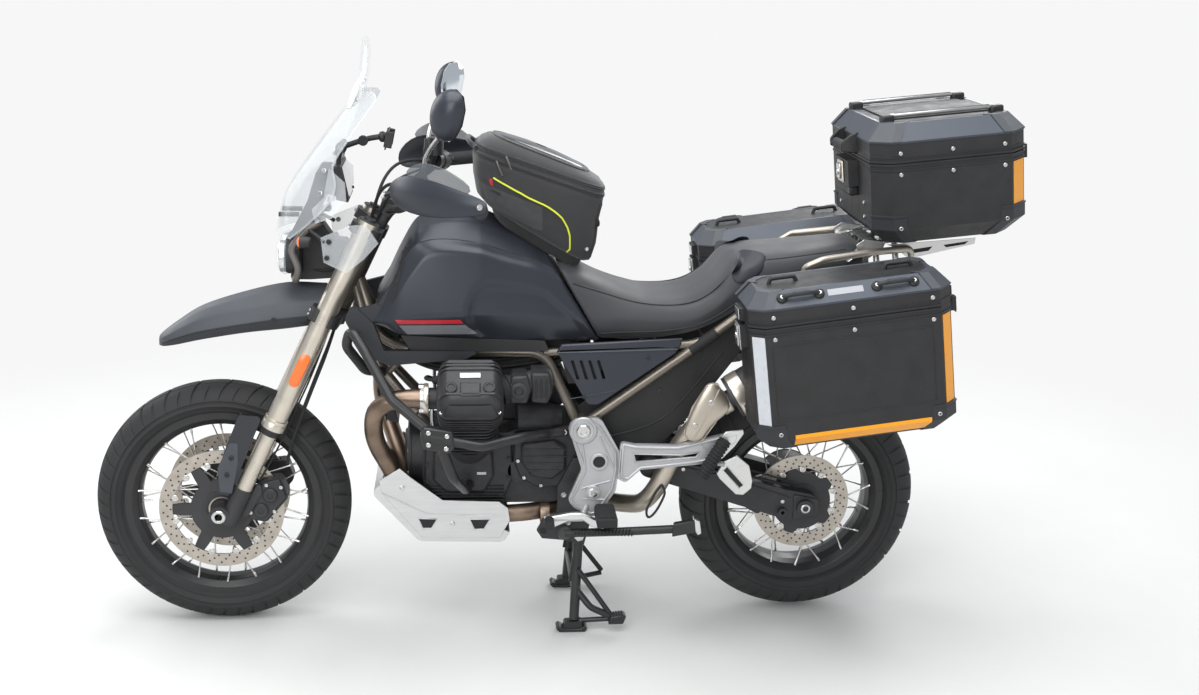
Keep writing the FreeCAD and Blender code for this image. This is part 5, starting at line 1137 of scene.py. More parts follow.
class Case:
    """A box drawn upright on its base, long along u and wide along v, then tilted and placed."""

    def __init__(self, base, tilt, long, wide, height, chamfer, bevel):
        self.base = Vector(base)
        self.turn = Matrix.Rotation(math.radians(tilt), 3, "Y")
        self.long = long
        self.wide = wide
        self.height = height
        self.chamfer = chamfer
        self.bevel = bevel

    def at(self, u, v, w):
        return tuple(self.base + self.turn @ Vector((u, v, w)))

    def way(self, u, v, w):
        return tuple(self.turn @ Vector((u, v, w)))

    def ring(self, out, w, corner=None):
        """Corner points of the outline, pushed out by a distance, at a height."""
        c = self.chamfer if corner is None else corner
        a = self.long / 2 + out
        b = self.wide / 2 + out
        flat = [(a - c, -b), (a, -b + c), (a, b - c), (a - c, b), (-a + c, b), (-a, b - c), (-a, -b + c),
            (-a + c, -b)]
        return [self.at(u, v, w) for u, v in flat]

    def corner(self, out, w, su, sv, reach, corner=None):
        """Points round one upright corner: su and sv choose which."""
        c = self.chamfer if corner is None else corner
        a = self.long / 2 + out
        b = self.wide / 2 + out
        return [self.at(su * u, sv * v, w) for u, v in ((a - c - reach, b), (a - c, b), (a, b - c),
            (a, b - c - reach))]


def box(name, case, u, v, w, mat, bevel=1.0, body="chassis"):
    """A block in a case's directions between pairs of sizes."""
    return block(name, [case.at(a, b, c) for c in w for b in v for a in u], mat, bevel, body)


def case_trim(name, case, lid_body, lid_height, lid_bevel, sides, strips):
    high = case.height
    lid = high + 0.4
    # rims above and below the joint
    for k, (low, top, out, body) in enumerate((
            (high - 20, high - 14, 1.6, "chassis"),
            (high - 7, high - 0.6, 3.0, "chassis"),
            (lid + 0.6, lid + 7, 3.0, lid_body),
            (lid + 12, lid + 16, 1.4, lid_body))):
        rows = [case.ring(-0.5, low), case.ring(out, low + 1), case.ring(out, top - 1),
            case.ring(-0.5, top)]
        if k in (1, 2):
            # these two stop short of the hinge at the rear
            rows = [list(reversed(row[:5])) + [row[7]] for row in rows] if name != "top_case" else rows
        skin(f"{name}_rim_{k}", rows, "case", closed=len(rows[0]) == 8, caps=False, smooth=30, body=body)
    # lacquered bevel of the lid
    base = lid + lid_height - lid_bevel
    inset = -lid_bevel * 0.9
    rows = [case.ring(-0.4, base - 5), case.ring(0.9, base - 4), case.ring(0.9, base + 0.6),
        case.ring(inset + 0.6, lid + lid_height + 0.9, case.chamfer * 0.7),
        case.ring(inset - 6, lid + lid_height + 0.9, case.chamfer * 0.7),
        case.ring(inset - 7, lid + lid_height - 0.3, case.chamfer * 0.7)]
    skin(name + "_bevel", rows, "case_bevel", caps=False, smooth=30, body=lid_body)
    for su, sv in ((1, 1), (-1, 1), (1, -1), (-1, -1)):
        tag = "%s_%s%s" % (name, "f" if su > 0 else "r", "l" if sv > 0 else "r")
        # corner cap at the base
        levels = []
        for out, w, corner in (
                (-case.bevel - 8, -1.4, case.chamfer * 0.8),
                (-case.bevel + 1, -1.8, case.chamfer * 0.8),
                (1.6, case.bevel - 0.5, None),
                (1.8, case.bevel + 30, None),
                (3.4, case.bevel + 31, None),
                (3.4, case.bevel + 35, None),
                (0.2, case.bevel + 36, None)):
            path = case.corner(out, w, su, sv, 30, corner)
            ends = case.corner(out - 2.2 if out > 0 else out, w, su, sv, 30.5, corner)
            levels.append([ends[0]] + path + [ends[3]])
        skin(f"cap_{tag}", levels, "slate_dark", closed=False, caps=False, smooth=30)
        # corner plates of the lid
        rows = []
        for out, w, corner in (
                (0.4, base - 2, None),
                (2.6, base - 1, None),
                (2.6, base + 2, None),
                (inset + 3.4, lid + lid_height + 1.6, case.chamfer * 0.7),
                (inset - 12, lid + lid_height + 2.2, case.chamfer * 0.7),
                (inset - 13, lid + lid_height - 0.4, case.chamfer * 0.7)):
            path = case.corner(out, w, su, sv, 22, corner)
            rows.append(path)
        skin(f"lid_plate_{tag}", rows, "slate", closed=False, caps=False, smooth=30, body=lid_body)
    for sv in sides:
        face = sv * (case.wide / 2)
        # rivets: (u, w, body)
        half = case.long / 2 - case.chamfer
        places = [(half - 18, high - 28), (0, high - 28), (-half + 18, high - 28), (half - 14, 44),
            (-half + 14, 44)]
        bolts(f"{name}_rivets_{sv + 1}", [case.at(u, face, w) for u, w in places], (0, sv, 0), 5.2, "steel",
            high=3.2, sides=14)
        bolts(f"{name}_lid_rivets_{sv + 1}", [case.at(u, face, lid + 24)
            for u in (half - 18, 0, -half + 18)], (0, sv, 0), 5.2, "steel", high=3.2, sides=14,
            body=lid_body)
        for su, mat in strips:
            a = case.long / 2 + 0.8
            b = case.wide / 2 + 0.8
            c = case.chamfer
            rows = []
            for w in (case.bevel + 37, high - 22):
                rows.append([case.at(su * (a - c + 5 - 0.8), sv * (b - 5 - 0.8), w),
                    case.at(su * (a - c + 5), sv * (b - 5), w), case.at(su * (a - 4), sv * (b - c + 4), w),
                    case.at(su * (a - 4.8), sv * (b - c + 3.2), w)])
            skin(f"strip_{name}_{su + 1}{sv + 1}", rows, mat, closed=False, caps=False)


def pannier_trim(sign, hand):
    case = Case((-38, sign * 373, 640), 7.5, 480, 222, 306, 34, 30)
    lid_body = "pannier_lid_" + hand
    case_trim("pannier_" + hand, case, lid_body, 78, 34, (sign,), ((1, "grey_strip"), (-1, "yellow")))
    face = sign * 111
    # reflective strip on the lower bevel
    rows = []
    for u in (158, -172):
        rows.append([case.at(u, sign * (111 - 24.6 + 0.2), 6), case.at(u, sign * (111 - 24 + 1.0), 6),
            case.at(u, sign * (111 + 1.0), 29), case.at(u, sign * (111 + 1.0), 38), case.at(u, sign * 111,
            38)])
    skin(f"strip_low_{hand}", rows, "yellow", closed=False, caps=False)
    # raised frame on the face
    outer = [(196, 78), (196, 262), (-186, 262), (-186, 78)]
    for k in range(4):
        a, b = outer[k], outer[(k + 1) % 4]
        bent(f"pannier_frame_{hand}_{k}", [case.at(a[0], face + sign * 0.2, a[1]), case.at(b[0],
            face + sign * 0.2, b[1])], 1.1, "case", smooth=False)
    lid = 306.4
    # two lashing handles on the outer bevel, their bolts, and the blank strip between them
    slope = Vector((0, sign * 34, 30.6)).normalized()

    def bevel_point(u, share, out):
        v = 111 - 30.6 * share
        w = lid + 44 + 34 * share
        return case.at(u, sign * v + slope.y * out, w + slope.z * out)
    for k, middle in enumerate((118, -106)):
        path = [bevel_point(middle + du, 0.55, out) for du, out in ((-46, 2), (-40, 11), (-24, 15), (0, 16),
            (24, 15), (40, 11), (46, 2))]
        bent(f"lid_handle_{hand}_{k}", path, 5.5, "plastic", body=lid_body)
        bent(f"lid_handle_band_{hand}_{k}", [bevel_point(middle + du, 0.55, 16.4) for du in (-20, 0, 20)],
            6.2, "slate_dark", smooth=False, body=lid_body)
        for du in (-44, 44):
            turned(f"handle_eye_{hand}_{k}_{du}", bevel_point(middle + du, 0.55, 0.5), case.way(*slope),
                ((0, 13), (5, 12), (8, 8), (8, 6.5), (9.5, 5.5), (9.5, 0)), "plastic", steps=20,
                body=lid_body)
        bolts(f"handle_bolts_{hand}_{k}", [bevel_point(middle + du, 0.55, 8) for du in (-44, 44)],
            case.way(*slope), 5, "steel", high=3, sides=12, body=lid_body)
    rows = []
    for share, out in ((0.36, 0.6), (0.38, 1.9), (0.72, 1.9), (0.74, 0.6)):
        rows.append([bevel_point(u, share, out) for u in (54, 53, -29, -30)])
    skin(f"lid_badge_{hand}", rows, "label", closed=False, caps=False, body=lid_body)
    # front latch: bright plate with a pull, rear hinge plate
    a = 240
    box(f"latch_plate_{hand}", case, (a + 13.8, a + 17), (-26, 26), (238, 300), "alu", 2)
    box(f"latch_pull_{hand}", case, (a + 17, a + 21), (-15, 15), (246, 296), "steel", 2)
    box(f"clasp_plate_{hand}", case, (a + 12, a + 15), (-22, 22), (lid + 6, lid + 32), "steel", 2,
        body=lid_body)
    box(f"hinge_plate_{hand}", case, (-a - 22.5, -a - 19.6), (-52, 52), (270, 287), "alu", 1.5)
    box(f"hinge_leaf_{hand}", case, (-a - 18.6, -a - 16.4), (-32, 32), (lid + 2, lid + 25), "alu", 0.6,
        body=lid_body)
    turned(f"key_barrel_{hand}", case.at(a + 21, 0, 270), case.way(1, 0, 0), ((0, 8), (2, 8), (3, 6),
        (3, 0)), "steel", steps=20)


def top_case_trim():
    carrier = Case((-95, 0, 1034), 6, 1, 1, 1, 0, 0)
    case = Case(carrier.at(-216, 0, 20), 6, 388, 470, 205, 46, 40)
    case_trim("top_case", case, "top_case_lid", 92, 40, (1, -1), ((-1, "yellow"),))
    lid = 205.4
    top = lid + 92
    for sv in (1, -1):
        y = sv * 150
        # bright rails over the drawn bars, held by black blocks
        path = [case.at(u, y, w) for u, w in ((-131, top - 3), (-125, top + 14), (125, top + 14),
            (131, top - 3))]
        bent(f"top_rail_{sv + 1}", path, 6.8, "badge", smooth=False, body="top_case_lid")
        for u in (-138, 138):
            box(f"rail_block_{sv + 1}_{u}", case, (u - 17, u + 17), (y - 13, y + 13), (top - 12, top + 17),
                "plastic", 5, body="top_case_lid")
    # raised panel on the lid's top between the rails
    box("top_panel", case, (-128, 128), (-128, 128), (top + 0.1, top + 4), "case", 2, body="top_case_lid")
    # front handle: ribbed grip over the drawn bar, and the latch below it
    a = 194
    profile = ribs(14, 0, 7, ((0, 11.5), (1.5, 13), (4.5, 13), (6, 11.5)))
    turned("top_grip", case.at(a + 26, -49, lid + 24), (0, 1, 0), [(0, 0)] + profile + [(98, 0)], "plastic",
        steps=20, body="top_case_lid")
    for sv in (1, -1):
        rows = []
        for u, v, low, high in (
                (a - 4, 62, 8, 62),
                (a + 14, 62, 10, 56),
                (a + 32, 56, 12, 42),
                (a + 40, 52, 16, 34)):
            rows.append([case.at(u, sv * (v + 6), lid + low), case.at(u, sv * (v + 6), lid + high),
                case.at(u, sv * (v - 5), lid + high), case.at(u, sv * (v - 5), lid + low)])
        skin(f"top_handle_cheek_{sv + 1}", rows, "plastic", bevel=2.5, smooth=30, body="top_case_lid")
    box("top_latch_plate", case, (a + 25.8, a + 31), (-24, 24), (134, 190), "champagne", 3)
    box("top_latch_pull", case, (a + 31, a + 36), (-16, 16), (142, 182), "steel", 3)
    box("top_latch_lip", case, (a - 1, a + 22), (-64, 64), (104, 128.8), "plastic", 5)
    turned("top_key", case.at(a + 36, 0, 160), case.way(1, 0, 0), ((0, 8), (2, 8), (3, 6), (3, 0)), "steel",
        steps=20)
    bolts("top_front_rivets", [case.at(194, v, w) for v in (-120, 120) for w in (60, 96)],
        case.way(1, 0, 0), 5.2, "steel", high=3, sides=14)
    # bolts of the carrier plate and its bright bent front edge
    bolts("carrier_bolts", [carrier.at(u, v, 6) for u in (-74, -326) for v in (-40, 40)],
        carrier.way(0, 0, 1), 7, "steel")
    for sv in (1, -1):
        # plate that steps down from the carrier to the grab rail
        rows = []
        for u, w, y1, y2 in (
                (-40, 6.4, 70, 98),
                (-22, 5, 78, 112),
                (2, -8, 96, 132),
                (22, -22, 112, 142),
                (34, -26, 120, 142)):
            rows.append([carrier.at(u, sv * y1, w), carrier.at(u, sv * y2, w - 3), carrier.at(u, sv * y2,
                w - 6), carrier.at(u, sv * y1, w - 3.5)])
        skin(f"carrier_arm_{sv + 1}", rows, "alu", smooth=40, levels=1)
        # folded flange under the plate, its slots and the cheek at its front
        for name, outline, y, look in (
                ("flange", ((-168, 1044), (-184, 1040), (-230, 1008), (-398, 1047), (-400, 1063)), 124,
                    "alu"),
                ("slot_front", ((-230, 1031), (-288, 1040), (-279, 1029), (-242, 1023)), 125.4, "grip"),
                ("slot_rear", ((-317, 1044), (-381, 1054), (-372, 1046), (-324, 1038)), 125.4, "grip"),
                ("cheek", ((-92, 1042), (-112, 1056), (-168, 1050), (-160, 1030), (-124, 1006),
                    (-96, 1026)), 118, "alu")):
            prism(f"carrier_{name}_{sv + 1}", list(outline), sv * y, sv * (y + 2), look, bevel=0.5)


for sign, hand in SIDES:
    pannier_trim(sign, hand)
top_case_trim()


# Tank bag

BAG_LEVELS = [
    # share of the height, front (x, z), rear (x, z), half width, squareness
    (0.00, (838, 1124), (594, 980), 74, 3.0),
    (0.04, (846, 1130), (578, 984), 86, 3.4),
    (0.22, (868, 1158), (566, 1032), 100, 3.8),
    (0.48, (880, 1210), (562, 1090), 110, 4.2),
    (0.72, (879, 1252), (550, 1140), 111, 4.4),
    (0.88, (872, 1278), (546, 1170), 105, 4.4),
    (0.96, (860, 1293), (552, 1186), 97, 4.2),
    (1.00, (840, 1302), (572, 1200), 82, 3.8),
]


BAG_TURNS = [2 * math.pi * k / 96 for k in range(96)]
# the piping's way over the left side: height and direction
BAG_LINE = ((0.56, 1.12), (0.521, 1.374), (0.490, 1.52), (0.448, 1.60), (0.385, 1.72), (0.30, 1.81),
    (0.20, 1.88),
            (0.02, 1.97))


def bag_ring(level):
    """The bag's outline at a height: front, rear, half width and squareness, between the listed levels."""
    for low, high in zip(BAG_LEVELS, BAG_LEVELS[1:]):
        if level <= high[0]:
            break
    t = (level - low[0]) / (high[0] - low[0])
    front = Vector(low[1]).lerp(Vector(high[1]), t)
    rear = Vector(low[2]).lerp(Vector(high[2]), t)
    return front, rear, low[3] + (high[3] - low[3]) * t, low[4] + (high[4] - low[4]) * t


def bag_point(level, turn, out=0.0):
    front, rear, half, power = bag_ring(level)
    middle = (front + rear) / 2
    reach = (front - rear) / 2
    c, s = math.cos(turn), math.sin(turn)
    along = math.copysign(abs(c) ** (2 / power), c)
    across = math.copysign(abs(s) ** (2 / power), s)
    grow = 1 + out / 150
    sag = 5 * math.sin(3 * turn + 9 * level) * math.sin(math.pi * min(1,
        level * 1.2)) * (1 - abs(across)) ** 0.5
    drop = 3.2 * math.sin(5.3 * turn + 2) * math.sin(7 * level) * math.sin(math.pi * level)
    place = middle + reach * along * grow
    return (place.x + sag * 0.4, across * (half + out + drop * 0.55), place.y + drop * 0.25)


def bag_rings(level, sizes):
    """Rings round the bag at a height, each drawn in by a share and raised."""
    front, rear = bag_ring(level)[:2]
    middle = (front + rear) / 2
    edge = [bag_point(level, turn) for turn in BAG_TURNS]
    return [[(middle.x + (x - middle.x) * share, y * share, middle.y + (z - middle.y) * share + rise)
        for x, y, z in edge] for share, rise in sizes]


def bag_patch(name, level, turn, mat, out=1.2, thick=1.6, steps=(8, 12)):
    """A patch sewn on the bag between two heights and two directions."""
    rows = []
    for i in range(steps[0] + 1):
        h = level[0] + (level[1] - level[0]) * i / steps[0]
        row = []
        for k in range(steps[1] + 1):
            a = turn[0] + (turn[1] - turn[0]) * k / steps[1]
            edge = i in (0, steps[0]) or k in (0, steps[1])
            row.append(bag_point(h, a, out - thick if edge else out))
        rows.append(row)
    return skin(name, rows, mat, closed=False, caps=False, smooth=50)


def tank_bag():
    rows = [[bag_point(i / 28, turn) for turn in BAG_TURNS] for i in range(29)]
    # the top dome under the map window, drawn in by rings
    rows += bag_rings(1.0, ((0.93, 4), (0.82, 8), (0.62, 13), (0.38, 17), (0.16, 19)))
    body = skin("bag_skin", rows, "bag", smooth=70)
    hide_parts("tank_bag")
    # the base that rests on the tank
    skin("bag_base", bag_rings(0.0, ((0.97, 2), (0.94, -6), (0.9, -18), (0.84, -30))), "webbing", smooth=50)
    # map window: a clear glossy sheet in a welted frame
    for name, mat, sizes in (
            ("bag_window", "window", ((0.8, 9.6), (0.79, 11.2), (0.62, 15), (0.38, 19), (0.1, 21))),
            ("bag_window_welt", "webbing", ((0.9, 4), (0.9, 8.2), (0.86, 9.9), (0.8, 11.6), (0.78, 10.0)))):
        skin(name, bag_rings(1.0, sizes), mat, caps=False, smooth=60)
    # two zip bands round the top, with teeth and pulls; the band's section as (up, out)
    band = ((-0.026, 0), (-0.024, 1.4), (-0.006, 1.8), (-0.004, 0.6), (0.004, 0.6), (0.006, 1.8),
        (0.024, 1.4), (0.026, 0))
    for k, level in enumerate((0.80, 0.90)):
        skin(f"bag_zip_{k}", [[bag_point(level + up, turn, out) for turn in BAG_TURNS] for up, out in band],
            "webbing", caps=False, smooth=40)
        bent(f"bag_zip_teeth_{k}", [bag_point(level, 2 * math.pi * j / 60, 1.6) for j in range(61)], 1.1,
            "grip", smooth=False)
        for sign, hand in SIDES:
            top = Vector(bag_point(level, sign * (1.16 + 0.14 * k), 2.5))
            tag = [top + Vector((-0.4 * drop, sign * swell, -drop)) for drop, swell in ((0, 0), (6, 3),
                (20, 3.5), (36, 2.5))]
            bent(f"bag_pull_{k}_{hand}", tag, 2.8, "gunmetal", smooth=False)
    line = []
    for low, high in zip(BAG_LINE, BAG_LINE[1:]):
        line += [between(low, high, k / 4) for k in range(4)]
    line.append(BAG_LINE[-1])
    for sign, hand in SIDES:
        bent("bag_piping_" + hand, [bag_point(level, sign * turn, 1.4) for level, turn in line], 2.3,
            "piping", smooth=False)
        # panels, tabs and straps: name, look, heights, directions, out, thickness, steps
        for name, look, level, (first, last), out, thick, steps in (
                ("panel", "bag_light", (0.08, 0.44), (0.7, 1.6), 1.0, 1.6, (8, 24)),
                ("tab", "tab_red", (0.44, 0.53), (1.02, 1.1), 2.4, 1.6, (2, 4)),
                ("blank", "webbing", (0.34, 0.4), (0.98, 1.25), 2.2, 1.6, (2, 6)),
                ("strap", "webbing", (0.02, 0.74), (2.62, 2.78), 4.0, 3.4, (14, 3)),
                ("buckle", "plastic", (0.4, 0.52), (2.58, 2.82), 8.0, 6.5, (3, 3))):
            bag_patch(f"bag_{name}_{hand}", level, (sign * first, sign * last), look, out, thick, steps)
        turned("bag_stud_" + hand, bag_point(0.14, sign * 2.42, 1.0), (0, sign, 0.2), ((0, 6), (2, 6),
            (4, 4), (4, 0)), "steel", steps=18)
    # carrying handle over the front edge
    path = [(0.86, -0.42, 4), (0.86, -0.3, 4), (0.9, -0.16, 20), (0.9, 0.0, 20), (0.9, 0.16, 20),
        (0.86, 0.3, 4), (0.86, 0.42, 4)]
    bent("bag_handle", [bag_point(*place) for place in path], 6, "webbing")


tank_bag()


# Screen, lamp and instrument

def sheet(name, rows, mat, thick=3.0, columns=21, power=2.2, body="chassis"):
    """A clear sheet bowed from side to side: rows of height, middle x, half width and sweep back."""
    grid = []
    for back in (0, 1):
        side = []
        for z, x, half, sweep in rows:
            line = []
            for k in range(columns):
                t = -1 + 2 * k / (columns - 1)
                line.append((x - sweep * abs(t) ** power - thick * back, half * t, z))
            side.append(line)
        grid += side if not back else list(reversed(side))
    grid.append(grid[0])
    return skin(name, grid, mat, closed=False, caps=False, smooth=60, body=body)


def finer(rows, parts=5):
    """More rows on a smooth curve through the given ones."""
    out = []
    for i in range(len(rows) - 1):
        p0 = rows[max(0, i - 1)]
        p1 = rows[i]
        p2 = rows[i + 1]
        p3 = rows[min(len(rows) - 1, i + 2)]
        for k in range(parts):
            t = k / parts
            out.append(tuple((0.5 * (2 * b + (c - a) * t + (2 * a - 5 * b + 4 * c - d) * t * t
                + (3 * b - a - 3 * c + d) * t ** 3) for a, b, c, d in zip(p0, p1, p2, p3))))
    out.append(tuple(rows[-1]))
    return out


def oval_ring(x, half, low, high, share=1.0, power=2.8, count=48):
    """A rounded oblong across the motorcycle."""
    middle = (low + high) / 2
    tall = (high - low) / 2
    return [(x, share * half * math.copysign(abs(c) ** (2 / power), c),
        middle + share * tall * math.copysign(abs(s) ** (2 / power), s)) for c, s in circle(count)]


SCREEN = finer([(1052, 1373, 112, 42), (1090, 1366, 140, 80), (1145, 1350, 158, 118),
    (1190, 1325, 158, 112), (1240, 1291, 151, 74), (1300, 1246, 134, 66), (1350, 1207, 114, 62),
    (1388, 1178, 94, 60), (1402, 1166, 78, 46), (1407, 1162, 60, 30)])


def screen_side(side):
    edge = [(x - sweep - 2, side.sign * half, z) for z, x, half, sweep in SCREEN]
    bent(f"screen_edge_{side.hand}", edge, 2.6, "lens", smooth=False)
    side.bent("screen_stay", [(1311, 40, 1100), (1361, 40, 1100)], 6, "plastic", smooth=False)
    side.bolts("screen_screws", [(1236, 152, 1226), (1246, 155, 1172)], (0.55, 0.8, 0.2), 6, "steel",
        high=3, sides=14)


def winglets(side):
    # inner clear wing between screen and lamp cradle
    wing = [(1226, 1232), (1188, 1196), (1186, 1150), (1222, 1108), (1262, 1096), (1270, 1130),
        (1240, 1160)]
    side.prism("inner_wing", wing, 143, 146, "lens", bevel=0.8)
    side.bent("wing_post", [(1250, 112, 1094), (1252, 143, 1110)], 4, "plastic", smooth=False)
    # clear winglet beside the fork
    winglet = [(1250, 1062), (1179, 1092), (1140, 1094), (1110, 1048), (1146, 1008), (1190, 973),
        (1244, 1000)]
    side.prism("winglet", winglet, 147, 150, "lens", bevel=0.8)
    side.bent("winglet_arm", [(1284, 118, 1078), (1262, 136, 1066), (1240, 147, 1050)], 5, "plastic")
    side.bolts("winglet_screws", [(1230, 150, 1052), (1236, 150, 1012)], (0, 1, 0), 6.5, "plastic",
        high=3.5, sides=14)


def front_signal(side):
    # small round indicator on its stalk
    side.bent("signal_stalk", [(1300, 117, 1050), (1296, 140, 1052), (1290, 158, 1054)], 5, "plastic")
    side.turned("signal_body", (1272, 164, 1054), (1, 0, 0), ((0, 0), (0, 9), (4, 13), (18, 15), (26, 15),
        (28, 13)), "plastic", steps=28)
    side.turned("signal_lens", (1298, 164, 1054), (1, 0, 0), ((0, 14), (4, 12.5), (7, 7), (8, 0)), "orange",
        steps=28)


def spoiler_clamp(side):
    # spoiler clamps: milky blocks with two bolts and a slot
    side.prism("spoiler_clamp", [(1188, 1366), (1176, 1362), (1150, 1420), (1142, 1446), (1150, 1450),
        (1172, 1412)], 30, 54, "milky", bevel=3)
    side.bolts("clamp_bolts", [(1171, 42, 1376), (1149, 42, 1430)], (-0.92, 0, -0.4), 6, "steel", high=5,
        sides=14)
    side.prism("clamp_slot", [(1185, 1376), (1183, 1372), (1163, 1414), (1165, 1418)], 37, 47, "steel",
        bevel=0.8)


def lamp():
    # lamp: dark housing, two bowls, a light bar and the clear cover
    shell = [oval_ring(1306, 104, 950, 1044, 0.7), oval_ring(1308, 104, 950, 1044, 0.98),
        oval_ring(1316, 106, 949, 1045), oval_ring(1340, 106, 950, 1044),
        oval_ring(1346, 104, 952, 1042, 0.96), oval_ring(1345, 104, 952, 1042, 0.9),
        oval_ring(1342, 104, 952, 1042, 0.4)]
    body = skin("lamp_shell", shell, "plastic", smooth=40)
    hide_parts("headlamp")
    for y in (-50, 50):
        turned(f"lamp_bowl_{y}", (1343, y, 996), (1, 0, 0), ((0.6, 0), (1.2, 12), (4, 24), (10, 33),
            (16, 37), (17, 38.5), (15, 40), (0, 40)), "reflector", steps=40)
        turned(f"lamp_glass_{y}", (1346, y, 996), (1, 0, 0), ((0, 14), (6, 13), (10, 8), (11, 0)), "lens",
            steps=28)
    box_lamp = [(1344, 1018), (1352, 1018), (1350, 1030), (1344, 1030)]
    prism("lamp_bar", box_lamp, -14, 14, "reflector", bevel=1.5)
    prism("lamp_bar_low", [(1344, 962), (1352, 964), (1352, 974), (1344, 974)], -16, 16, "reflector",
        bevel=1.5)
    cover = [oval_ring(1341, 107, 948, 1046, 1.0), oval_ring(1349, 107, 947, 1047, 1.0),
        oval_ring(1358, 105, 948, 1046, 0.95), oval_ring(1366, 102, 950, 1046, 0.8),
        oval_ring(1371, 98, 952, 1046, 0.55), oval_ring(1373, 98, 952, 1046, 0.25),
        oval_ring(1373.5, 98, 952, 1046, 0.05)]
    skin("lamp_cover", cover, "lens", caps=False, smooth=60)


def instrument():
    # instrument: glass on the rider's face, bezel, bar bracket, holder and knob
    prism("display_bezel", [(1214, 1143), (1187, 1137.4), (1184.6, 1140), (1202, 1227), (1206, 1230),
        (1231, 1219)], -84, 84, "plastic", bevel=4)
    prism("display_glass", [(1185.2, 1146), (1201.0, 1223), (1199.6, 1223.4), (1183.8, 1146.4)], -72, 72,
        "gauge", bevel=0.6)
    bolts("display_keys", [(1186, y, 1150) for y in (-78, 78)], (-1, 0, 0.2), 4, "slate", sides=12)
    prism("bar_bracket", [(1228, 1218), (1204, 1226), (1198, 1258), (1214, 1262)], 50, 56, "badge",
        bevel=1.5, both=True)
    for sign in (1, -1):
        turned(f"bar_end_{sign + 1}", (1206, sign * 86, 1262), (0, sign, 0), ((0, 9.5), (6, 9.5), (8, 7),
            (8, 0)), "grip", steps=20)
    turned("holder_clamp", (1206, -12, 1262), (0, 1, 0), ((0, 8.2), (0, 14), (24, 14), (24, 8.2)),
        "plastic", steps=24)
    bent("holder_arm", [(1196, 0, 1266), (1160, 6, 1280), (1122, 8, 1290), (1106, 8, 1291)], 7, "plastic")
    turned("holder_ball", (1112, 8, 1290), (-1, 0, 0.1), ((0, 8), (4, 13), (12, 14), (18, 10), (20, 0)),
        "plastic", steps=24)
    prism("holder_plate", [(1098, 1262), (1094, 1263), (1084, 1311), (1088, 1312)], -28, 44, "plastic",
        bevel=1.5)
    for y in (-30, 41):
        prism(f"holder_jaw_{y}", [(1100, 1270), (1080, 1266), (1072, 1306), (1092, 1310)], y, y + 6,
            "plastic", bevel=2)
    turned("holder_knob", (1150, 14, 1284), (0, 1, 0), ((0, 4), (10, 4), (10, 12), (12, 13), (22, 13),
        (24, 11), (24, 0)), "grip", steps=12)


def front_wiring():
    # wiring behind the lamp
    for k, (y, radius) in enumerate(((-14, 4), (4, 5), (18, 3.4))):
        bent(f"front_loom_{k}", [(1300, y, 960), (1262, y * 1.6, 950), (1222, y * 2.0, 962),
            (1186, y * 1.6, 1000), (1176, y, 1010)], radius, "grip")


def front_end():
    screen = sheet("screen_sheet", SCREEN, "screen", thick=4, columns=41)
    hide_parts("windscreen")
    for side in both_sides():
        screen_side(side)
        winglets(side)
        front_signal(side)
        spoiler_clamp(side)
    rows = finer([(1392, 1170, 84, 18), (1412, 1165, 87, 18), (1450, 1158, 88, 18), (1500, 1152, 84, 16),
        (1520, 1149, 74, 12), (1530, 1148, 60, 8), (1535, 1147, 36, 3)])
    sheet("spoiler_sheet", rows, "lens", thick=4, columns=25)
    lamp()
    instrument()
    front_wiring()


front_end()


# Engine, exhaust, skid plate and crash bars

ENGINE_X = 888
CRANK_Z = 430
HALF_RIGHT = math.sqrt(0.5)            # the barrels stand at half a right angle


def bank_at(u, v, w):
    """A point in a cylinder's directions: u along the bike, v down and out, w along the barrel."""
    return (ENGINE_X + u, HALF_RIGHT * (v + w), CRANK_Z + HALF_RIGHT * (w - v))


def bank_way(u, v, w):
    return (u, HALF_RIGHT * (v + w), HALF_RIGHT * (w - v))


def bank_box(side, name, u, v, w, mat, bevel=2.0, taper=0.0):
    points = [bank_at(a, b, c) for c, shrink in zip(w, (0, taper)) for b in (v[0] + shrink, v[1] - shrink)
        for a in (u[0] + shrink, u[1] - shrink)]
    return block(f"{name}_{side.hand}", side.all_out(points), mat, bevel)


def round_outline(long, wide, corner, steps=5):
    ring = []
    for cu, cv, start in (
            (long / 2 - corner, wide / 2 - corner, 0),
            (-long / 2 + corner, wide / 2 - corner, 90),
            (-long / 2 + corner, -wide / 2 + corner, 180),
            (long / 2 - corner, -wide / 2 + corner, 270)):
        for k in range(steps + 1):
            a = math.radians(start + 90 * k / steps)
            ring.append((cu + corner * math.cos(a), cv + corner * math.sin(a)))
    return ring


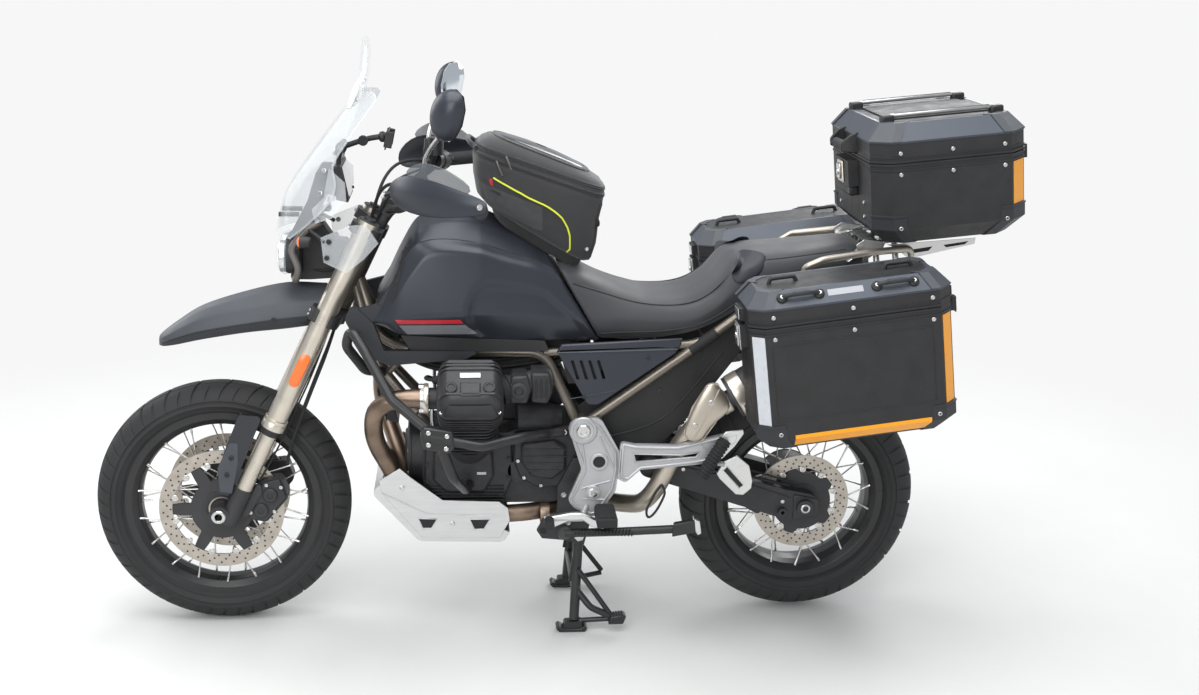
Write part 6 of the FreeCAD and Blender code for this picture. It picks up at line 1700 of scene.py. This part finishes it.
def cylinder(side):
    # finned collar of the head, then the cover's flange and bulge
    for k, (w, long, wide) in enumerate((
            (326, 158, 146),
            (337, 160, 148),
            (348, 162, 149),
            (359, 163, 150),
            (370, 163, 150))):
        side.skin("head_fin", [[bank_at(u, v, w + up) for u, v in round_outline(long - inset, wide - inset,
            30)] for up, inset in ((0, 1.6), (0.8, 0), (3.2, 0), (4, 1.6))], "engine", smooth=30, k=k)
    rows = [[bank_at(u, v, w) for u, v in round_outline(long, wide, corner, 8)] for w, long, wide,
        corner in ((381, 158, 142, 28), (382.5, 161, 145, 30), (392, 161, 145, 30), (394, 156, 140, 28),
        (408, 155, 139, 30), (426, 148, 128, 32), (440, 134, 110, 30), (447, 120, 95, 26),
        (449, 108, 84, 22))]
    cover = side.skin("cover_skin", rows, "cover", smooth=38)
    if side.sign > 0:
        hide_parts("head_covers")
    # ridges along the cover, each following its bulge: half of one as (u, down from its top)
    half = [(78, 44), (75.5, 22), (69, 7), (58, -2)]
    for k, (v, top, share) in enumerate((
            (-64, 429.5, 0.9),
            (-53, 443, 0.96),
            (-42, 449, 1),
            (-31, 450, 1),
            (37, 450, 1))):
        line = [(-u * share, top - down) for u, down in half]
        line += [(u * share, top - down) for u, down in reversed(half)]
        line += [(u * 0.9, w - 6) for u, w in reversed(line)]
        side.skin("cover_ridge", [[bank_at(u, v + dv, w) for u, w in line] for dv in (-2.6, 2.6)], "cover",
            smooth=30, bevel=0.6, k=k)
    # blank plate in the middle, the plugs beside it, and the face below
    bank_box(side, "cover_plate", (-25, 25), (-20, -6), (447.5, 451.5), "badge", 0.8)
    bank_box(side, "cover_land", (-27, 27), (4, 46), (441, 452), "cover", 3, taper=3)
    for k, u in enumerate((-47, 47)):
        side.turned("cover_plug", bank_at(u * 0.98, 20, 444), bank_way(0, 0, 1), ((0, 15), (8, 15),
            (10, 13), (10, 9), (8, 8), (8, 0)), "engine", steps=30, k=k)
    side.bolts("cover_bolts", [bank_at(u, v, 394) for u in (-70, 70) for v in (-60, 0, 60)],
        bank_way(0, 0, 1), 5, "steel", high=5)
    # lower face of the cover: a broad smooth trapezoid with a raised edge
    side.skin("cover_face", [[bank_at(-u, v, w), bank_at(-u * 0.5, v + 1.2, w), bank_at(u * 0.5, v + 1.2,
        w), bank_at(u, v, w)] for w, u, v in ((396, 70, 70.5), (400, 66, 74.5), (424, 58, 69.5),
        (436, 50, 61))], "cover", closed=False, caps=False, smooth=40)
    # spark lead with its boot, and the oil pipe along the barrel
    lead = [(76, -46, 366), (100, -48, 364), (112, -66, 340), (104, -96, 296), (70, -110, 230)]
    side.bent("plug_lead", [bank_at(*place) for place in lead] + [(880, 70, 740)], 4.5, "grip")
    side.turned("plug_boot", bank_at(74, -46, 366), bank_way(1, 0, 0), ((0, 11), (4, 12), (16, 9), (20, 5)),
        "grip", steps=20)
    oil = [(79, -20, 350), (92, -20, 320), (96, 0, 260), (92, 10, 200), (76, 10, 170)]
    side.bent("oil_pipe", [bank_at(*place) for place in oil], 5, "steel")


def intake(side):
    # intake: rubber joint, throttle body with its round hole, and three slots behind it
    side.turned("intake_joint", (812, 229, 692), (-0.9, -0.25, 0.25), ((0, 33), (4, 35), (10, 35), (12, 32),
        (18, 32), (22, 35), (28, 35), (30, 31)), "grip")
    side.prism("throttle", [(790, 668), (748, 666), (738, 700), (746, 738), (786, 736), (796, 704)], 176,
        252, "engine", bevel=6)
    side.turned("throttle_ring", (768, 252, 700), (0, 1, 0), ((0, 21), (4, 21), (6, 18), (6, 12), (1, 10),
        (1, 0)), "cast_black")
    side.prism("air_box", [(736, 664), (696, 660), (684, 690), (690, 738), (738, 740)], 150, 236, "engine",
        bevel=6)
    for k in range(3):
        side.prism("air_slot", [(728 - 13 * k, 676), (722 - 13 * k, 676), (722 - 13 * k, 724),
            (728 - 13 * k, 724)], 234, 238, "grip", k=k)


def header_clamps(side):
    # header flange with two nuts, and clamp rings further down
    side.turned("port_flange", (990, 238, 678), (1, 0, 0), ((0, 26), (0, 37), (3, 38), (9, 38), (12, 36),
        (12, 24)), "champagne", steps=36)
    side.bolts("port_nuts", [(1002, 238, 678 + dz) for dz in (-31, 31)], (1, 0, 0), 7, "steel", high=12)
    side.turned("header_ring", (704, 96, 318), (-1, 0, 0), ((0, 23.4), (0, 28), (4, 29), (20, 29), (24, 28),
        (24, 23.4)), "header", steps=36)
    side.bolts("header_ring_bolt", [(692, 125, 318)], (0, 1, 0), 5, "steel", high=8)


def crash_bar_clamp(side):
    # crash bar clamp: two halves with four bolts
    side.prism("bar_clamp", [(1000, 646), (930, 632), (926, 592), (940, 578), (1002, 590), (1010, 620)],
        338, 367, "bar_black", bevel=4)
    side.bolts("bar_clamp_bolts", [(988, 367, 632), (944, 367, 623), (988, 367, 602), (946, 367, 592)],
        (0, 1, 0), 6.5, "steel", high=5)
    side.bolts("bar_foot_bolts", [(648, 172, 566), (893, 148, 410)], (0, 1, 0), 7, "steel", high=6)


CASE_FACE, STEP_FACE = 112, 126        # crankcase side cover and the step on it
GEAR_FACE, GEAR_STEP_FACE = 118, 132   # the same on the gearbox


def case_side(side):
    # side covers of crankcase and gearbox, stepped, with bolts round them
    outline = [(1002, 520), (1006, 408), (962, 366), (800, 366), (776, 420), (780, 520), (820, 536)]
    side.prism("case_cover", outline, 98, CASE_FACE, "engine", bevel=5)
    side.prism("case_step", [(980, 500), (984, 420), (950, 386), (850, 386), (826, 430), (830, 500)],
        CASE_FACE, STEP_FACE, "engine", bevel=7)
    for k in range(5):
        side.prism("case_fin", [(990 - 3 * k, 400 - 9 * k), (800, 400 - 9 * k), (800, 396.5 - 9 * k),
            (988 - 3 * k, 396.5 - 9 * k)], 97, 118, "engine", bevel=0.8, k=k)
    places = [(994, 508), (998, 460), (996, 412), (954, 374), (880, 374), (808, 374), (786, 424),
        (788, 474), (792, 514)]
    side.bolts("case_bolts", [(x, CASE_FACE, z) for x, z in places], (0, 1, 0), 5.5, "cast_black", high=4.5)
    outline = [(772, 546), (776, 470), (758, 420), (706, 392), (640, 398), (610, 440), (606, 520),
        (630, 548)]
    side.prism("gear_cover", outline, 98, GEAR_FACE, "engine", bevel=6)
    outline = [(756, 520), (756, 470), (730, 430), (676, 420), (640, 450), (640, 510), (670, 528)]
    side.prism("gear_step", outline, GEAR_FACE, GEAR_STEP_FACE, "engine", bevel=7)
    for k, (z, low, high) in enumerate((
            (505, 640, 750),
            (486, 640, 754),
            (467, 646, 752),
            (448, 656, 740))):
        side.bent("gear_line", [(low, GEAR_STEP_FACE, z), (high, GEAR_STEP_FACE, z)], 2.2, "engine",
            smooth=False, k=k)
    places = [(766, 536), (764, 470), (748, 424), (704, 402), (646, 408), (618, 446), (616, 516),
        (690, 540)]
    side.bolts("gear_bolts", [(x, GEAR_FACE, z) for x, z in places], (0, 1, 0), 5.5, "steel", high=4.5)
    side.prism("side_badge", [(870, 443), (846, 443), (846, 436), (870, 436)], 125.5, 127.2, "badge",
        bevel=0.4)


def engine_front():
    # starter motor over the gearbox and the alternator's front cover
    turned("starter", (770, 96, 586), (-1, 0, 0), ((0, 0), (0, 26), (6, 34), (90, 34), (96, 30), (118, 26),
        (120, 0)), "engine", steps=36)
    profile = [(0, 92), (2, 94), (6, 94), (10, 88), (12, 60), (18, 56), (18, 30), (14, 26), (14, 0)]
    turned("front_cover", (1038, 0, 462), (1, 0, 0), profile, "engine", steps=60)
    ring = [(1044, 82 * math.cos(math.pi * k / 4 + 0.3), 462 + 82 * math.sin(math.pi * k / 4 + 0.3))
        for k in range(8)]
    bolts("front_cover_bolts", ring, (1, 0, 0), 5, "steel", high=5)


def oil_cooler():
    # oil cooler below the steering head
    prism("cooler", [(1092, 640), (1120, 648), (1098, 566), (1070, 558)], -72, 72, "engine", bevel=3)
    for k in range(13):
        t = k / 12
        x, z = 1122.5 - 22 * t, 643 - 78 * t
        prism(f"cooler_fin_{k}", [(x, z), (x + 3, z + 1), (x + 3, z - 1), (x, z - 2)], -66, 66,
            "cast_black", bevel=0.3)


def engine():
    for side in both_sides():
        cylinder(side)
        intake(side)
        header_clamps(side)
        crash_bar_clamp(side)
        case_side(side)
    engine_front()
    oil_cooler()


def pipe(name, points, radius, mat, steps=9, sides=24):
    """A bent pipe as mesh: a curve that touches the middle of each run between the points."""
    places = [Vector(points[0])]
    for a, b, c in zip(points, points[1:], points[2:]):
        a, b, c = Vector(a), Vector(b), Vector(c)
        first = a if a == Vector(points[0]) else (a + b) / 2
        last = c if c == Vector(points[-1]) else (b + c) / 2
        for k in range(1, steps + 1):
            t = k / steps
            places.append(first * (1 - t) ** 2 + b * 2 * t * (1 - t) + last * t * t)
    rows = []
    across = (places[1] - places[0]).orthogonal().normalized()
    for k, place in enumerate(places):
        way = (places[min(k + 1, len(places) - 1)] - places[max(k - 1, 0)]).normalized()
        across = (across - way * across.dot(way)).normalized()
        third = way.cross(across)
        rows.append([tuple(place + (across * math.cos(a) + third * math.sin(a)) * radius)
            for a in (2 * math.pi * j / sides for j in range(sides))])
    return skin(name, rows, mat, smooth=60)


SILENCER_FOOT = Vector((222, 178, 655))
SILENCER_LEAN = math.radians(32)
SILENCER_WAY = Vector((-math.cos(SILENCER_LEAN), 0, math.sin(SILENCER_LEAN)))


def on_silencer(along):
    return SILENCER_FOOT + SILENCER_WAY * along


def headers():
    for side in both_sides():
        sign, hand = side.sign, side.hand
        route = [(x, sign * y, z) for x, y, z in ((990.3, 238, 678), (1112, 240, 684), (1136, 196, 570),
            (1084, 112, 440), (1038, 106, 322), (900, 100, 315), (700, 96, 318), (610, 30, 320))]
        made = pipe("header_" + hand, route, 23.3, "header")
        if sign > 0:
            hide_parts("exhaust_headers")
        side.turned("header_flange", (992, 238, 678), (1, 0, 0), ((0, 23), (0, 33), (7, 33), (9, 28),
            (18, 26.5), (18, 23)), "steel", steps=36)
        turned(f"header_weld_{hand}", (860, sign * 99.2, 315.4), (-1, -0.02 * sign, 0.01), ((0, 23),
            (0, 25.6), (8, 25.6), (8, 23)), "header")
    turned("collector", (644, 0, 320), (-1, 0, 0), ((0, 20), (3, 30), (12, 33.4), (116, 33.4), (124, 28),
        (126, 20)), "header", steps=40)
    route = [(560, 0, 320), (480, 60, 322), (420, 148, 362), (350, 157, 530), on_silencer(-70),
        on_silencer(3)]
    loop = [(394, 420), (382, 404), (394, 372), (410, 342), (428, 327), (434, 350), (420, 378), (408, 404),
        (394, 420)]
    bent("riser_loop", [(x, 176, z) for x, z in loop], 3.2, "plastic")
    pipe("riser", route, 24.2, "shield")


headers()


def heat_shield():
    # pressed heat shield: a domed sheet over the drawn plate, with bolts and a folded edge
    edge = [(352, 560), (338, 612), (312, 672), (290, 706), (264, 704), (240, 666), (226, 642), (246, 616),
        (270, 600), (288, 570), (300, 548), (326, 548)]
    middle = (296, 622)
    rows = []
    for share, y in ((1.0, 208.5), (1.0, 211), (0.96, 214.5), (0.8, 219), (0.5, 222), (0.15, 223)):
        rows.append([(middle[0] + (x - middle[0]) * share, y, middle[1] + (z - middle[1]) * share)
            for x, z in edge])
    skin("shield_skin", rows, "shield", smooth=40, levels=1)
    bolts("shield_bolts", [(322, 219.5, 596), (282, 219.5, 656)], (0, 1, 0), 8, "steel")
    bent("shield_crease", [(262, 219, 690), (284, 222.3, 640), (306, 222.3, 590), (322, 218.5, 562)], 1.8,
        "shield")


def skid_plate():
    # skid plate: taller cheeks with dark windows, a fold line and bolts
    cheek = [(1067, 464), (1040, 440), (958, 376), (813, 370), (790, 352), (785, 317), (811, 270),
        (1010, 272), (1112, 396), (1120, 431)]
    for side in both_sides():
        sign, hand = side.sign, side.hand
        side.prism("skid_cheek", cheek, 148.2, 151.2, "bash", bevel=1.2)
        for k, outline in enumerate((
                ((1021, 327), (973, 325), (987, 299), (1010, 300)),
                ((889, 323), (837, 322), (852, 295), (877, 295)))):
            side.prism("skid_window", list(outline), 150.8, 151.7, "grip", bevel=0.3, k=k)
            rim = [(x, sign * 151.6, z) for x, z in outline]
            bent(f"skid_rim_{hand}_{k}", rim, 2.0, "bash", smooth=False, cyclic=True)
        side.bent("skid_fold", [(1113, 151, 398), (1000, 151.2, 340), (920, 151.2, 336), (788, 151, 330)],
            2.2, "bash", smooth=False)
        side.bolts("skid_bolts", [(1062, 151, 412), (934, 151, 312)], (0, 1, 0), 7, "steel")
    for k in range(3):
        x = 1086 - 26 * k
        z = 346 - 26 * k
        prism(f"skid_vent_{k}", [(x, z), (x - 10, z - 11), (x - 11.5, z - 9.5), (x - 1.5, z + 1.5)], -60,
            60, "grip", bevel=0.3)


def exhaust_and_guards():
    turned("silencer_band", on_silencer(4), SILENCER_WAY, ((0, 40), (2, 55), (6, 58.6), (36, 58.6),
        (38, 57.2)), "champagne", steps=56)
    turned("silencer_band_rear", on_silencer(330), SILENCER_WAY, ((0, 57.2), (2, 58.6), (20, 58.6),
        (22, 57.2)), "champagne", steps=56)
    turned("silencer_mouth", on_silencer(372), SILENCER_WAY, ((0, 26), (0, 52), (4, 50), (8, 30), (32, 26),
        (32, 20)), "steel", steps=48)
    across = Vector((math.sin(SILENCER_LEAN), 0, math.cos(SILENCER_LEAN)))
    places = [on_silencer(373) + (across * math.cos(a) + Vector((0, math.sin(a), 0))) * 40
        for a in (0.6, 2.2, 3.8, 5.4)]
    bolts("silencer_cap_bolts", places, SILENCER_WAY, 4.5, "steel", high=5)
    turned("riser_ring", on_silencer(-34), SILENCER_WAY, ((0, 24.4), (0, 30), (5, 31), (22, 31), (26, 29),
        (26, 24.4)), "champagne", steps=40)
    heat_shield()
    skid_plate()


engine()
exhaust_and_guards()


# Footplates, stands, swing arm, tail and inner panels

COIL_STEPS = 16                        # runs in one turn of a spring


def coil(name, start, end, radius, wire, turns, mat, body="chassis"):
    a, b = Vector(start), Vector(end)
    along = (b - a).normalized()
    side, other = across_of(along)
    steps = turns * COIL_STEPS
    path = []
    for k in range(steps + 1):
        turn = 2 * math.pi * k / COIL_STEPS
        path.append(a.lerp(b, k / steps) + side * radius * math.cos(turn) + other * radius * math.sin(turn))
    return bent(name, path, wire, mat, smooth=False, body=body)


# outer faces of the drawn parts that the trim stands on
PLATE_FACE = 193                       # casting of the footplate
HANGER_FACE = 204
PANEL_FACE = 176                       # side panel
BRACKET_FACE = 131.6                   # black stand bracket
INNER_FACE = 123                       # inner panel

PLATE = [(634, 596), (622, 606), (577, 606), (556, 590), (512, 520), (508, 470), (520, 412), (562, 346),
    (580, 342), (622, 366), (634, 380), (604, 462), (612, 506), (640, 580)]
HANGER = [(504, 546), (470, 538), (355, 535), (258, 558), (206, 570), (208, 552), (272, 494), (310, 488),
    (404, 478), (458, 474), (490, 444), (508, 450)]
WINDOW = [(474, 516), (350, 512), (304, 519), (312, 505), (468, 494)]


def plate_castings(side):
    # casting: bevelled face over the drawn plate, raised edge, ribs, bosses and bolts
    side.prism("plate_face", PLATE, 177.6, PLATE_FACE, "casting", bevel=4)
    inner = []
    middle = Vector((572, 478))
    for x, z in PLATE:
        way = Vector((x, z)) - middle
        inner.append(tuple(middle + way * (1 - 9 / way.length)))
    side.rim("plate_rim", inner, PLATE_FACE, 3.6, "casting")
    for k, line in enumerate((
            ((560, 560), (520, 470)),
            ((606, 560), (594, 470)),
            ((530, 440), (604, 420)),
            ((545, 388), (600, 392)))):
        side.bent("plate_rib", [(x, PLATE_FACE, z) for x, z in line], 3, "casting", smooth=False, k=k)
    side.turned("frame_boss", (602, 192, 576), (0, 1, 0), ((0, 36), (3, 36), (6, 33), (6, 27), (9.5, 26),
        (9.5, 22), (8.4, 20), (8.4, 0)), "casting", steps=48)
    side.turned("frame_bolt", (602, 200, 576), (0, 1, 0), ((0.3, 18), (3, 18), (5, 16), (5, 9), (1.5, 8),
        (1.5, 0)), "steel", steps=12)
    side.turned("hole_ring", (560, 192, 492), (0, 1, 0), ((0, 23), (4, 23), (5.5, 21), (5.5, 16),
        (2, 15.5)), "casting", steps=36)
    side.turned("hole_dark", (560, 192.8, 492), (0, 1, 0), ((0, 16), (1, 16), (1, 0)), "grip", steps=28)
    side.turned("low_boss", (574, 192, 410), (0, 1, 0), ((0, 19), (4, 19), (6, 17), (6, 0)), "casting")
    side.turned("low_bolt", (574, 198, 410), (0, 1, 0), ((0, 12), (3, 12), (4, 10), (4, 6), (1, 5), (1, 0)),
        "steel", steps=20)


def hanger(side):
    # hanger: raised edges round arm and window, and the seam against the casting
    ring = [(x + (4 if x < 380 else -4), z + (-4.8 if z > 505 else 4.8)) for x, z in HANGER]
    side.rim("hanger_rim", ring, HANGER_FACE, 4.2, "casting")
    side.rim("hanger_window_rim", WINDOW, HANGER_FACE, 3, "casting")
    for k in range(7):
        side.prism("hanger_tooth", [(300 - 6 * k, 537 - 5 * k), (296 - 6 * k, 537 - 5 * k),
            (291 - 6 * k, 522 - 5 * k), (295 - 6 * k, 522 - 5 * k)], 203, 207, "casting", bevel=0.8, k=k)
    side.prism("hanger_seam", [(504, 530), (498, 530), (502, 466), (508, 466)], 192.4, 204.6, "grip",
        bevel=0.6)


def passenger_peg(side):
    # passenger peg in ribbed rubber, its bright fin and slotted guard
    start, end = Vector((298, side.sign * 222, 460)), Vector((242, side.sign * 222, 556))
    long = (end - start).length
    profile = [(0, 10), (0, 17)] + ribs(11, 3, 9.5, ((0, 15.5), (2, 18), (6, 18), (8, 15.5)))
    profile += [(long, 17), (long, 0)]
    turned(f"rear_rubber_{side.hand}", start, (end - start).normalized(), profile, "grip", steps=20)
    side.prism("heel_fin", [(246, 566), (238, 574), (194, 580), (192, 568), (214, 534), (246, 500),
        (258, 512)], 203, 208, "alu", bevel=1.6)
    guard = [(258, 462), (250, 448), (206, 404), (186, 402), (166, 420), (164, 440), (174, 482), (206, 510),
        (240, 494)]
    side.prism("heel_guard", guard, 204, 209, "alu", bevel=1.6)
    side.prism("heel_slot", [(240, 470), (196, 422), (188, 430), (232, 480)], 208.4, 209.6, "grip",
        bevel=0.4)
    side.rim("heel_slot_rim", [(242, 470), (197, 420), (186, 430), (232, 482)], 209.2, 1.6, "alu")
    side.bent("heel_stem", [(262, 206, 490), (238, 206, 486)], 7, "casting", smooth=False)


def rider_peg(side):
    # rider's peg: rubber block with cross ribs on the drawn bar
    for k in range(9):
        low = 204 + k * 10
        points = [(521, 369), (569, 369), (569, 379), (562, 382), (528, 382), (521, 379)]
        side.prism("peg_rib", points, low, low + 6.4, "grip", bevel=1.2, k=k)
    side.prism("peg_pad", [(519, 350), (571, 350), (571, 376), (519, 376)], 200, 296, "grip", bevel=4)


def foot_lever(side):
    # shift lever and brake pedal: a cranked bright blade with a rubber toe piece
    lever = [(700, 342), (690, 330), (676, 328), (634, 347), (604, 349), (578, 328), (548, 322), (546, 340),
        (572, 350), (600, 365), (636, 366), (690, 358)]
    side.prism("foot_lever", lever, 214.6, 231, "alu", bevel=3)
    profile = [(0, 9.2)] + ribs(7, 1, 5.4, ((0, 10), (1, 12), (3.6, 12), (4.6, 10))) + [(40, 11), (41, 0)]
    side.turned("toe_rubber", (688, 232, 350), (0, 1, 0), profile, "grip", steps=20)


def stand_bracket(side):
    # black stand bracket in front of the drawn one, with its bolts and holes
    bracket = [(661, 401), (661, 316), (696, 314), (714, 280), (700, 258), (640, 252), (589, 239),
        (559, 360), (559, 481), (621, 481)]
    side.prism("stand_plate", bracket, 118.6, BRACKET_FACE, "cast_black", bevel=1.5)
    side.bolts("stand_bolts", [(632, BRACKET_FACE, 302), (682, BRACKET_FACE, 304),
        (645, BRACKET_FACE, 380)], (0, 1, 0), 7.5, "steel", high=5)
    side.turned("stand_hole", (697, 131.4, 280), (0, 1, 0), ((0, 9), (1.4, 9), (1.4, 6), (0.4, 6),
        (0.4, 0)), "grip", steps=20)


def inner_panel(side):
    # inner panels behind the frame tubes
    panel = [(628, 604), (430, 776), (300, 800), (200, 866), (150, 848), (196, 760), (270, 660), (330, 580),
        (392, 512), (520, 500), (584, 540)]
    side.prism("inner_panel", panel, 119, INNER_FACE, "plastic", bevel=1.5)
    side.bent("inner_fold", [(560, INNER_FACE, 530), (420, INNER_FACE, 556), (330, INNER_FACE, 640),
        (240, INNER_FACE, 764)], 2.6, "plastic")
    side.bolts("inner_bolts", [(540, INNER_FACE, 552), (400, INNER_FACE, 660), (300, INNER_FACE, 760)],
        (0, 1, 0), 6.5, "cast_black", high=3, sides=14)


def side_panel(side):
    # side panel: dark backing behind the slots, a fold line and two clips
    side.prism("slot_back", [(660, 766), (556, 766), (556, 692), (640, 692)], 161, 163.6, "grip", bevel=0.5)
    side.bent("panel_fold", [(636, PANEL_FACE, 655), (585, 176.6, 664), (520, PANEL_FACE, 676)], 1.5,
        "graphite", smooth=False)
    # lighter blue-grey bead along the panel's top edge: a painted highlight on the graphite edge
    side.bent("panel_edge", [(668, PANEL_FACE, 776), (500, 176.4, 780), (366, PANEL_FACE, 784)], 2.2,
        "case_bevel", smooth=False)
    side.prism("panel_top", [(672, 774), (660, 797), (352, 812), (360, 786)], 163, PANEL_FACE, "graphite",
        bevel=4)
    side.bolts("panel_clips", [(440, PANEL_FACE, 762), (600, PANEL_FACE, 660)], (0, 1, 0), 5.5, "plastic",
        high=2.5, sides=14)


def tube_sleeve(side):
    # rubber sleeve on the frame's upper rear tube
    a, b = Vector((330, side.sign * 150.2, 774)), Vector((262, side.sign * 150, 822))
    turned(f"tube_sleeve_{side.hand}", a, (b - a).normalized(), ((0, 13.2), (1, 15.4), (80, 15.4),
        (82, 13.2)), "grip", steps=24)


def machine_middle():
    # middle of the machine between engine and tank: air box, wiring and hoses
    prism("air_case", [(1070, 792), (1058, 742), (990, 712), (720, 706), (640, 736), (606, 780),
        (640, 792)], -86, 86, "plastic", bevel=6)
    prism("valley_block", [(940, 556), (940, 704), (650, 704), (636, 610), (690, 556)], -46, 46, "plastic",
        bevel=6)
    # dark panel behind the steering head, under the tank's front: painted shade that fills a see-through gap
    # where there is only shadow
    prism("neck_panel", [(1052, 720), (1046, 800), (1104, 826), (1140, 800), (1090, 730)], -42, 42,
        "plastic", bevel=4)
    for k, (y, z, radius) in enumerate(((96, 742, 5), (108, 726, 4), (92, 712, 6))):
        for sign, hand in SIDES:
            bent(f"loom_{hand}_{k}", [(1060, sign * y * 0.6, z + 30), (1000, sign * y, z),
                (880, sign * (y + 6), z - 8), (760, sign * y, z), (680, sign * (y - 6), z + 14),
                (640, sign * 90, z + 26)], radius, "grip")
    coil("shock_spring", (343, -70, 538), (406, -70, 718), 31, 5.2, 8, "steel")


def footplates():
    for side in both_sides():
        plate_castings(side)
        hanger(side)
        passenger_peg(side)
        rider_peg(side)
        foot_lever(side)
        stand_bracket(side)
        inner_panel(side)
        side_panel(side)
        tube_sleeve(side)
    machine_middle()


def stands():
    turned("stand_roller", (608, -136, 110), (0, 1, 0), ((0, 0), (0, 12), (3, 13), (268, 13), (271, 12),
        (271, 0)), "bar_black", steps=24, body="centre_stand")
    for side in both_sides("centre_stand"):
        # feet with turned-up ends, gussets between the legs, and the pivot bolt
        foot = [(578, 10), (584, 1), (652, 1), (662, 12), (655, 18), (640, 10), (596, 10), (586, 18)]
        side.prism("stand_sole", foot, 122, 160, "bar_black", bevel=2)
        side.prism("stand_gusset", [(596, 128), (628, 128), (618, 196), (602, 196)], 112, 117, "bar_black")
        side.turned("stand_nut", (602, 131.4, 262), (0, 1, 0), ((0, 13), (3, 13), (3, 10), (9, 10), (10, 8),
            (10, 0)), "steel", steps=6, body="chassis")
        # brace and lower bar beside each leg
        side.bent("stand_brace", [(604, 128, 168), (514, 150, 42)], 7, "bar_black", smooth=False)
        side.bent("stand_bar", [(612, 134, 22), (514, 150, 34)], 7, "bar_black", smooth=False)
    # tread of the foot lever
    prism("tang_pad", [(524, 26), (484, 26), (476, 48), (484, 52), (518, 48)], 140, 172, "bar_black",
        bevel=3, body="centre_stand")
    for k in range(5):
        prism(f"tang_rib_{k}", [(486 + 7 * k, 50 - 0.8 * k), (489 + 7 * k, 50 - 0.8 * k),
            (489 + 7 * k, 54 - 0.8 * k), (486 + 7 * k, 54 - 0.8 * k)], 142, 170, "grip", bevel=0.4,
            body="centre_stand")
    # side stand: foot plate with bright edge, and spring
    prism("side_sole", [(368, 292), (366, 326), (306, 338), (300, 304)], 209, 217, "bar_black", bevel=2,
        body="side_stand")
    prism("side_edge", [(312, 340), (298, 336), (292, 300), (302, 296), (308, 306)], 186, 218, "alu",
        bevel=2, body="side_stand")
    coil("side_spring", (628, 206, 306), (472, 216, 305), 7.4, 2.0, 18, "bar_black", body="side_stand")


def final_drive():
    x, z = REAR_AXLE
    # final drive cover with its bolts on the right, and the ribbed boot of the shaft
    turned("drive_cover", (x, -140, z), (0, -1, 0), ((-4, 75.5), (0, 75.5), (4, 72), (4, 56), (9, 52),
        (9, 30), (14, 26), (14, 0)), "cast_black", steps=60)
    ring = [(x + 64 * math.cos(math.pi * k / 4 + 0.2), -144, z + 64 * math.sin(math.pi * k / 4 + 0.2))
        for k in range(8)]
    bolts("drive_bolts", ring, (0, -1, 0), 5.5, "steel", high=5)
    profile = [(0, 23)] + ribs(7, 4, 7, ((0, 26), (2.5, 32), (5, 26))) + [(56, 23)]
    turned("shaft_boot", (448, -108, 462.5), (1, 0, 0.07), profile, "grip")


def tail():
    # number plate, left blank, its lamp, the tail lens and the indicators
    prism("plate_blank", [(-308, 668), (-355, 850), (-357, 849.5), (-310, 667.5)], -86, 86, "plate",
        bevel=0.6)
    bolts("plate_screws", [(-334, y, 762) for y in (-64, 64)], (-0.97, 0, -0.25), 4, "plastic", sides=12)
    prism("plate_lamp", [(-336, 874), (-318, 880), (-300, 868), (-322, 862)], -26, 26, "plastic", bevel=3)
    prism("rear_reflector", [(-304, 640), (-312, 664), (-315, 663), (-307, 639)], -30, 30, "red")
    for k in range(4):
        prism(f"tail_rib_{k}", [(-282.5, 962 - 7 * k), (-286, 960 - 7 * k), (-286, 957 - 7 * k),
            (-282.5, 958 - 7 * k)], -54, 54, "red", bevel=0.8)
    prism("tail_bezel", [(-246, 972), (-262, 972), (-264, 926), (-246, 924)], -64, 64, "plastic", bevel=3)
    for side in both_sides():
        sign, hand = side.sign, side.hand
        side.turned("tail_signal", (-288, 100, 890), (-1, 0, 0), ((0, 16.4), (3, 15), (8, 10), (9, 0)),
            "orange", steps=28)
        side.turned("tail_signal_rim", (-286, 100, 890), (1, 0, 0), ((0, 16.6), (46, 16.6), (52, 12),
            (52, 0)), "plastic", steps=28)
        # ends of the grab rails
        side.turned("rail_foot", (40, 146, 944), (0.1, 0.3, 0.95), ((0, 9.4), (0, 14), (6, 14), (10, 10),
            (10, 9.2)), "plastic", steps=24)
        # rack: a bright latch plate that holds the pannier in front, and bolts in front and behind
        side.bolts("rack_bolts", [(190, 163, 872), (-210, 128, 980)], (0, 1, 0), 8, "steel", high=5)
        box(f"rack_latch_{hand}", Case((-38, sign * 246, 640), 7.5, 1, 1, 1, 0, 0), (150, 196), (-10, 12),
            (226, 262), "alu", 3)


def rear_end():
    x, z = REAR_AXLE
    turned("axle_washer", (x, 112.2, z), (0, 1, 0), ((0, 26), (3, 26), (5, 24), (5, 0)), "cast_black",
        steps=40)
    bolts("axle_nut", [(x, 117, z)], (0, 1, 0), 19, "steel", high=10)
    turned("axle_end", (x, 124, z), (0, 1, 0), ((0, 12.5), (6, 12.5), (7, 11), (7, 8), (2, 7.5), (2, 0)),
        "steel")
    prism("arm_clamp", [(-38, 352), (30, 366), (30, 292), (-38, 306)], 111, 117, "cast_black", bevel=4)
    for k, (px, pz) in enumerate(((-26, 340), (-26, 318), (60, 346), (200, 396), (330, 440))):
        bolts(f"arm_bolt_{k}", [(px, 112, pz)], (0, 1, 0), 6, "steel")
    bent("arm_seam", [(40, 112, 356), (240, 112, 424), (400, 112, 462)], 2.4, "cast_black", smooth=False)
    bent("rear_hose", [(40, 96, 384), (160, 116, 420), (300, 118, 466), (420, 122, 500), (520, 110, 560)],
        4, "grip")
    bent("rear_wire", [(30, 92, 392), (150, 113, 434), (290, 112, 480), (410, 118, 520), (500, 100, 590)],
        2.6, "grip")
    final_drive()
    tail()


footplates()
stands()
rear_end()
